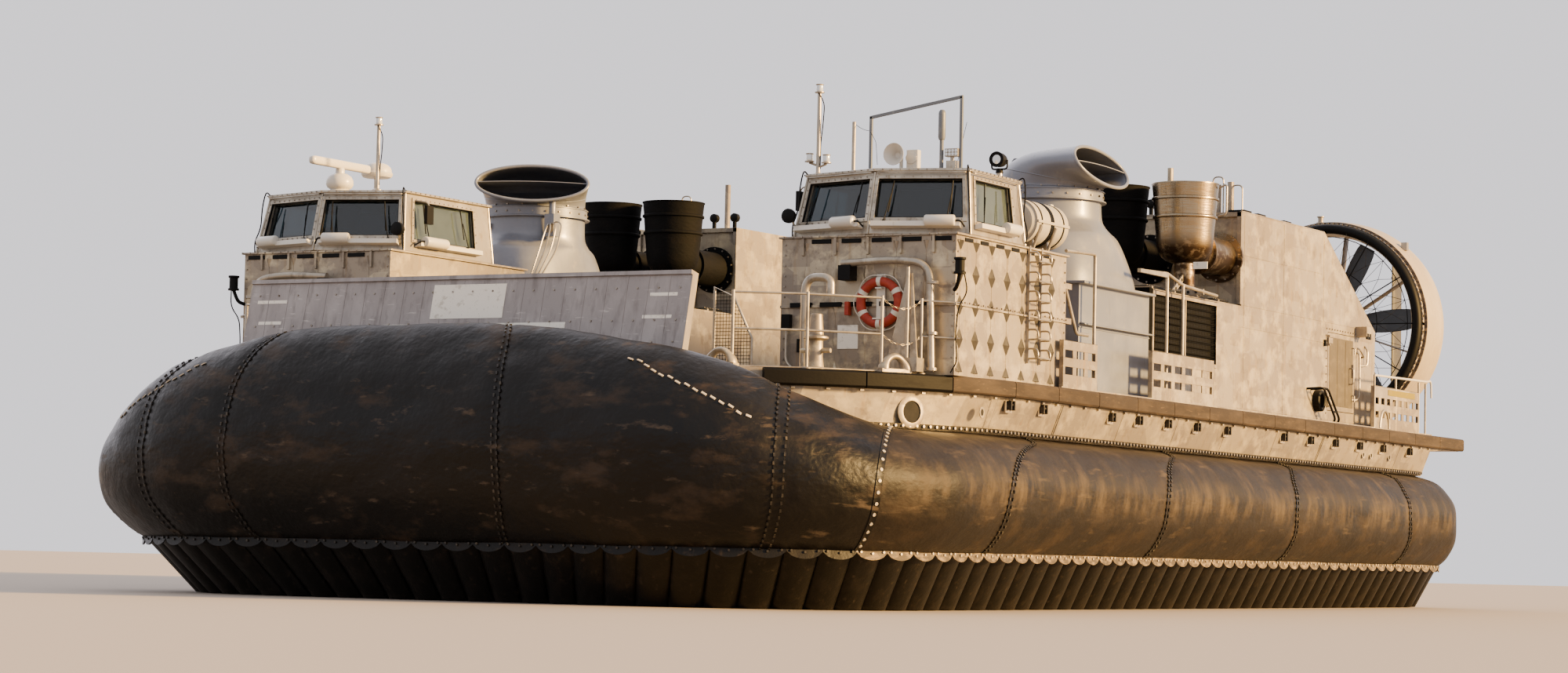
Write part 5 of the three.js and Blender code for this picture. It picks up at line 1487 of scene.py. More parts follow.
@dataclass
class CabinTower:
    """The plated tower under a cabin: slots, pressed stiffeners, a bolted seam, steps and pipes."""

    inboard: float = 3.55
    outboard: float = 6.44
    front: float = -9.15
    aft: float = -5.25
    foot: float = 3.43
    eave: float = 5.41
    seam_z: float = 4.45
    stiffener_rows: tuple[float, ...] = (5.38, 4.90, 4.43, 3.94, 3.46)
    side_columns: tuple[float, ...] = (-9.01, -8.48, -7.94, -7.40, -6.86, -6.32, -5.79)
    front_columns: tuple[float, ...] = (3.97, 4.47, 4.97, 5.46, 5.95)
    half_width: float = 0.125
    half_height: float = 0.165
    step_rows: tuple[float, ...] = (5.32, 5.02, 4.73, 4.44, 4.15, 3.86)
    step_columns: tuple[float, ...] = (-6.69, -6.25)

    def build(self) -> None:
        """Dress the tower on both sides of the craft."""
        skin, shade, black, pipes = Shape(), Shape(), Shape(), Shape()
        self.stiffeners(skin, shade)
        self.seam_and_slots(skin, black)
        self.steps(pipes)
        self.pipework(pipes, black)
        bolts = self.bolts()
        for side in Side:
            skin.mirrored(side).piece(f"tower_trim_{side.word}", BARE_PLATE, bevel=0.003)
            # the side stiffeners' dark colour is painted shade
            shade.mirrored(side).piece(f"tower_stiffeners_{side.word}", PRESSED_PLATE_PAINTED_SHADE, sharp=20)
            # these include the slots' black blocks, painted shade of their openings
            black.mirrored(side).piece(f"tower_black_fittings_{side.word}", BLACK_CASTING, bevel=0.003)
            pipes.mirrored(side).piece(f"tower_pipes_{side.word}", BRIGHT_PLATE)
            bolts.both(side).piece()
        sign = Shape().block((4.52, self.front - 0.012, 3.80), (4.86, self.front + 0.005, 4.15))
        sign.piece("tower_blank_sign", WHITE_PLATE, bevel=0.002)

    def stiffeners(self, skin: Shape, shade: Shape) -> None:
        """Press diamond stiffeners into both visible walls, with a shallow rib down each column.

        Args:
            skin: The plate-coloured trim.
            shade: The stiffeners, dark as painted shade.
        """
        last = len(self.stiffener_rows) - 1
        for i, z in enumerate(self.stiffener_rows):
            halves = (0 if i == 0 else 1, 0 if i == last else 1)
            for y in self.side_columns:
                # the side wall's diamonds take the dark finish: painted shade of recesses
                self.diamond(shade, (self.outboard, y, z), (0, 1, 0), (1, 0, 0), halves)
            for x in self.front_columns:
                self.diamond(skin, (x, self.front, z), (0.4, 0, 0), (0, -1, 0), halves)
        for y in self.side_columns:
            skin.block(
                (self.outboard - 0.01, y - 0.006, self.foot), (self.outboard + 0.006, y + 0.006, self.eave))
        for x in self.front_columns:
            skin.block((x - 0.006, self.front - 0.006, self.foot), (x + 0.006, self.front + 0.01, self.eave))

    def diamond(self, shape: Shape, at: Point, across: Point, out: Point, halves: tuple[int, int]) -> None:
        """Add one low pyramid on a diamond foot.

        Args:
            shape: The shape that gathers them.
            at: Its middle.
            across: The level way along the wall, whose length scales its width.
            out: The way out of the wall.
            halves: Whether its upper and lower halves are there.
        """
        middle, side, way = Vector(at), Vector(across) * self.half_width, Vector(out)
        up = Vector((0, 0, self.half_height))
        base = [middle - side, middle - up * halves[1], middle + side, middle + up * halves[0]]
        back = [point - way * 0.01 for point in base]
        peak = middle + way * 0.035
        faces = [
            (0, 1, 4), (1, 2, 4), (2, 3, 4), (3, 0, 4), (5, 6, 1, 0), (6, 7, 2, 1), (7, 8, 3, 2),
            (8, 5, 0, 3), (8, 7, 6, 5)]
        shape.add([*base, peak, *back], faces)

    def seam_and_slots(self, skin: Shape, black: Shape) -> None:
        """Add the joint flanges at mid height and the slots under the eave, whose openings are black blocks:
        painted shade.

        Args:
            skin: The plate-coloured trim.
            black: The black fittings, and the slots' black blocks, which are painted shade.
        """
        skin.block(
            (self.inboard, self.front - 0.03, self.seam_z - 0.035),
            (self.outboard + 0.03, self.front, 4.455))
        skin.block(
            (self.outboard, self.front, self.seam_z - 0.03), (self.outboard + 0.03, self.aft, self.seam_z))
        for x in self.front_columns:
            # the slot's opening is a black block proud of the wall: painted shade
            black.block((x + 0.09, self.front - 0.02, 5.365), (x + 0.41, self.front + 0.01, 5.43))
            black.block((x - 0.24, self.front - 0.05, 4.42), (x + 0.12, self.front - 0.01, 4.49))
        for y in self.side_columns[:-1]:
            # the slot's opening is a black block on the wall: painted shade
            black.block((self.outboard - 0.01, y + 0.14, 5.37), (self.outboard + 0.015, y + 0.4, 5.425))
        for z in (4.42, 4.96):
            skin.block((self.outboard - 0.1, self.aft, z), (self.outboard, self.aft + 0.22, z + 0.09))

    def bolts(self) -> Repeats:
        """Bolt the seam and both edges of the tower.

        Returns:
            The port tower's bolts.
        """
        bolts = Repeats("tower_bolts_port", Form.HEX_HEAD, (0.03, 0.03, 0.02), FASTENER, spacing=0.15)
        out = self.outboard
        bolts.path([(out + 0.034, self.front + 0.1, 4.47), (out + 0.034, self.aft - 0.05, 4.47)], (1, 0, 0))
        for y in (self.front + 0.05, self.aft - 0.06):
            bolts.path([(out + 0.006, y, 3.5), (out + 0.006, y, 5.36)], (1, 0, 0))
        for x in (self.inboard + 0.06, self.outboard - 0.05):
            bolts.path([(x, self.front - 0.006, 3.5), (x, self.front - 0.006, 5.36)], (0, -1, 0))
        bolts.path([(self.inboard + 0.05, self.front - 0.04, 5.47), (out + 0.02, self.front - 0.04, 5.47)],
                   (0, -1, 0))
        return bolts

    def steps(self, pipes: Shape) -> None:
        """Add the climbing steps: two upright bars, and drop loops with a tread between them.

        Args:
            pipes: The bright pipes.
        """
        for y in self.step_columns:
            pipes.block((self.outboard, y - 0.02, 3.72), (self.outboard + 0.05, y + 0.02, 5.5))
            for z in self.step_rows:
                loop = [(self.outboard + 0.04, y, z + 0.08), (self.outboard + 0.19, y, z + 0.08),
                        (self.outboard + 0.21, y, z - 0.07), (self.outboard + 0.04, y, z - 0.07)]
                pipes.tube(rounded(loop, 0.06, 4), 0.015, 8)
        for z in self.step_rows:
            x = self.outboard + 0.2
            pipes.tube([(x, self.step_columns[0], z - 0.06), (x, self.step_columns[1], z - 0.06)], 0.013, 8)

    def pipework(self, pipes: Shape, black: Shape) -> None:
        """Add the filling pipe, the gooseneck vent, the stowed brace, the corner lamp and its cable.

        Args:
            pipes: The bright pipes.
            black: The black fittings.
        """
        fill_y = self.front - 0.17
        fill = [(4.66, fill_y, 5.05), (5.5, fill_y, 5.09), (6.1, fill_y, 5.02), (6.15, fill_y, 3.45)]
        pipes.tube(rounded(fill, 0.3, 8), 0.055, 16)
        collar = [(0.06, 0), (0.085, 0), (0.085, 0.04), (0.06, 0.04)]
        for z in (3.46, 3.98, 4.72):
            pipes.lathe(collar, (6.15, fill_y, z), sides=16, closed=True)
        black.block((4.62, fill_y - 0.06, 4.8), (4.82, self.front, 5.02))
        neck = [(4.66, -10.45, 3.42), (4.66, -10.45, 4.75), (5.08, -10.45, 4.75), (5.08, -10.45, 4.5)]
        pipes.tube(rounded(neck, 0.24, 8), 0.06, 16)
        plate = [(5.86, -9.55, 4.86), (5.93, -9.55, 4.86), (6.03, -9.55, 3.62), (5.55, -9.55, 3.62)]
        pipes.slab(plate, (0, 0.03, 0))
        pipes.block((5.5, -9.65, 3.43), (6.08, -9.42, 3.63))
        pipes.tube([(5.88, -9.58, 3.6), (5.88, -9.58, 4.95)], 0.025, 10)
        for x, low, high in ((3.68, 4.1, 4.32), (3.95, 3.75, 3.95)):
            black.block((x - 0.07, self.front - 0.09, low), (x + 0.07, self.front, high))
        y = self.front - 0.05
        drain = [(3.68, y, 4.1), (3.68, y, 3.6), (3.9, y, 3.45)]
        pipes.tube(rounded(drain, 0.1), 0.02, 8)
        lamp = (6.56, self.front - 0.12)
        body = [(0.09, 4.86), (0.09, 4.89), (0.07, 4.9), (0.07, 5.06), (0.09, 5.07), (0.09, 5.1)]
        black.lathe(body, (*lamp, 0), sides=20)
        stem = [(*lamp, 4.87), (6.5, self.front - 0.08, 4.68), (6.42, self.front, 4.64)]
        black.tube(rounded(stem, 0.1), 0.03, 8)
        cable = [
            (lamp[0] + 0.06, lamp[1] + 0.02, 4.88), (6.66, -9.2, 4.6), (6.5, -9.17, 4.4),
            (6.46, -9.18, 4.0), (6.5, -9.18, 3.6), (6.4, -9.2, 3.43)]
        black.tube(rounded(cable, 0.12), 0.011, 6)


@dataclass
class Cabin:
    """A cabin's trim: window frames and gaskets, wipers, blind housings, hand rails and a mirror."""

    middle: float = 5.02
    low: float = TOWER_TOP
    high: float = 6.43
    half_low: float = 1.47
    half_high: float = 1.34
    front_low: float = -8.80
    front_high: float = -8.61
    nose: float = 0.296
    rears: tuple[tuple[Side, float], ...] = ((Side.PORT, -6.90), (Side.STARBOARD, -6.23))
    windows: tuple[tuple[int, float, float, float, float], ...] = (
        (0, 0.07, 0.95, 0.26, 0.88), (1, 0.05, 0.93, 0.26, 0.88), (2, 0.1, 0.8, 0.22, 0.88),
        (4, 0.2, 0.9, 0.22, 0.88))
    frame_width: float = 0.06
    frame_lift: float = 0.02
    # The window of each cabin whose blind is drawn: a pale sheet painted as the sky's reflection in that
    # window
    drawn: dict[Side, int] = field(default_factory=lambda: {Side.PORT: 2, Side.STARBOARD: 4})

    def corners(self, rear: float, share: float) -> list[Vector]:
        """The cabin's corners at one height, from the inboard front one round to the inboard rear one.

        Args:
            rear: Y of the cabin's back.
            share: Share of its height.

        Returns:
            The five corners.
        """
        half, front = lerp(self.half_low, self.half_high, share), lerp(self.front_low, self.front_high, share)
        z = lerp(self.low, self.high, share)
        return [Vector(point) for point in (
            (self.middle - half, front, z), (self.middle, front - self.nose * half, z),
            (self.middle + half, front, z), (self.middle + half, rear, z), (self.middle - half, rear, z))]

    def on_wall(self, rear: float, wall: int, u: float, v: float, lift: float = 0.0) -> Vector:
        """A point on a wall.

        Args:
            rear: Y of the cabin's back.
            wall: The wall's number.
            u: Share of the way along it.
            v: Share of the way up.
            lift: How far the point stands off.

        Returns:
            The point.
        """
        after = (wall + 1) % 5
        low, high = self.corners(rear, 0.0), self.corners(rear, 1.0)
        point = low[wall].lerp(low[after], u).lerp(high[wall].lerp(high[after], u), v)
        return point + self.out_of(rear, wall) * lift

    def out_of(self, rear: float, wall: int) -> Vector:
        """The way out of a wall."""
        low, high = self.corners(rear, 0.0), self.corners(rear, 1.0)
        return (low[(wall + 1) % 5] - low[wall]).cross(high[wall] - low[wall]).normalized()

    def build(self) -> None:
        """Dress both cabins."""
        for side, rear in self.rears:
            self.dress(side, rear)

    def dress(self, side: Side, rear: float) -> None:
        """Dress one cabin.

        Args:
            side: The side it stands on.
            rear: Y of its back.
        """
        frames, gaskets, white, black, rods = Shape(), Shape(), Shape(), Shape(), Shape()
        bolts = Repeats("cabin_bolts_port", Form.HEX_HEAD, (0.022, 0.022, 0.014), FASTENER, spacing=0.13)
        for wall, start, end, low, high in self.windows:
            self.window(frames, gaskets, bolts, rear, wall, (start, end, low, high))
            self.wiper(black, rear, wall, start + 0.1)
            self.wiper(black, rear, wall, end - 0.16)
            self.blind_box(white, black, rear, wall, (start, end))
            # a pale blind behind the glass: painted reflection of the bright sky
            if wall == self.drawn[side]:
                corners = [self.on_wall(rear, wall, u, v, -0.075) for u, v in (
                    (start, low), (end, low), (end, high), (start, high))]
                blind = Shape().slab(corners, self.out_of(rear, wall) * 0.004)
                blind.mirrored(side).piece(f"cabin_blind_{side.word}", REFLECTION_BLIND_CLOTH)
        tops, feet = self.corners(rear, 0.985), self.corners(rear, 0.0)
        for foot, top in zip(feet, tops):
            rods.tube([foot, top], 0.022, 8)
        eave = [point + Vector((0, 0, 0.028)) for point in self.corners(rear, 1.0)]
        centre = sum(eave, Vector()) / 5
        rim = [point + (point - centre).normalized() * 0.055 for point in eave]
        for a, b in zip(rim, [*rim[1:], rim[0]]):
            bolts.path([a, b], (b - a).cross(Vector((0, 0, 1))).normalized())
        self.rods_and_cables(rods, black, rear)
        word = side.word
        frames.mirrored(side).piece(f"cabin_window_frames_{word}", BRIGHT_PLATE, bevel=0.004)
        gaskets.mirrored(side).piece(f"cabin_gaskets_{word}", BLACK_CASTING)
        white.mirrored(side).piece(f"cabin_blind_boxes_{word}", WHITE_ENAMEL, bevel=0.006)
        black.mirrored(side).piece(f"cabin_wipers_{word}", BLACK_CASTING)
        rods.mirrored(side).piece(f"cabin_rods_{word}", BRIGHT_PLATE)
        bolts.both(side).piece()

    def window(self, frames: Shape, gaskets: Shape, bolts: Repeats, rear: float, wall: int,
               opening: tuple[float, float, float, float]) -> None:
        """Frame one window.

        Args:
            frames: The bolted frames.
            gaskets: The rubber between frame and glass.
            bolts: The frame's bolts.
            rear: Y of the cabin's back.
            wall: The wall's number.
            opening: Where it starts and ends along the wall, and its low and high edges, as shares.
        """
        start, end, low, high = opening
        length = (self.on_wall(rear, wall, 1, 0) - self.on_wall(rear, wall, 0, 0)).length
        du, dv = self.frame_width / length, self.frame_width / (self.high - self.low)

        def ring(grow: float, lift: float) -> list[Vector]:
            """The opening's corners, grown by a share of the frame's width and lifted off the wall."""
            return [self.on_wall(rear, wall, u, v, lift) for u, v in (
                (start - grow * du, low - grow * dv), (end + grow * du, low - grow * dv),
                (end + grow * du, high + grow * dv), (start - grow * du, high + grow * dv))]

        lift = self.frame_lift
        frames.grid([ring(0.95, -0.005), ring(0.95, lift), ring(0.0, lift), ring(0.0, -0.01)], across=True,
                    along=True)
        gaskets.grid([ring(0.05, -0.02), ring(0.05, lift * 0.7), ring(-0.2, lift * 0.3), ring(-0.2, -0.02)],
                     across=True, along=True)
        line = ring(0.5, lift + 0.004)
        bolts.path([*line, line[0]], tuple(self.out_of(rear, wall)))

    def wiper(self, black: Shape, rear: float, wall: int, u: float) -> None:
        """Add one parked wiper with its arm.

        Args:
            black: The black fittings.
            rear: Y of the cabin's back.
            wall: The wall's number.
            u: Where its foot is along the wall, as a share.
        """
        foot = self.on_wall(rear, wall, u, 0.2, 0.05)
        tip = self.on_wall(rear, wall, u + 0.05, 0.62, 0.045)
        black.tube([foot, tip], 0.009, 6)
        blade = [self.on_wall(rear, wall, u + du, v, 0.03) for du, v in ((0.035, 0.34), (0.065, 0.84))]
        black.tube(blade, 0.011, 6)
        black.tube([foot - self.out_of(rear, wall) * 0.06, foot], 0.022, 10)

    def blind_box(self, white: Shape, black: Shape, rear: float, wall: int,
                  reach: tuple[float, float]) -> None:
        """Add the long box under a window, with its round motor housing.

        Args:
            white: The enamelled housings.
            black: The cable.
            rear: Y of the cabin's back.
            wall: The wall's number.
            reach: Where the window starts and ends along the wall.
        """
        start, end = reach
        box = [self.on_wall(rear, wall, u, v, 0.0) for u, v in (
            (start - 0.02, 0.09), (end - 0.02, 0.09), (end - 0.02, 0.17), (start - 0.02, 0.17))]
        white.slab(box, self.out_of(rear, wall) * 0.13)
        a = self.on_wall(rear, wall, lerp(start, end, 0.58), 0.17, 0.14)
        b = self.on_wall(rear, wall, lerp(start, end, 0.93), 0.17, 0.14)
        way = (b - a).normalized()
        turn = Matrix.Translation(a) @ way.to_track_quat("Z", "Y").to_matrix().to_4x4()
        length = (b - a).length
        profile = [(0.05, 0.0), (0.075, 0.01), (0.085, 0.03), (0.085, length - 0.03), (0.075, length - 0.01),
                   (0.05, length)]
        white.join(Shape().lathe(profile, (0, 0, 0), sides=24).moved(turn))
        cable = [b, b + way * 0.08, self.on_wall(rear, wall, end + 0.02, 0.1, 0.06)]
        black.tube(rounded(cable, 0.05), 0.014, 6)

    def rods_and_cables(self, rods: Shape, black: Shape, rear: float) -> None:
        """Add hand rails along the eave, cables down the corners, a mirror and a round lamp.

        Args:
            rods: The bright rods.
            black: The black fittings.
            rear: Y of the cabin's back.
        """
        for wall in (0, 1, 2):
            line = [self.on_wall(rear, wall, u, 0.96, 0.07) for u in (0.03, 0.97)]
            feet = [self.on_wall(rear, wall, u, 0.99, 0.0) for u in (0.03, 0.97)]
            rods.tube(rounded([feet[0], *line, feet[1]], 0.05), 0.012, 8)
        for wall, u in ((0, 0.0), (1, 1.0), (2, 0.98)):
            loop = [self.on_wall(rear, wall, u, 1.03, 0.02), self.on_wall(rear, wall, u, 1.08, 0.13),
                    self.on_wall(rear, wall, u, 0.8, 0.12), self.on_wall(rear, wall, u, 0.45, 0.04),
                    self.on_wall(rear, wall, u, 0.2, 0.09), self.on_wall(rear, wall, u, 0.02, 0.03)]
            black.tube(rounded(loop, 0.12), 0.011, 6)
        mirror = self.on_wall(rear, 4, 0.84, 0.62, 0.2)
        black.block(mirror - Vector((0.03, 0.09, 0.15)), mirror + Vector((0.03, 0.09, 0.15)))
        arm = [self.on_wall(rear, 4, 0.9, 0.9, 0.0), mirror + Vector((0, 0, 0.2)), mirror]
        rods.tube(rounded(arm, 0.08), 0.012, 8)
        lamp = self.on_wall(rear, 0, 0.02, 0.3, 0.22)
        bowl = [(0.03, 0.1), (0.09, 0.06), (0.11, 0.0), (0.11, -0.05), (0.09, -0.06)]
        black.lathe(bowl, tuple(lamp), "Y", 20)
        rods.tube([self.on_wall(rear, 0, 0.04, 0.12, 0.0), lamp], 0.014, 8)


@dataclass
class LiftFan:
    """A lift fan housing with its bolted ring, and the bow thruster that turns on it."""

    x: float = 4.97
    y: float = -2.78
    throat: float = 0.88
    ring: float = 0.92
    ring_low: float = 6.58
    ring_high: float = 6.76
    inner_x: float = 4.0
    outer_x: float = 6.2
    front: float = -4.2
    aft: float = -1.35
    shoulder: float = 5.15
    lip: float = 5.2
    corner_power: float = 4.0
    sides: int = 96
    # Height of each section, and how far it has gone from the rounded square to the round throat
    sections: tuple[tuple[float, float], ...] = (
        (5.19, 0.0), (5.42, 0.06), (5.75, 0.2), (6.0, 0.36), (6.1, 0.55), (6.2, 0.78), (6.32, 0.94),
        (6.6, 1.0))
    # Nozzle sections: heel and crown as distances out from the axis and up from the foot, and half width
    foot: float = 6.7603
    wall: float = 0.035
    nozzle: tuple[tuple[float, float, float, float, float], ...] = (
        (0.880, 0.0, -0.880, 0.0, 0.880), (0.885, 0.025, -0.870, 0.160, 0.882),
        (0.905, 0.050, -0.640, 0.430, 0.905), (0.970, 0.065, -0.150, 0.640, 0.955),
        (1.156, 0.040, 0.744, 0.723, 1.0))
    headings: tuple[tuple[Side, float], ...] = ((Side.PORT, 0.0), (Side.STARBOARD, -118.8))

    def section(self, z: float, share: float) -> list[Vector]:
        """One section of the bell.

        Args:
            z: Its height.
            share: How round it is, from 0 to 1.

        Returns:
            Its points.
        """
        half = ((self.outer_x - self.inner_x) / 2, (self.aft - self.front) / 2)
        middle = ((self.outer_x + self.inner_x) / 2, (self.aft + self.front) / 2)
        points = []
        for i in range(self.sides):
            angle = 2 * math.pi * (i + 0.5) / self.sides
            c, s = math.cos(angle), math.sin(angle)
            power = self.corner_power
            square = (abs(c) ** power + abs(s) ** power) ** (-1 / power)
            scoop = -0.10 * math.sin(math.pi * share) * abs(math.sin(2 * angle)) ** 1.5
            wide = (middle[0] + half[0] * c * square, middle[1] + half[1] * s * square)
            thin = (self.x + self.throat * c, self.y + self.throat * s)
            points.append(Vector((
                lerp(wide[0], thin[0], share) + scoop * c, lerp(wide[1], thin[1], share) + scoop * s, z)))
        return points

    def build(self) -> None:
        """Make both housings and both thrusters."""
        self.housing()
        for side, heading in self.headings:
            self.thruster(side, heading)

    def housing(self) -> None:
        """Make the pressed housing, its ring and its bolts."""
        body = Shape()
        body.block((self.inner_x, self.front, DECK_Z), (self.outer_x, self.aft, self.shoulder + 0.001))
        roof = [(self.inner_x - 0.06, self.front - 0.06, self.shoulder),
                (self.outer_x + 0.12, self.front - 0.06, 5.13), (self.outer_x + 0.12, self.aft, 5.13),
                (self.inner_x - 0.06, self.aft, self.shoulder)]
        body.slab(roof, (0, 0, self.lip - self.shoulder))
        body.slab([(self.outer_x, self.front + 0.02, 4.50), (self.outer_x + 0.1, self.front + 0.02, 4.48),
                   (self.outer_x + 0.1, self.aft, 4.48), (self.outer_x, self.aft, 4.50)], (0, 0, 0.03))
        bell = Shape()
        rows = list(zip(*[self.section(z, share) for z, share in self.sections]))
        fine = [smooth_row(list(row), 5) for row in rows]
        bell.grid([list(ring) for ring in zip(*fine)], across=True, caps=True)
        low, high, r = self.ring_low, self.ring_high, self.ring
        rim = [(0.5, low), (r - 0.03, low), (r + 0.045, low), (r + 0.045, low + 0.018), (r, low + 0.03),
               (r, high - 0.015), (r + 0.02, high - 0.012), (r + 0.02, high), (0.5, high)]
        bell.lathe(rim, (self.x, self.y, 0), sides=self.sides)
        patch = Shape()
        for dy, z, w, h in ((-1.1, 6.42, 0.14, 0.1), (0.62, 6.47, 0.1, 0.07)):
            angle = math.atan2(dy, 0.6)
            at = Vector((self.x + 0.9 * math.cos(angle), self.y + 0.9 * math.sin(angle), z))
            patch.block(at - Vector((0.03, w / 2, h / 2)), at + Vector((0.03, w / 2, h / 2)))
        bolts = Repeats("fan_ring_bolts_port", Form.HEX_HEAD, (0.035, 0.035, 0.025), FASTENER, spacing=0.235)
        angles = circle(48, closed=True)
        bolts.path([(self.x + (r + 0.005) * math.cos(a), self.y + (r + 0.005) * math.sin(a), low + 0.09)
                    for a in angles], [(math.cos(a), math.sin(a), 0) for a in angles])
        seams = Shape()
        for z in (3.46, 4.44):
            seams.block((self.outer_x - 0.01, self.front, z), (self.outer_x + 0.012, self.aft, z + 0.02))
        for side in Side:
            body.mirrored(side).piece(f"fan_box_{side.word}", HOUSING_ENAMEL, bevel=0.02,
                                      replaces=[f"fan_housing_{side.word}"], slot="housing_grey")
            bell.mirrored(side).piece(f"fan_bell_{side.word}", HOUSING_ENAMEL, sharp=50, slot="housing_grey")
            seams.mirrored(side).piece(f"fan_box_seams_{side.word}", HOUSING_ENAMEL, bevel=0.004)
            patch.mirrored(side).piece(f"fan_bell_plates_{side.word}", WHITE_ENAMEL, bevel=0.01)
            bolts.both(side).piece()
        self.control_box()

    def control_box(self) -> None:
        """Add the turning drive and its hoses below the ring, on the inboard side of each housing."""
        drive, hoses = Shape(), Shape()
        x, y = self.x - 0.82, self.y - 0.72
        drive.block((x - 0.1, y - 0.1, 6.2), (x + 0.1, y + 0.1, 6.6))
        drive.lathe([(0.06, 6.6), (0.06, 6.84), (0.04, 6.88)], (x, y, 0), sides=16)
        for k in range(4):
            start = (x - 0.04 + 0.03 * k, y - 0.08, 6.25)
            knee = (x - 0.35 + 0.12 * k, y - 0.22, 6.42 - 0.05 * k)
            end = (x - 0.05 + 0.05 * k, y - 0.62, 5.25)
            hoses.tube(rounded([start, (start[0] - 0.1, start[1] - 0.1, 6.45), knee,
                                (knee[0], knee[1] - 0.15, 5.95), end], 0.15), 0.014, 6)
        for side in Side:
            drive.mirrored(side).piece(f"fan_turning_drive_{side.word}", HOUSING_ENAMEL, bevel=0.008)
            hoses.mirrored(side).piece(f"fan_drive_hoses_{side.word}", BRIGHT_PLATE)

    def nozzle_ring(self, section: Sequence[float], inset: float) -> list[Vector]:
        """One ring of the nozzle, on its own axis.

        Args:
            section: Heel, crown and half width.
            inset: How far the ring lies inside the outer face.

        Returns:
            Its points.
        """
        heel_x, heel_z, crown_x, crown_z, wide = section
        middle = Vector(((heel_x + crown_x) / 2, 0, (heel_z + crown_z) / 2))
        half = Vector(((crown_x - heel_x) / 2, 0, (crown_z - heel_z) / 2))
        half *= 1 - inset / half.length
        points = []
        for i in range(64):
            angle = 2 * math.pi * i / 64
            at = middle + half * math.sin(angle)
            points.append(Vector((at.x, (wide - inset) * math.cos(angle), self.foot + at.z)))
        return points

    def thruster(self, side: Side, heading: float) -> None:
        """Make one nozzle, with its vane, its rim bead, its lifting lug and its seams.

        Args:
            side: The side it stands on.
            heading: Degrees that it is turned by from straight outboard.
        """
        outer, inner = (
            [self.nozzle_ring(section, inset) for section in self.nozzle] for inset in (0.0, self.wall))
        skins = []
        for rings in (outer, inner):
            rows = [smooth_row(list(row), 6) for row in zip(*rings)]
            skins.append([list(ring) for ring in zip(*rows)])
        shell = Shape().grid([*skins[0], *skins[1][::-1]], across=True, along=True)
        rim = [a.lerp(b, 0.5) for a, b in zip(skins[0][-1], skins[1][-1])]
        shell.tube(rim, 0.03, 10, closed=True)
        vane_from = 13  # the ring where the vane and the lug stand
        lug_at = skins[0][vane_from][16]
        lug = Shape()
        plate = [lug_at + Vector((dx, 0, dz)) for dx, dz in (
            (-0.09, -0.05), (0.09, -0.05), (0.07, 0.07), (0.03, 0.115), (-0.03, 0.115), (-0.07, 0.07))]
        lug.slab([p - Vector((0, 0.012, 0)) for p in plate], (0, 0.024, 0))
        seams = Shape()
        for k in (3, 11):
            seams.tube(skins[0][k], 0.009, 6, closed=True)
        vane = Shape()
        rows = []
        for k in range(vane_from, len(skins[0])):
            ring = skins[0][k]
            left, right = ring[32], ring[0]
            middle = (left + right) / 2
            bow = [left.lerp(right, i / 16) for i in range(17)]
            rows.append([p + Vector((0, 0, 0.03 * (1 - ((p - middle).length / 1.0) ** 2))) for p in bow])
        up = Vector((0, 0, 0.012))
        vane.grid([*rows, *[[p + up for p in row] for row in rows[::-1]]], along=True)
        turn = Matrix.Translation((self.x, self.y, 0)) @ Matrix.Rotation(math.radians(heading), 4, "Z")
        word, body = side.word, f"thruster_{side.word}"
        bolts = Repeats(
            f"thruster_foot_bolts_{word}", Form.HEX_HEAD, (0.03, 0.03, 0.02), FASTENER, spacing=0.28,
            body=body)
        angles = circle(48, closed=True)
        sign = side.value
        foot = 0.9
        bolts.path([(sign * (self.x + foot * math.cos(a)), self.y + foot * math.sin(a), self.foot + 0.03)
                    for a in angles], [(sign * math.cos(a), math.sin(a), 0) for a in angles])
        shell.moved(turn).mirrored(side).piece(f"thruster_nozzle_{word}", HOUSING_ENAMEL, body,
                                               replaces=[f"thruster_{word}"], sharp=50, slot="housing_grey")
        vane.moved(turn).mirrored(side).piece(f"thruster_vane_{word}", HOUSING_ENAMEL, body)
        lug.moved(turn).mirrored(side).piece(f"thruster_lug_{word}", HOUSING_ENAMEL, body, bevel=0.008)
        seams.moved(turn).mirrored(side).piece(f"thruster_seams_{word}", HOUSING_ENAMEL, body)
        bolts.piece()


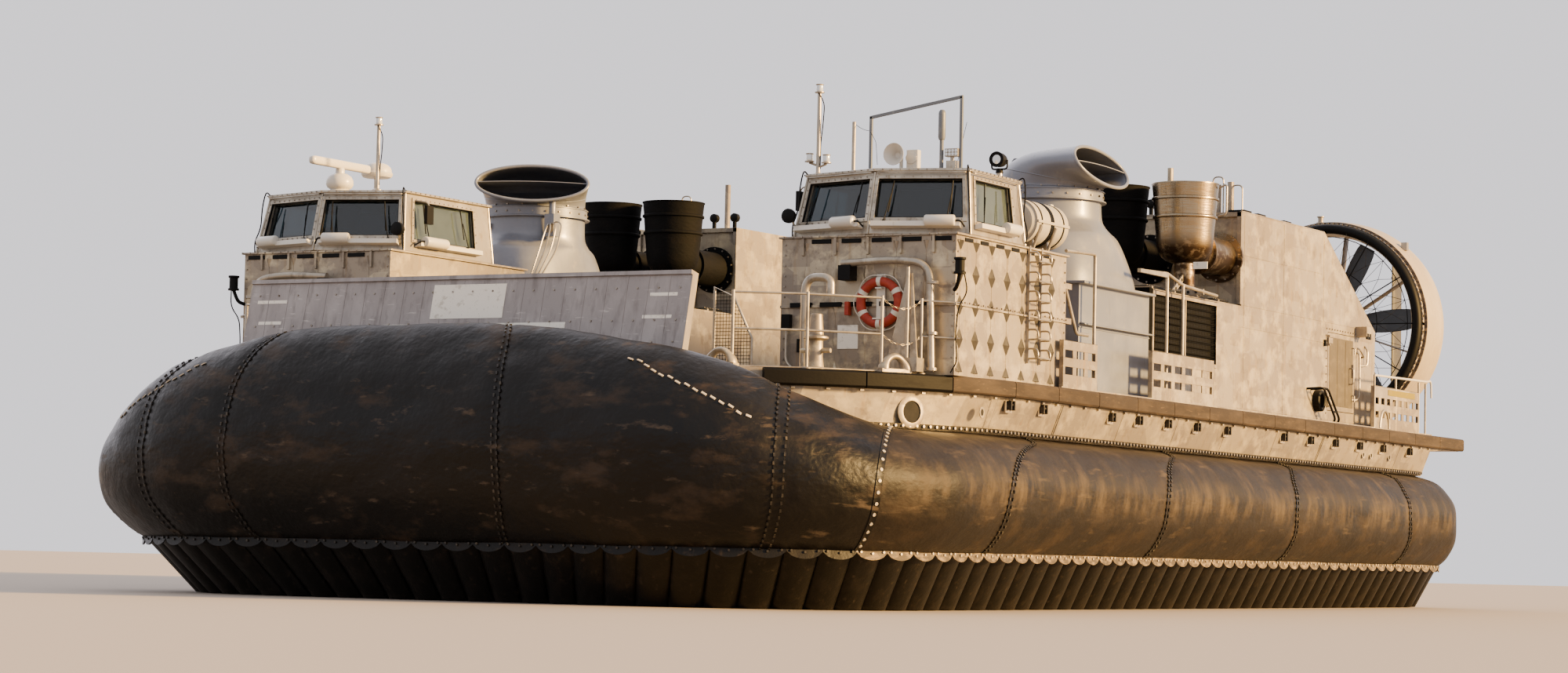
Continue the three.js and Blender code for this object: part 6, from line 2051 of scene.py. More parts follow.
@dataclass
class Exhausts:
    """The four exhaust pots on their elbows, with bands and wrapping."""

    places: tuple[tuple[str, float, float], ...] = (("outboard", 5.80, 1.13), ("inboard", 4.48, 1.20))
    # Radius and height of the pot's outer face, then of its bore
    outer: tuple[tuple[float, float], ...] = (
        (0.0, 5.90), (0.14, 5.902), (0.23, 5.915), (0.33, 5.955), (0.40, 6.01), (0.455, 6.10), (0.48, 6.20),
        (0.493, 6.30), (0.50, 6.40), (0.525, 6.665), (0.545, 6.67), (0.556, 6.68), (0.556, 6.71),
        (0.545, 6.722), (0.53, 6.73), (0.548, 6.985), (0.566, 6.99), (0.578, 7.0), (0.578, 7.03),
        (0.566, 7.04), (0.552, 7.045), (0.574, 7.26), (0.586, 7.262), (0.586, 7.28))
    bore: tuple[tuple[float, float], ...] = (
        (0.556, 7.28), (0.53, 7.0), (0.50, 6.70), (0.45, 6.25), (0.33, 6.10), (0.0, 6.06))
    elbow_r: float = 0.33
    elbow_z: float = 6.15
    bulkhead_y: float = 2.7997
    deck_z: float = 5.3003

    def build(self) -> None:
        """Make the pots, pipes and feet."""
        for side in Side:
            for place, x, y in self.places:
                bright = side is Side.PORT and place == "outboard"
                self.pot(side, place, x, y, STAINLESS if bright else SOOT_BLACK)

    def pot(self, side: Side, place: str, x: float, y: float, finish: Finish) -> None:
        """Make one uptake.

        Args:
            side: The side it stands on.
            place: Its word for the names.
            x: Where it stands.
            y: Where it stands.
            finish: What its outside is made of.
        """
        word = f"{place}_{side.word}"
        shell = Shape().lathe([*self.outer, *self.bore], (x, y, 0), sides=72)
        shell.mirrored(side).piece(f"exhaust_pot_{word}", finish, replaces=[f"exhaust_{word}"], sharp=50,
                                   slot="stainless" if finish is STAINLESS else "soot_black")
        pipe = Shape()
        reach = self.bulkhead_y - 0.003 - y
        r = self.elbow_r
        profile = [
            (0.1, 0.1), (r, 0.1), (r, 0.52), (r + 0.05, 0.53), (r + 0.05, 0.58), (r, 0.59),
            (r, reach - 0.09), (r + 0.11, reach - 0.08), (r + 0.11, reach - 0.02), (0.1, reach - 0.02)]
        pipe.lathe(profile, (x, y, self.elbow_z), "Y", sides=48)
        foot = [(0.1, self.deck_z), (0.3, self.deck_z), (0.3, self.deck_z + 0.03), (0.18, self.deck_z + 0.05),
                (0.18, 5.93)]
        pipe.lathe(foot, (x, y, 0), sides=32)
        pipe.mirrored(side).piece(
            f"exhaust_pipe_{word}", SOOT_BLACK if finish is SOOT_BLACK else STAINLESS, sharp=50)
        bolts = Repeats(
            f"exhaust_pipe_bolts_{word}", Form.HEX_HEAD, (0.035, 0.035, 0.03), FASTENER, spacing=0.16)
        ring = [(side.value * (x + (r + 0.075) * math.cos(a)), self.bulkhead_y - 0.085,
                 self.elbow_z + (r + 0.075) * math.sin(a)) for a in circle(36, closed=True)]
        bolts.path(ring, (0, -1, 0))
        bolts.piece()
        if finish is STAINLESS:
            self.brace(x, y)

    def brace(self, x: float, y: float) -> None:
        """Add the perforated brace, the lifting eye and the blank sign by the bright pot.

        Args:
            x: Where the pot stands.
            y: Where the pot stands.
        """
        channel = Shape()
        holes = Repeats("exhaust_brace_holes", Form.ROUND_HEAD, (0.05, 0.05, 0.012), DARK_GAP)
        for a, b in (((x + 0.05, y - 0.62, 5.36), (x + 0.05, y + 0.42, 6.02)),
                     ((x - 0.5, y - 0.62, 5.36), (x + 0.62, y - 0.62, 5.36))):
            start, end = Vector(a), Vector(b)
            way = (end - start).normalized()
            level = Vector((0, 1, 0)) if abs(way.y) < 0.5 else Vector((1, 0, 0))
            across = way.cross(level).normalized() * 0.05
            face = way.cross(across).normalized()
            channel.slab([start - across, end - across, end + across, start + across], face * 0.03)
            for k in range(1, 8):
                at = start.lerp(end, k / 8)
                holes.place(at - face * 0.003, -face)
                holes.place(at + face * 0.033, face)
        eye = rounded([(x + 0.58, y + 0.1, 7.2), (x + 0.72, y + 0.1, 7.28), (x + 0.72, y + 0.1, 6.75),
                       (x + 0.58, y + 0.1, 6.72)], 0.08)
        channel.tube(eye, 0.018, 8)
        channel.piece("exhaust_brace", BRIGHT_PLATE, bevel=0.003)
        holes.piece()
        sign = Shape().block((x + 0.30, y - 0.35, 5.78), (x + 0.56, y - 0.335, 5.9))
        sign.piece("exhaust_blank_sign", WHITE_PLATE, bevel=0.002)


@dataclass
class EngineHouse:
    """The engine and intake houses' fittings: welds, roof lugs, bolted bulkhead, grille, pipes and door."""

    x: float = 6.2
    front: float = 2.8
    aft: float = 9.9
    knee: tuple[float, float] = (7.02, 6.97)
    top: float = 6.95
    shoulder: float = 5.3
    welds_up: tuple[tuple[float, float, float], ...] = (
        (2.93, 3.5, 6.9), (4.9, 3.45, 6.93), (7.0, 5.2, 6.9), (1.7, 3.6, 5.3), (9.75, 3.5, 4.9))
    welds_along: tuple[tuple[float, float, float], ...] = (
        (2.85, 7.1, 4.93), (-1.2, 2.8, 5.28), (2.9, 9.3, 5.32), (1.7, 9.7, 3.5), (2.9, 6.9, 6.2))
    lugs: tuple[float, ...] = (3.2, 3.9, 5.2, 6.35)
    inboard: float = 4.0
    intake_front: float = -1.345

    def build(self) -> None:
        """Dress the houses on both sides."""
        trim, dark, pipes = Shape(), Shape(), Shape()
        self.welds(trim)
        self.roof(trim, dark)
        self.bulkhead(trim)
        self.grille(trim, dark)
        self.deck_fittings(pipes, dark)
        bolts = Repeats("house_bolts_port", Form.HEX_HEAD, (0.03, 0.03, 0.02), FASTENER, spacing=0.14)
        face, wall = self.front - 0.01, self.x + 0.006
        bolts.path([(6.12, face, 5.4), (6.12, face, 6.88), (4.1, face, 6.88)], (0, -1, 0))
        bolts.path([(wall, 7.16, 3.62), (wall, 7.16, 5.2), (wall, 8.78, 5.2)], (1, 0, 0))
        for side in Side:
            trim.mirrored(side).piece(f"house_trim_{side.word}", BARE_PLATE, bevel=0.003)
            # these include black sheets and blocks painted as shade inside the intakes
            dark.mirrored(side).piece(f"house_dark_fittings_{side.word}", BLACK_CASTING, bevel=0.003)
            pipes.mirrored(side).piece(f"house_pipes_{side.word}", BRIGHT_PLATE)
            bolts.both(side).piece()
            self.door(side)

    def welds(self, trim: Shape) -> None:
        """Lay weld beads up and along the plating."""
        for y, low, high in self.welds_up:
            trim.block((self.x - 0.01, y - 0.009, low), (self.x + 0.006, y + 0.009, high))
        for start, end, z in self.welds_along:
            trim.block((self.x - 0.01, start, z - 0.009), (self.x + 0.006, end, z + 0.009))

    def roof(self, trim: Shape, dark: Shape) -> None:
        """Edge the roof and set the lifting lugs and small lamps on it.

        Args:
            trim: The plate-coloured trim.
            dark: The black fittings.
        """
        (knee_y, knee_z), x = self.knee, self.x
        edge = [(x - 0.02, self.front, self.top + 0.01), (x - 0.02, knee_y, knee_z + 0.01),
                (x - 0.02, self.aft, self.shoulder + 0.01)]
        trim.tube(edge, 0.02, 8)
        for y in self.lugs:
            dark.block((x - 0.35, y - 0.18, self.top), (x - 0.05, y + 0.18, self.top + 0.07))
        for lamp_x, lamp_y in ((4.3, 3.2), (4.75, 3.2)):
            dark.block(
                (lamp_x - 0.03, lamp_y - 0.03, self.top), (lamp_x + 0.03, lamp_y + 0.03, self.top + 0.2))
            dark.lathe([(0.05, -0.06), (0.085, -0.04), (0.085, 0.06), (0.04, 0.08)],
                       (lamp_x, lamp_y, self.top + 0.24), "Y", 18)

    def bulkhead(self, trim: Shape) -> None:
        """Stiffen the bulkhead that the exhaust pipes run into.

        Args:
            trim: The plate-coloured trim.
        """
        y = self.front
        for x in (4.0, 6.12):
            trim.block((x, y - 0.05, self.shoulder + 0.02), (x + 0.08, y, self.top))
        trim.block((4.0, y - 0.05, self.top - 0.08), (6.2, y, self.top))
        for x in (4.9, 5.25):
            trim.block((x - 0.02, y - 0.03, self.shoulder + 0.02), (x + 0.02, y, self.top - 0.05))

    def grille(self, trim: Shape, dark: Shape) -> None:
        """Frame the intake grille and hang a fine mesh in front of its slats.

        Args:
            trim: The frame.
            dark: The mesh, the black sheet behind it, and the black blocks under the roof slats; the sheet
                and the blocks are painted shade of the intakes.
        """
        x, low, high, front, aft = self.x, 4.19, 5.2, -1.18, 1.6
        for a, b in (
            ((x, front - 0.05, high), (x + 0.02, aft + 0.05, high + 0.06)),
            ((x, front - 0.05, low - 0.06), (x + 0.02, aft + 0.05, low)),
            ((x, aft, low), (x + 0.02, aft + 0.06, high)),
            ((x, front - 0.06, low), (x + 0.02, front, high)),
            ((x - 0.03, 0.18, low), (x + 0.015, 0.23, high))):
            trim.block(a, b)
        for k in range(1, 34):
            z = low + (high - low) * k / 34
            dark.block((x - 0.02, front, z - 0.003), (x - 0.014, aft, z + 0.003))
        for k in range(1, 56):
            y = front + (aft - front) * k / 56
            dark.block((x - 0.022, y - 0.003, low), (x - 0.016, y + 0.003, high))
        # black sheet behind the mesh: painted shade of the intake behind it
        dark.block((x - 0.088, front + 0.01, low + 0.01), (x - 0.08, aft - 0.01, high - 0.01))
        for start, end, foot, head in (
            (aft + 0.06, self.front - 0.004, 3.41, 5.296), (front - 0.06, aft + 0.06, 3.41, 4.13)):
            trim.block((x - 0.002, start, foot), (x + 0.004, end, head))
        inner, face, back = self.inboard, self.intake_front, self.front - 0.004
        trim.block((inner - 0.004, face, 3.41), (inner + 0.002, back, 5.296))
        for k in range(4):
            y = lerp(face + 0.1, back - 0.1, k / 4)
            trim.block((inner, y, 5.29), (x, y + 0.05, 5.33))
            # black block under the slats: painted shade of the roof intake's opening
            dark.block((inner + 0.12, y + 0.14, 5.29), (x - 0.12, y + 0.78, 5.36))
            for slat in range(6):
                at = y + 0.17 + 0.1 * slat
                trim.block((inner + 0.16, at, 5.35), (x - 0.16, at + 0.03, 5.372))

    def deck_fittings(self, pipes: Shape, dark: Shape) -> None:
        """Add the ring fixture, its guard, the conduit by the door and the lamp's cells.

        Args:
            pipes: The bright pipes.
            dark: The black fittings.
        """
        x, y, z = self.x, 6.64, 3.82
        spot = Matrix.Translation((x + 0.03, y, z)) @ Matrix.Rotation(math.radians(90), 4, "Y")
        ring = [(0.13, -0.03), (0.2, -0.03), (0.2, 0.09), (0.16, 0.11), (0.13, 0.09)]
        dark.join(Shape().lathe(ring, (0, 0, 0), sides=28, closed=True).moved(spot))
        guard = [(x, 6.3, 4.02), (x + 0.3, 6.38, 4.04), (x + 0.3, 7.02, 3.5), (x + 0.26, 7.05, 3.43)]
        for shift in (-0.16, 0.06):
            dark.tube(rounded([(a, b + shift, c) for a, b, c in guard], 0.08), 0.022, 8)
        dark.tube([(x + 0.29, 6.24, 4.03), (x + 0.29, 6.46, 4.03)], 0.018, 8)
        dark.tube([(x + 0.3, 6.74, 3.62), (x + 0.3, 6.96, 3.62)], 0.018, 8)
        for path in ([(x, 8.86, 4.86), (x + 0.06, 8.86, 4.8), (x + 0.06, 8.86, 4.0), (x + 0.06, 8.7, 3.93),
                      (x, 8.6, 3.93)],
                     [(x, 9.3, 5.0), (x + 0.07, 9.3, 4.9), (x + 0.07, 9.26, 4.62), (x, 9.0, 4.6)],
                     [(x, 8.9, 4.94), (x + 0.06, 8.9, 4.9), (x + 0.06, 9.1, 4.78), (x, 9.2, 4.78)]):
            pipes.tube(rounded(path, 0.07), 0.018, 8)
        for pipe_x, high in ((5.50, 7.66), (5.86, 7.5)):
            hoop = [(pipe_x + dx, 3.4, up) for dx, up in (
                (-0.1, self.top), (-0.1, high), (0.1, high), (0.1, self.top))]
            pipes.tube(rounded(hoop, 0.09, 6), 0.014, 8)
        for dy in (-0.062, 0.062):
            dark.block((x + 0.2, 8.9 + dy - 0.045, 5.1), (x + 0.235, 8.9 + dy + 0.045, 5.21))
        dark.block((x, 8.78, 5.3), (x + 0.05, 9.02, 5.33))
        dark.block((x, 7.02, 4.86), (x + 0.04, 7.08, 4.98))

    def door(self, side: Side) -> None:
        """Add a raised panel, stiffeners and a D handle to one door, which swing with it.

        Args:
            side: The side it is on.
        """
        leaf, handle = Shape(), Shape()
        x = self.x + 0.004
        leaf.block((x - 0.01, 7.33, 3.77), (x + 0.008, 8.62, 5.05))
        for y in (7.75, 8.2):
            leaf.block((x, y - 0.012, 3.8), (x + 0.014, y + 0.012, 5.02))
        grip = [(x, 8.42, 4.52), (x + 0.09, 8.42, 4.52), (x + 0.09, 8.42, 4.22), (x, 8.42, 4.22)]
        handle.tube(rounded(grip, 0.05), 0.014, 8)
        for z in (3.95, 4.85):
            hinge = [(x, 8.56, z + 0.06), (x + 0.06, 8.56, z + 0.06), (x + 0.06, 8.56, z - 0.06)]
            handle.tube(rounded(hinge, 0.03), 0.012, 8)
        body = f"house_door_{side.word}"
        leaf.mirrored(side).piece(f"door_panel_{side.word}", DOOR_PANEL, body, bevel=0.004)
        handle.mirrored(side).piece(f"door_handles_{side.word}", BRIGHT_PLATE, body)


@dataclass
class Propulsion:
    """A propeller duct with its wire guard, vanes and hub, the propeller in it and the rudders behind it."""

    x: float = 4.33
    z: float = 5.64
    # Radius and y of the shroud's section
    shroud: tuple[tuple[float, float], ...] = (
        (2.03, 12.19), (2.036, 12.30), (2.042, 12.38), (2.09, 12.40), (2.118, 12.55), (2.135, 12.75),
        (2.145, 12.95), (2.145, 13.10), (2.13, 13.27), (2.11, 13.395), (2.09, 13.402), (2.07, 13.395),
        (2.0, 13.28), (1.86, 12.95), (1.82, 12.72), (1.805, 12.50), (1.81, 12.36), (1.84, 12.18))
    lip: tuple[tuple[float, float], ...] = (
        (1.84, 12.20), (1.865, 12.135), (1.90, 12.108), (1.94, 12.10), (1.98, 12.106), (2.015, 12.14),
        (2.033, 12.19), (2.036, 12.25), (1.83, 12.25))
    hub_front: float = 12.76
    vane_count: int = 7
    vane_first: float = 84.0
    nose_y: float = 12.28
    blade_count: int = 6
    blade_first: float = 64.0
    sweep: float = 0.55
    # Blade sections: radius, half chord, pitch in degrees, half thickness
    blade: tuple[tuple[float, float, float, float], ...] = (
        (0.20, 0.150, 62, 0.055), (0.60, 0.250, 48, 0.034), (1.20, 0.285, 34, 0.020),
        (1.76, 0.230, 25, 0.009))
    guard_y: float = 12.115
    guard_rings: tuple[float, ...] = (0.5, 0.82, 1.14, 1.46, 1.78)
    guard_bars: tuple[float, ...] = (0.32, 1.14, 1.78)
    guard_spokes: int = 24
    belt_teeth: int = 96
    tip_taper: float = 0.14  # length of blade over which the tip narrows
    rudder_offset: float = 1.0

    def build(self) -> None:
        """Make both ducts and all that is in them."""
        for side in Side:
            self.duct(side)
            self.wire_guard(side)
            self.propeller(side)
            self.rudders(side)

    def duct(self, side: Side) -> None:
        """Make one shroud with its lip, strip, hub, vanes and pedestal.

        Args:
            side: The side it stands on.
        """
        centre, word = (self.x, 0.0, self.z), side.word
        shroud = Shape().lathe(self.shroud, centre, "Y", 128, closed=True)
        shroud.mirrored(side).piece(f"duct_shroud_{word}", DUCT_GELCOAT, replaces=[f"duct_{word}"], sharp=40,
                                    slot="bare_aluminium")
        lip = Shape().lathe(self.lip, centre, "Y", 128, closed=True)
        lip.mirrored(side).piece(f"duct_lip_{word}", BLACK_CASTING, sharp=50)
        belt = Shape()
        belt.lathe(
            [(2.03, 12.235), (2.052, 12.235), (2.052, 12.26), (2.03, 12.26)], centre, "Y", 128, closed=True)
        belt.lathe(
            [(2.04, 12.372), (2.098, 12.378), (2.1, 12.402), (2.04, 12.402)], centre, "Y", 128, closed=True)
        belt.mirrored(side).piece(f"duct_belts_{word}", SKIRT_STRIP)
        teeth = Repeats(f"duct_teeth_{word}", Form.BLOCK, (0.05, 0.03, 0.02), FASTENER, spacing=0.1)
        studs = Repeats(f"duct_vents_{word}", Form.BLOCK, (0.05, 0.08, 0.012), LACING, spacing=0.16)
        angles = circle(self.belt_teeth, closed=True)
        for row, r, y in ((teeth, 2.055, 12.247), (studs, 2.044, 12.32)):
            row.path([(side.value * (self.x + r * math.cos(a)), y, self.z + r * math.sin(a)) for a in angles],
                     [(side.value * math.cos(a), 0, math.sin(a)) for a in angles])
            row.piece()
        self.stator(side)
        pillar = Shape()
        rows = []
        for k in range(17):
            x = lerp(-0.72, 0.72, k / 16)
            top = self.z - math.sqrt(1.98 ** 2 - x ** 2)
            rows.append([(self.x + x, y, z) for y, z in (
                (12.22, DECK_Z), (13.08, DECK_Z), (13.08, top + 0.02), (12.22, top + 0.02))])
        pillar.grid(rows, across=True, caps=True)
        for way in (-1, 1):
            for low, high in ((7.3203, 7.44), (3.84, 3.9597)):
                x = self.x + way * self.rudder_offset
                pillar.block((x - 0.08, 12.9, low), (x + 0.08, 13.65, high))
        pillar.mirrored(side).piece(f"duct_pedestal_{word}", BAY_GREY, bevel=0.01)
        top = Shape()
        lamp = [(0.075, 0), (0.09, 0.01), (0.09, 0.03), (0.055, 0.04), (0.055, 0.13), (0.075, 0.14),
                (0.075, 0.16)]
        top.lathe(lamp, (self.x - 0.3, 12.75, self.z + 2.1), sides=20)
        top.block((self.x + 1.43, 12.7, self.z + 1.52), (self.x + 1.55, 12.82, self.z + 1.68))
        top.mirrored(side).piece(f"duct_lamps_{word}", BRIGHT_PLATE)

    def stator(self, side: Side) -> None:
        """Make the hub with its cone and the seven vanes that hold it.

        Args:
            side: The side that the duct stands on.
        """
        word = side.word
        vanes = Shape()
        foil = ((12.80, 0.0), (12.84, 0.016), (12.94, 0.018), (13.08, 0.003), (13.08, -0.003),
                (12.94, -0.018), (12.84, -0.016))
        for i in range(self.vane_count):
            angle = math.radians(self.vane_first - 360 / self.vane_count * i)
            way = Vector((math.cos(angle), 0, math.sin(angle)))
            across = Vector((-math.sin(angle), 0, math.cos(angle)))
            rings = []
            for r in (0.22, 0.8, 1.35, 1.84):
                at = Vector((self.x, 0, self.z)) + way * r
                rings.append([at + Vector((0, y, 0)) + across * t for y, t in foil])
            vanes.grid(rings, across=True, caps=True)
        vanes.mirrored(side).piece(f"duct_vanes_{word}", VANE_PAINT, sharp=30)
        cone = [(0.1, 12.76), (0.27, 12.762), (0.28, 12.78), (0.28, 13.3), (0.26, 13.37), (0.2, 13.4),
                (0.05, 13.41)]
        hub = Shape().lathe(cone, (self.x, 0, self.z), "Y", 40)
        hub.mirrored(side).piece(f"duct_hub_{word}", BAY_GREY)

    def wire_guard(self, side: Side) -> None:
        """String the guard of radial bars and triangles of wire across the duct's mouth.

        Args:
            side: The side it stands on.
        """
        bars, wires = Shape(), Shape()

        def at(radius: float, angle: float) -> Vector:
            """A point of the guard, by its distance from the hub's axis and its angle."""
            return Vector(
                (self.x + radius * math.cos(angle), self.guard_y, self.z + radius * math.sin(angle)))

        step = 2 * math.pi / self.guard_spokes
        for k in range(self.guard_spokes):
            inner, outer = at(self.guard_bars[0], k * step), at(1.9, k * step)
            (bars if k % 2 == 0 else wires).tube([inner, outer], 0.013 if k % 2 == 0 else 0.005, 6)
            for i, (a, b) in enumerate(zip(self.guard_rings, self.guard_rings[1:])):
                turn = (k + (0.5 if i % 2 else 0)) * step
                wires.tube([at(a, turn), at(b, turn + step / 2)], 0.005, 4)
                wires.tube([at(a, turn), at(b, turn - step / 2)], 0.005, 4)
        for radius in self.guard_bars:
            bars.tube([at(radius, angle) for angle in circle(48)], 0.009, 6, closed=True)
        bars.mirrored(side).piece(f"guard_bars_{side.word}", BLACK_CASTING)
        wires.mirrored(side).piece(f"guard_wires_{side.word}", LACING)

    def propeller(self, side: Side) -> None:
        """Make one propeller: spinner, hub and six twisted blades.

        Args:
            side: The side it turns on.
        """
        middle = (self.nose_y + self.hub_front - 0.0003) / 2 + 0.06
        chords = (-1, -0.92, -0.7, -0.35, 0.05, 0.5, 0.8, 1)
        swell = (0.0, 0.35, 0.75, 1.0, 0.95, 0.6, 0.28, 0.0)
        table = [[(r, value[i]) for r, *value in self.blade] for i in range(3)]
        root, end = self.blade[0][0], self.blade[-1][0]
        blades = Shape()
        for n in range(self.blade_count):
            angle = math.radians(self.blade_first - 360 / self.blade_count * n)
            turn = Matrix.Translation((self.x, 0, self.z)) @ Matrix.Rotation(-angle, 4, "Y")
            rings = []
            for k in range(15):
                r = lerp(root, end, k / 14)
                half, pitch, thick = (read_table(column, r) for column in table)
                tip = max(0.0, 1 - (end - r) / self.tip_taper)
                half *= 1 - 0.12 * tip ** 2
                lean = math.radians(pitch)
                ring = []
                for sign in (1, -1):
                    ordered = zip(chords, swell) if sign == 1 else list(zip(chords, swell))[-2:0:-1]
                    for chord, share in ordered:
                        c, f = chord * half, sign * thick * share
                        ring.append(Vector((r, middle + c * math.sin(lean) * self.sweep + f * math.cos(lean),
                                            c * math.cos(lean) - f * math.sin(lean))))
                rings.append([turn @ point for point in ring])
            blades.grid(rings, across=True, caps=True)
        body, word = f"propeller_{side.word}", side.word
        blades.mirrored(side).piece(
            f"propeller_blades_{word}", BLADE_SHELL, body, replaces=[f"propeller_{word}"], sharp=40,
            slot="black_blade")
        nose = [(0.02, 12.282), (0.12, 12.29), (0.2, 12.32), (0.26, 12.38), (0.288, 12.46), (0.29, 12.74),
                (0.27, 12.7595), (0.05, 12.7595)]
        hub = Shape().lathe(nose, (self.x, 0, self.z), "Y", 40)
        hub.mirrored(side).piece(f"propeller_hub_{word}", BLACK_CASTING, body)

    def rudders(self, side: Side) -> None:
        """Make the two rudders behind one duct.

        Args:
            side: The side they are on.
        """
        for word, way in (("inboard", -1), ("outboard", 1)):
            x = self.x + way * self.rudder_offset
            section = [
                (0.0, 13.45), (0.018, 13.465), (0.035, 13.52), (0.035, 13.66), (0.024, 13.86),
                (0.007, 14.02)]
            ring = [*section, *[(-a, b) for a, b in reversed(section[1:])]]
            foil = Shape().grid(
                [[(x + a, b, z) for a, b in ring] for z in (4.0, 7.28)], across=True, caps=True)
            for z in (4.6, 5.64, 6.68):
                foil.block((x - 0.042, 13.5, z - 0.02), (x + 0.042, 13.72, z + 0.02))
            foil.lathe(
                [(0.005, 3.96), (0.032, 3.962), (0.032, 7.318), (0.005, 7.32)], (x, 13.56, 0), sides=20)
            name = f"rudder_{word}_{side.word}"
            foil.mirrored(side).piece(f"foil_{word}_{side.word}", BAY_GREY, name, replaces=[name], sharp=40,
                                      slot="bare_aluminium")


@dataclass
class DeckRails:
    """Rails, chains, slotted guards, pipe frames, the deck vent and the tow eyes of one side deck."""

    deck: float = DECK_Z
    posts: tuple[tuple[float, float], ...] = ((4.10, -11.55), (4.98, -10.95), (5.70, -10.03), (6.03, -9.42))
    mid: float = 3.95
    high: float = 4.47
    x: float = 6.56
    frame_x: float = 6.4
    # Start, end, height, columns of slots
    guards: tuple[tuple[float, float, float, int], ...] = (
        (-5.60, -4.30, 4.15, 3), (-2.08, 0.62, 4.20, 6), (8.83, 11.50, 4.22, 8))
    slot_rows: tuple[tuple[float, float], ...] = ((3.62, 3.74), (3.88, 4.0))
    stern_posts: tuple[float, ...] = (8.85, 10.1, 11.48, 11.9)
    eyes: tuple[tuple[float, float, float], ...] = ((3.935, -11.590, 0.0), (5.810, -9.830, 61.6))
    vent: tuple[float, float] = (4.95, -10.62)

    def build(self) -> None:
        """Make the deck's edge fittings on both sides."""
        tubes, plates, white, chain, mesh = Shape(), Shape(), Shape(), Shape(), Shape()
        self.bow_rails(tubes, plates, chain)
        self.side_guards(plates)
        self.pipes(tubes, white)
        self.tow_eyes(plates)
        self.mesh_guard(tubes, mesh)
        for side in Side:
            word = side.word
            tubes.mirrored(side).piece(f"deck_rails_{word}", BRIGHT_PLATE, replaces=[
                f"rails_bow_{word}", f"rails_side_{word}"], slot="bare_aluminium")
            plates.mirrored(side).piece(f"deck_guards_{word}", BARE_PLATE, bevel=0.004)
            white.mirrored(side).piece(f"stern_hand_rail_{word}", WHITE_ENAMEL)
            chain.mirrored(side).piece(f"deck_chains_{word}", FASTENER)
            mesh.mirrored(side).piece(f"bow_mesh_guard_{word}", BLACK_CASTING)
            yellow = Shape().block((self.x + 0.012, 9.62, 4.07), (self.x + 0.02, 11.2, 4.18))
            yellow.mirrored(side).piece(f"stern_blank_plate_{word}", YELLOW_PLATE)

    def bow_rails(self, tubes: Shape, plates: Shape, chain: Shape) -> None:
        """Set the posts, the rails between them and the two chains that close the gap.

        Args:
            tubes: The bright tubes.
            plates: The plate-coloured fittings.
            chain: The chains.
        """
        for x, y in self.posts:
            tubes.tube([(x, y, self.deck), (x, y, self.high + 0.03)], 0.024, 12)
            plates.lathe([(0.02, 0), (0.07, 0), (0.07, 0.015), (0.03, 0.03)], (x, y, self.deck), sides=16)
        for z in (self.mid, self.high):
            tubes.tube([(x, y, z) for x, y in self.posts[:3]], 0.017, 10)
            last = self.posts[-1]
            tubes.tube([(*last, z), (6.5, -9.12, z - 0.02)], 0.017, 10)
            a, b = (*self.posts[2], z), (*last, z)
            self.links(chain, sagging(a, b, 0.14, 14))
        for a, b in zip(self.posts, self.posts[1:]):
            plates.tube([(*a, self.deck + 0.015), (*b, self.deck + 0.015)], 0.015, 6)
        x, y = self.vent
        stack = [
            (0.1, 0), (0.24, 0), (0.24, 0.025), (0.12, 0.04), (0.1, 0.2), (0.1, 0.42), (0.18, 0.45),
            (0.18, 0.48), (0.11, 0.5), (0.085, 0.8), (0.07, 0.81)]
        plates.lathe(stack, (x, y, self.deck), sides=28)
        for way in (-1, 1):
            plates.tube([(x, y, self.deck + 0.28), (x + way * 0.24, y, self.deck + 0.28)], 0.035, 12)

    def links(self, chain: Shape, line: Sequence[Vector]) -> None:
        """Thread oval links along a line, each turned square to the last.

        Args:
            chain: The shape that gathers the links.
            line: The line.
        """
        for i, (a, b) in enumerate(zip(line, line[1:])):
            middle, way = (a + b) / 2, (b - a) * 0.62
            side = way.cross(Vector((0, 0, 1))).normalized() * 0.012
            if i % 2:
                side = side.cross(way.normalized())
            loop = [middle + way * math.cos(t) + side * math.sin(t) for t in circle(10)]
            chain.tube(loop, 0.0045, 5, closed=True)

    def side_guards(self, plates: Shape) -> None:
        """Build each guard from bars, so that its slots are open.

        Args:
            plates: The plate-coloured fittings.
        """
        x0, x1 = self.x - 0.01, self.x + 0.012
        for start, end, high, columns in self.guards:
            edges = [self.deck, *[z for row in self.slot_rows for z in row], high]
            for low, top in zip(edges[::2], edges[1::2]):
                plates.block((x0, start, low), (x1, end, top))
            pitch = (end - start) / columns
            for low, top in self.slot_rows:
                for k in range(columns + 1):
                    y = start + k * pitch
                    plates.block(
                        (x0, max(start, y - 0.07), low - 0.001), (x1, min(end, y + 0.07), top + 0.001))
            plates.block((x0 - 0.05, start, high - 0.012), (x1, end, high))
            for y in (start, end - 0.012):
                plates.block((x0 - 0.05, y, self.deck), (x1, y + 0.012, high))
        plates.block((self.x - 0.015, -5.65, self.deck), (self.x + 0.015, 12.3, self.deck + 0.03))

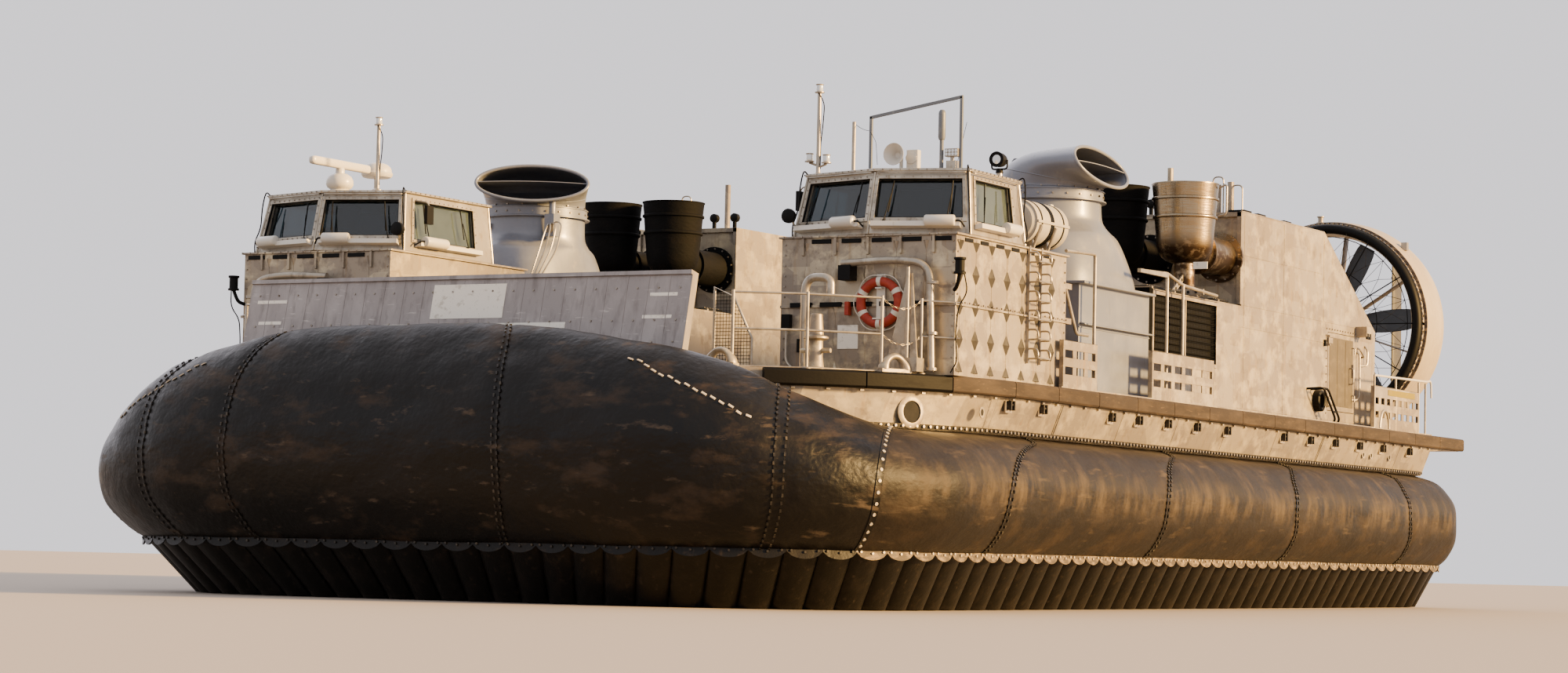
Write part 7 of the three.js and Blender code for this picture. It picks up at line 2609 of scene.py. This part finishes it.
    def pipes(self, tubes: Shape, white: Shape) -> None:
        """Bend the pipe frames along the side and the rail at the stern.

        Args:
            tubes: The bright tubes.
            white: The enamelled hand rail.
        """
        x, deck = self.frame_x, self.deck
        for path in ([(-4.06, deck), (-4.06, 5.6), (-5.18, 5.56)],
                     [(-2.27, 5.5), (-1.08, 5.54), (-0.39, 5.4), (1.13, 5.34)],
                     [(-1.08, 5.54), (-1.08, deck)], [(-0.39, 5.4), (-0.39, deck)],
                     [(-5.2, 5.0), (-4.75, 4.3), (-4.3, 4.3)]):
            tubes.tube(rounded([(x, y, z) for y, z in path], 0.06, 4), 0.028, 10)
        tubes.block((x - 0.03, -2.27, 5.47), (x + 0.03, -1.08, 5.53))
        for y in (-4.06, -1.08, -0.39):
            tubes.block((x - 0.02, y - 0.02, deck), (self.x + 0.012, y + 0.02, deck + 0.02))
        for y in self.stern_posts:
            tubes.tube([(self.x, y, deck), (self.x, y, 4.42)], 0.02, 10)
        rail = [
            (self.x, self.stern_posts[0], 4.42), (self.x, 12.0, 4.46), (self.x, 12.24, 4.5),
            (self.x, 12.27, 4.15)]
        white.tube(rounded(rail, 0.12, 6), 0.022, 10)
        arch = [(self.x + 0.015, 9.4 + 0.26 * math.cos(a), 3.43 + 0.34 * math.sin(a)) for a in (
            math.pi * k / 12 for k in range(13))]
        tubes.tube(arch, 0.03, 8)

    def tow_eyes(self, plates: Shape) -> None:
        """Cast the tow eyes: a fat loop that flares into its foot.

        Args:
            plates: The plate-coloured fittings.
        """
        for x, y, turn in self.eyes:
            rings = []
            for k in range(17):
                angle = math.pi * k / 16
                flare = 1 + 0.7 * abs(math.cos(angle)) ** 6
                centre = Vector((0.17 * math.cos(angle) * (1 + 0.12 * abs(math.cos(angle)) ** 6), 0,
                                 0.05 + 0.19 * math.sin(angle)))
                out = Vector((math.cos(angle), 0, math.sin(angle)))
                rings.append([
                    centre + out * (0.045 * flare * math.cos(t)) + Vector((0, 0.06 * flare * math.sin(t), 0))
                    for t in circle(14)])
            eye = Shape().grid(rings, across=True, caps=True)
            eye.block((-0.26, -0.08, 0), (0.26, 0.08, 0.055))
            place = Matrix.Translation((x, y, self.deck)) @ Matrix.Rotation(math.radians(turn), 4, "Z")
            plates.join(eye.moved(place))

    def mesh_guard(self, tubes: Shape, mesh: Shape) -> None:
        """Close the gap beside the bow ramp with a framed mesh.

        Args:
            tubes: The bright tubes.
            mesh: The mesh.
        """
        y = -10.9
        outline = [
            (3.42, y, self.deck), (3.42, y, 4.6), (3.75, y, 4.45), (4.05, y, 3.85), (4.05, y, self.deck)]
        tubes.tube(outline, 0.02, 8)
        for k in range(1, 13):
            x = 3.42 + 0.05 * k
            top = 4.6 - (x - 3.42) * 0.45 if x < 3.75 else 4.45 - (x - 3.75) * 2.0
            mesh.tube([(x, y, self.deck), (x, y, top)], 0.004, 4)
        for k in range(1, 24):
            z = self.deck + 0.05 * k
            right = 4.05 if z < 3.85 else 4.05 - (z - 3.85) * 0.5
            mesh.tube([(3.42, y, z), (right, y, z)], 0.004, 4)


@dataclass
class RoofGear:
    """Masts, lamps, aerials, the horn and the radar on the cabin roofs."""

    roof: float = 6.4753
    masts: tuple[tuple[float, float, float, bool], ...] = (
        (3.73, -8.40, 7.87, True), (-4.23, -8.62, 7.68, False))
    lamp_height: float = 0.135
    radar: tuple[float, float] = (-5.10, -8.45)
    radome: tuple[float, float, float] = (-5.15, -7.35, 6.85)

    def build(self) -> None:
        """Make everything on the roofs."""
        for (x, y, top, extra), word in zip(self.masts, ("port", "starboard")):
            self.mast(x, y, top, extra, word)
        self.aerials()
        self.horn()
        self.searchlight()
        self.radar_set()

    def lamp(self, metal: Shape, lens: Shape, at: Point) -> None:
        """Add an all-round lamp: a base, a ribbed lens and a cap.

        Args:
            metal: The base and the cap.
            lens: The lens.
            at: The middle of its foot.
        """
        metal.lathe([(0.02, 0), (0.075, 0), (0.075, 0.015), (0.05, 0.02), (0.02, 0.02)], at, sides=20)
        metal.lathe([(0.02, 0.118), (0.06, 0.119), (0.062, 0.13), (0.05, 0.135), (0.02, 0.135)], at, sides=20)
        glass = [(0.02, 0.02), (0.048, 0.021), (0.053, 0.045), (0.05, 0.07), (0.053, 0.095), (0.048, 0.117),
                 (0.02, 0.118)]
        lens.lathe(glass, at, sides=20)

    def mast(self, x: float, y: float, top: float, extra: bool, word: str) -> None:
        """Make one mast.

        Args:
            x: Where it stands.
            y: Where it stands.
            top: Height of its top.
            extra: Whether it carries two side lamps.
            word: The side, for the names.
        """
        metal, lens, cable = Shape(), Shape(), Shape()
        tube = [(0.02, 0), (0.085, 0), (0.085, 0.02), (0.04, 0.04), (0.034, 0.06),
                (0.03, top - self.lamp_height - self.roof), (0.01, top - self.lamp_height - self.roof)]
        metal.lathe(tube, (x, y, self.roof), sides=16)
        self.lamp(metal, lens, (x, y, top - self.lamp_height))
        if extra:
            for dx, dz in ((-0.15, 0.04), (0.14, 0.01)):
                at = (x + dx, y, self.roof + 0.174 + dz)
                metal.tube([(x, y, at[2] - 0.06), (x + dx, y, at[2] - 0.01)], 0.018, 8)
                self.lamp(metal, lens, at)
        run = [(x, y - 0.03, top - 0.14), (x + 0.1, y - 0.02, top - 0.3), (x + 0.07, y, top - 0.62),
               (x + 0.035, y, top - 0.9), (x + 0.035, y, self.roof + 0.1)]
        cable.tube(rounded(run, 0.1), 0.008, 6)
        metal.piece(f"mast_tube_{word}", BRIGHT_PLATE, replaces=[f"mast_{word}"], slot="bare_aluminium")
        lens.piece(f"mast_lenses_{word}", LENS)
        cable.piece(f"mast_cable_{word}", BLACK_CASTING)

    def aerials(self) -> None:
        """Make the frame aerial, the pole, the capsule aerial and the lamp block on their strip."""
        z = self.roof
        grey, white, wire = Shape(), Shape(), Shape()
        section = ((-0.022, -8.422), (0.022, -8.422), (0.022, -8.378), (-0.022, -8.378))
        for a, b in (((4.62, 7.33), (4.62, z)), ((4.6, 7.32), (6.14, 7.57)), ((6.12, 7.57), (6.12, z))):
            upright = a[0] == b[0]
            end = [(a[0] + grow, y, a[1]) if upright else (a[0], y, a[1] + grow) for grow, y in section]
            grey.slab(end, (b[0] - a[0], 0, b[1] - a[1]))
        grey.tube([(5.8, -8.4, z), (5.8, -8.4, 6.95)], 0.032, 12)
        capsule = [
            (0.01, 6.93), (0.045, 6.94), (0.055, 6.98), (0.055, 7.33), (0.05, 7.36), (0.03, 7.385),
            (0.005, 7.39)]
        grey.lathe(capsule, (5.8, -8.4, 0), sides=20)
        white.tube([(4.33, -8.4, z), (4.33, -8.4, 7.27)], 0.03, 12)
        white.block((4.25, -8.44, z), (6.25, -8.36, z + 0.02))
        white.block((5.9, -8.45, z), (6.06, -8.33, 6.62))
        white.block((5.88, -8.46, 6.68), (6.1, -8.34, 6.8))
        white.tube([(5.98, -8.4, 6.6), (5.98, -8.4, 6.7)], 0.03, 10)
        cells = Repeats("roof_lamp_cells", Form.ROUND_HEAD, (0.045, 0.045, 0.01), LENS)
        for i in range(4):
            for k in range(2):
                cells.place((5.91 + 0.053 * i, -8.462, 6.715 + 0.05 * k), (0, -1, 0))
        cells.piece()
        wire.tube(sagging((4.33, -8.4, 7.25), (4.62, -8.4, 7.12), 0.03), 0.004, 5)
        wire.tube(rounded([(4.62, -8.42, 7.1), (4.72, -8.43, 6.95), (4.75, -8.43, 6.6)], 0.05), 0.004, 5)
        wire.tube([(6.02, -8.37, z), (6.16, -8.3, 7.2)], 0.004, 5)
        grey.piece("roof_aerials", AERIAL_GREY, bevel=0.002)
        white.piece("roof_poles_and_lamp", BRIGHT_PLATE, replaces=["roof_gear_port"], slot="bare_aluminium",
                    bevel=0.003)
        wire.piece("roof_aerial_wires", BLACK_CASTING)

    def horn(self) -> None:
        """Make the loud hailer, a flared bell with its driver unit behind."""
        bell = [
            (0.03, 0.0), (0.05, -0.02), (0.062, -0.06), (0.085, -0.11), (0.12, -0.155), (0.16, -0.19),
            (0.17, -0.2), (0.165, -0.207), (0.152, -0.195), (0.11, -0.15), (0.07, -0.1), (0.045, -0.05),
            (0.02, -0.04)]
        horn = Shape().lathe(bell, (5.15, -8.49, 6.72), "Y", 40)
        horn.block((5.05, -8.5, self.roof), (5.42, -8.34, 6.53))
        horn.lathe([(0.02, 0.0), (0.09, 0.01), (0.1, 0.04), (0.1, 0.12), (0.08, 0.15), (0.02, 0.15)],
                   (5.34, -8.5, 6.68), "Y", 24)
        horn.block((5.26, -8.48, 6.5), (5.44, -8.36, 6.8))
        horn.tube([(5.15, -8.43, 6.5), (5.15, -8.43, 6.72)], 0.03, 10)
        horn.piece("loud_hailer", WHITE_ENAMEL, bevel=0.004)

    def searchlight(self) -> None:
        """Make the black searchlight in its yoke at the cabin's rear corner."""
        lamp, lens = Shape(), Shape()
        x, z = 6.03, 6.8
        lamp.lathe([(0.02, -6.76), (0.07, -6.765), (0.1, -6.8), (0.11, -6.86), (0.112, -6.97), (0.12, -6.975),
                    (0.12, -6.99), (0.1, -6.99), (0.095, -6.97)], (x, 0, z), "Y", 28)
        yoke = [
            (x - 0.13, -6.87, z), (x - 0.13, -6.87, z - 0.14), (x + 0.13, -6.87, z - 0.14),
            (x + 0.13, -6.87, z)]
        lamp.tube(rounded(yoke, 0.05), 0.014, 8)
        swivel = [(0.02, z - 0.2), (0.06, z - 0.2), (0.05, z - 0.13), (0.02, z - 0.13)]
        lamp.lathe(swivel, (x, -6.87, 0), sides=16)
        rim = [(0.07, -6.985), (0.112, -6.985), (0.112, -6.96), (0.07, -6.96)]
        lamp.lathe(rim, (x, 0, z), "Y", 28, closed=True)
        lens.lathe([(0.01, -6.985), (0.07, -6.98), (0.07, -6.97), (0.01, -6.97)], (x, 0, z), "Y", 28)
        stem = [(0.02, self.roof), (0.1, self.roof), (0.1, self.roof + 0.03), (0.05, self.roof + 0.05),
                (0.045, 6.6), (0.02, 6.61)]
        foot = Shape().lathe(stem, (x, -6.87, 0), sides=16)
        foot.block((5.99, -8.4, self.roof), (6.07, -6.8, self.roof + 0.02))
        lamp.piece("searchlight", BLACK_CASTING)
        lens.piece("searchlight_lens", LENS)
        foot.piece("searchlight_foot", BRIGHT_PLATE)

    def radar_set(self) -> None:
        """Make the radar's pedestal and scanner, and the satellite dome."""
        x, y = self.radar
        stand = [(0.03, 0), (0.17, 0), (0.17, 0.05), (0.15, 0.07), (0.2, 0.1), (0.225, 0.15), (0.22, 0.22),
                 (0.19, 0.28), (0.12, 0.327), (0.03, 0.33)]
        Shape().lathe(stand, (x, y, self.roof), sides=40).piece(
            "radar_stand", WHITE_ENAMEL, replaces=["radar_pedestal"], slot="white_paint")
        top = self.roof + 0.33 + 0.0003
        bar = Shape()
        rings = []
        for share, scale in (
            (-1, 0.35), (-0.985, 0.7), (-0.95, 0.92), (-0.9, 1), (0.9, 1), (0.95, 0.92), (0.985, 0.7),
            (1, 0.35)):
            ring = []
            for c, s in ((math.cos(a), math.sin(a)) for a in circle(20)):
                ring.append((x + 0.065 * scale * math.copysign(abs(c) ** 0.6, c), y + 0.8 * share,
                             top + 0.15 + 0.07 * scale * math.copysign(abs(s) ** 0.6, s)))
            rings.append(ring)
        bar.grid(rings, across=True, caps=True)
        bar.lathe([(0.02, 0), (0.075, 0), (0.075, 0.07), (0.06, 0.1), (0.02, 0.1)], (x, y, top), sides=24)
        bar.piece(
            "radar_bar", WHITE_ENAMEL, "radar_scanner", replaces=["radar_scanner"], sharp=50,
            slot="white_paint")
        x, y, low = self.radome
        dome = [
            (0.02, 0.0), (0.2, 0.003), (0.235, 0.015), (0.26, 0.05), (0.262, 0.085), (0.245, 0.1),
            (0.24, 0.14), (0.225, 0.18), (0.18, 0.222), (0.12, 0.247), (0.05, 0.26), (0.005, 0.262)]
        shell = Shape().lathe(dome, (x, y, low), sides=48)
        shell.lathe([(0.02, self.roof), (0.1, self.roof), (0.1, self.roof + 0.02), (0.05, self.roof + 0.04),
                     (0.045, low + 0.005), (0.02, low + 0.005)], (x, y, 0), sides=20)
        shell.piece("satellite_dome", WHITE_ENAMEL, replaces=["radome"], slot="white_paint")


@dataclass
class SafetyGear:
    """The life ring on its bracket, and the raft canisters in their cradles."""

    ring_at: tuple[float, float, float] = (5.24, -9.2203, 4.47)
    ring_radius: float = 0.31
    ring_tube: float = 0.07
    bands: int = 6
    raft: tuple[float, float] = (5.95, 5.95)
    raft_radius: float = 0.35
    raft_front: float = -6.12
    raft_length: float = 1.32

    def torus(self, start: float, end: float, steps: int, tube: float) -> list[list[Vector]]:
        """Rings of the life ring between two angles.

        Args:
            start: First angle in degrees.
            end: Last angle in degrees.
            steps: Steps between them.
            tube: Radius of the tube.

        Returns:
            The rings.
        """
        rings = []
        for i in range(steps + 1):
            a = math.radians(lerp(start, end, i / steps))
            out = Vector((math.cos(a), 0, math.sin(a)))
            centre = Vector(self.ring_at) + out * self.ring_radius
            rings.append([centre + out * (tube * math.cos(t)) + Vector((0, tube * math.sin(t), 0))
                          for t in circle(20)])
        return rings

    def build(self) -> None:
        """Make the ring and both rafts."""
        ring = Shape().grid(self.torus(0, 355, 71, self.ring_tube), across=True, along=True)
        ring.piece("life_ring_cover", RING_COVER, replaces=["life_ring"], slot="orange_ring")
        bands, rope, bracket = Shape(), Shape(), Shape()
        for k in range(self.bands):
            middle = 30 + 360 / self.bands * k
            bands.grid(self.torus(middle - 6, middle + 6, 4, self.ring_tube + 0.003), across=True, caps=True)
        x, y, z = self.ring_at
        for k in range(self.bands):
            a, b = (math.radians(30 + 360 / self.bands * j) for j in (k, k + 1))
            points = []
            for i in range(9):
                t = lerp(a, b, i / 8)
                r = self.ring_radius + self.ring_tube + 0.012 + 0.035 * math.sin(math.pi * i / 8)
                points.append((x + r * math.cos(t), y, z + r * math.sin(t)))
            rope.tube(points, 0.008, 6)
        bracket.block((x - 0.07, y + 0.03, z - 0.42), (x + 0.07, y + 0.068, z + 0.42))
        bracket.block((x - 0.09, y - 0.06, z - 0.25), (x + 0.09, y + 0.06, z - 0.225))
        bracket.block((x - 0.05, y - 0.06, z + 0.2), (x + 0.05, y + 0.06, z + 0.22))
        light = Shape().block((x - 0.56, y - 0.05, z - 0.18), (x - 0.49, y + 0.06, z + 0.02))
        bands.piece("life_ring_bands", RING_TAPE)
        rope.piece("life_ring_rope", RING_TAPE)
        bracket.piece("life_ring_bracket", WHITE_ENAMEL, bevel=0.004)
        light.piece("life_ring_light", RING_COVER, bevel=0.01)
        for side in Side:
            self.canister(side)

    def canister(self, side: Side) -> None:
        """Make one raft canister: ribbed halves, a flange between them, straps and a cradle.

        Args:
            side: The side it lies on.
        """
        shell, straps, cradle = Shape(), Shape(), Shape()
        x, z = self.raft
        r, length, front = self.raft_radius, self.raft_length, self.raft_front
        profile = [(0.02, 0.0), (0.2, 0.005), (0.28, 0.03), (0.325, 0.08)]
        for k in range(9):
            along = lerp(0.12, length - 0.12, k / 8)
            profile += [(r, along - 0.045), (r, along + 0.045), (r - 0.012, along + 0.055)]
        profile += [(0.325, length - 0.06), (0.28, length - 0.03), (0.2, length - 0.005), (0.02, length)]
        shell.lathe(
            [(min(radius, r), min(along, length)) for radius, along in profile], (x, front, z), "Y", 48)
        for way in (-1, 1):
            shell.block(
                (x + way * r - 0.02, front + 0.08, z - 0.02),
                (x + way * r + 0.02, front + length - 0.08, z + 0.02))
        for along in (0.25, 0.62, 0.68, 1.06):
            straps.lathe([(r - 0.01, along - 0.02), (r + 0.008, along - 0.02), (r + 0.008, along + 0.02),
                          (r - 0.01, along + 0.02)], (x, front, z), "Y", 48, closed=True)
        for y in (front + 0.18, -5.4):
            cradle.block((x - 0.22, y, TOWER_TOP), (x + 0.22, y + 0.06, z - 0.25))
            for way in (-1, 1):
                cradle.tube([(x + way * 0.2, y + 0.03, 5.49), (x + way * 0.36, y + 0.03, z - 0.05)], 0.025, 8)
        word = side.word
        shell.mirrored(side).piece(
            f"raft_canister_{word}", RAFT_SHELL, replaces=[f"life_raft_{word}"], sharp=30,
            slot="raft_shell")
        straps.mirrored(side).piece(f"raft_straps_{word}", BLACK_CASTING)
        cradle.mirrored(side).piece(f"raft_cradle_{word}", BRIGHT_PLATE, bevel=0.004)


@dataclass
class Ramps:
    """Plate seams, bolts and blank painted plates of the bow ramp, and the cargo deck's tie-downs."""

    hinge_y: float = -12.75
    hinge_z: float = 2.6303
    lean: float = 13.0
    length: float = 2.145
    half: float = 3.85
    seam_pitch: float = 0.35
    bolt_rows: tuple[float, ...] = (0.6, 1.1, 1.42, 1.9)
    socket_rows: tuple[int, int] = (20, 8)  # along the craft and across it
    socket_first: tuple[float, float] = (-2.8, -11.2)
    socket_pitch: tuple[float, float] = (0.8, 1.2)
    tracks: tuple[float, ...] = (-3.2, -1.2, 1.2, 3.2)
    plates: tuple[tuple[float, float, float, float], ...] = (
        (-0.51, 0.75, 1.49, 2.01), (-1.68, 1.85, 1.32, 1.41))
    brush_marks: tuple[tuple[float, float, float], ...] = (
        (3.2, 3.65, 1.80), (3.12, 3.6, 1.47), (-3.7, -3.15, 1.80), (-3.62, -3.2, 1.47))

    def on_face(self, x: float, up: float, lift: float) -> Vector:
        """A point on the raised bow ramp's outer face, by its distance up from the hinge."""
        angle = math.radians(self.lean)
        return Vector((x, self.hinge_y + up * math.sin(angle) - lift * math.cos(angle),
                       self.hinge_z + up * math.cos(angle) + lift * math.sin(angle)))

    def face_plate(self, shape: Shape, left: float, right: float, low: float, high: float,
                   lift: float) -> None:
        """Lay a thin rectangle on the outer face."""
        corners = [self.on_face(x, up, -0.004) for x, up in (
            (left, low), (right, low), (right, high), (left, high))]
        shape.slab(corners, self.on_face(0, 0, lift) - self.on_face(0, 0, -0.004))

    def build(self) -> None:
        """Dress the ramp and the deck."""
        seams, white = Shape(), Shape()
        count = int(2 * self.half / self.seam_pitch)
        dots = Repeats("bow_ramp_bolts", Form.ROUND_HEAD, (0.03, 0.03, 0.016), FASTENER, body="bow_ramp")
        out = self.on_face(0, 0, 1) - self.on_face(0, 0, 0)
        for k in range(1, count + 1):
            x = -self.half + k * self.seam_pitch
            self.face_plate(seams, x - 0.007, x + 0.007, 0.05, self.length - 0.07, 0.004)
            for up in self.bolt_rows:
                dots.place(self.on_face(x - self.seam_pitch / 2, up, 0.004), out)
        for left, right, low, high in self.plates:
            self.face_plate(white, left, right, low, high, 0.006)
        for left, right, up in self.brush_marks:
            self.face_plate(white, left, right, up - 0.025, up + 0.025, 0.003)
        seams.piece("bow_ramp_seams", RAMP_PLATE, "bow_ramp")
        white.piece("bow_ramp_blank_plates", WHITE_PLATE, "bow_ramp")
        dots.piece()
        self.tie_downs()

    def tie_downs(self) -> None:
        """Let round lashing sockets into the cargo deck, and lay the wheel tracks' edges."""
        sockets = Repeats("cargo_lashing_sockets", Form.ROUND_HEAD, (0.16, 0.16, 0.008), BAY_GREY)
        bars = Repeats("cargo_lashing_bars", Form.BLOCK, (0.14, 0.02, 0.014), FASTENER)
        (x, y), (dx, dy) = self.socket_first, self.socket_pitch
        for i in range(self.socket_rows[0]):
            for k in range(self.socket_rows[1]):
                at = (x + dx * k, y + dy * i, 2.609)
                sockets.place(at, (0, 0, 1), (1, 0, 0))
                bars.place((at[0], at[1], 2.613), (0, 0, 1), (1, 0, 0) if (i + k) % 2 else (0, 1, 0))
        sockets.piece()
        bars.piece()
        tracks = Shape()
        for x in self.tracks:
            tracks.block((x - 0.03, -11.9, 2.6), (x + 0.03, 11.9, 2.612))
        tracks.piece("cargo_deck_strips", BARE_PLATE, bevel=0.003)


@dataclass
class Studio:
    """The pale floor, the soft lights and the camera at the photograph's angle."""

    camera_at: tuple[float, float, float] = (28.370, -54.198, 0.710)
    camera_right: tuple[float, float, float] = (0.87686, 0.48028, 0.02140)
    camera_up: tuple[float, float, float] = (0.01191, -0.06622, 0.99773)
    camera_ahead: tuple[float, float, float] = (-0.48060, 0.87461, 0.06378)
    lens_mm: float = 79.46
    floor_half: float = 160.0

    def build(self) -> None:
        """Make the camera, the floor, the lights and the sky."""
        scene = bpy.context.scene
        lens = bpy.data.cameras.new("photo_camera")
        lens.lens = self.lens_mm
        lens.sensor_width = 36.0
        lens.clip_end = 500
        camera = bpy.data.objects.new("photo_camera", lens)
        back = [-v for v in self.camera_ahead]
        turn = Matrix([self.camera_right, self.camera_up, back]).transposed()
        camera.matrix_world = Matrix.Translation(self.camera_at) @ turn.to_4x4()
        scene.collection.objects.link(camera)
        scene.camera = camera
        half = self.floor_half
        mesh = bpy.data.meshes.new("studio_floor")
        mesh.from_pydata(
            [(-half, -half, -0.01), (half, -half, -0.01), (half, half, -0.01), (-half, half, -0.01)], [],
            [(0, 1, 2, 3)])
        mesh.materials.append(Finish("pale_studio_floor", "#a39687", 0.9).material())
        floor = bpy.data.objects.new("studio_floor", mesh)
        scene.collection.objects.link(floor)
        self.light("low_sun", (56, 17, 14), 21.0, 9.0, "#ffcc7c")
        self.light("evening_sky", (-50, 40, 40), 1.2, 60.0, "#e6e0ea")
        world = bpy.data.worlds.new("soft_sky")
        world.use_nodes = True
        world.node_tree.nodes["Background"].inputs["Color"].default_value = linear("#e8e5ea")
        world.node_tree.nodes["Background"].inputs["Strength"].default_value = 1.5
        scene.world = world

    def light(self, name: str, origin: Point, strength: float, spread: float, colour: str) -> None:
        """Add a distant soft light.

        Args:
            name: The light's name.
            origin: The way that it comes from.
            strength: Its power in watts on each square metre.
            spread: The angle that it fills, in degrees: wider is softer.
            colour: Its sRGB colour.
        """
        lamp = bpy.data.lights.new(name, "SUN")
        lamp.energy = strength
        lamp.angle = math.radians(spread)
        lamp.color = linear(colour)[:3]
        thing = bpy.data.objects.new(name, lamp)
        thing.rotation_euler = (-Vector(origin)).to_track_quat("-Z", "Y").to_euler()
        bpy.context.scene.collection.objects.link(thing)


def dress_frame(frame: dict[str, Any]) -> None:
    """Give every CAD node its finish, and soft edges where it is a plated box.
    """
    finishes = {
        "hull": DECK_PAINT, "side_deck": BARE_PLATE, "fender": FENDER_RUBBER, "bag": BAG_RUBBER,
        "fingers": FINGER_RUBBER, "tower": BARE_PLATE, "cabin_glass": WINDOW_GLASS,
        "cabin_fittings": CABIN_LINING, "cabin": BRIGHT_PLATE, "fan_housing": HOUSING_ENAMEL,
        "thruster": HOUSING_ENAMEL, "intake_house": GRILLE_BLACK, "exhaust_outboard_port": STAINLESS,
        "exhaust": SOOT_BLACK, "engine_house": BARE_PLATE, "house_door": BARE_PLATE, "duct": DUCT_GELCOAT,
        "propeller": BLADE_SHELL, "rudder": BAY_GREY, "life_raft": RAFT_SHELL, "rails": BRIGHT_PLATE,
        "bow_ramp": RAMP_PLATE, "stern_ramp": RAMP_PLATE, "radar": WHITE_ENAMEL, "radome": WHITE_ENAMEL,
        "mast": BRIGHT_PLATE, "roof_gear": WHITE_ENAMEL, "life_ring": RING_COVER}
    boxes = ("side_deck", "tower", "cabin_port", "cabin_starboard", "engine_house", "house_door", "bow_ramp",
             "stern_ramp", "hull", "intake_house")
    for name, node in frame["nodes"].items():
        word = max((key for key in finishes if name.startswith(key)), key=len)
        node.data.materials.clear()
        node.data.materials.append(finishes[word].material())
        if name.startswith(boxes):
            merged = node.modifiers.new("merged_corners", "WELD")
            merged.merge_threshold = NODE_MERGE
            edges = node.modifiers.new("rounded_edges", "BEVEL")
            edges.width = NODE_EDGE
            edges.segments = 2
            edges.limit_method = "ANGLE"
            edges.angle_limit = math.radians(SHARP_ANGLE)


def main() -> None:
    """Build the studio and every sub-assembly."""
    logging.basicConfig(level=logging.INFO, format="%(message)s")
    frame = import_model()
    dress_frame(frame)
    for assembly in (
        Studio(), Skirt(), DeckEdge(), CabinTower(), Cabin(), LiftFan(), Exhausts(), EngineHouse(),
        Propulsion(), DeckRails(), RoofGear(), SafetyGear(), Ramps()):
        assembly.build()
        log.info("built %s", type(assembly).__name__)


if __name__ == "__main__":
    main()
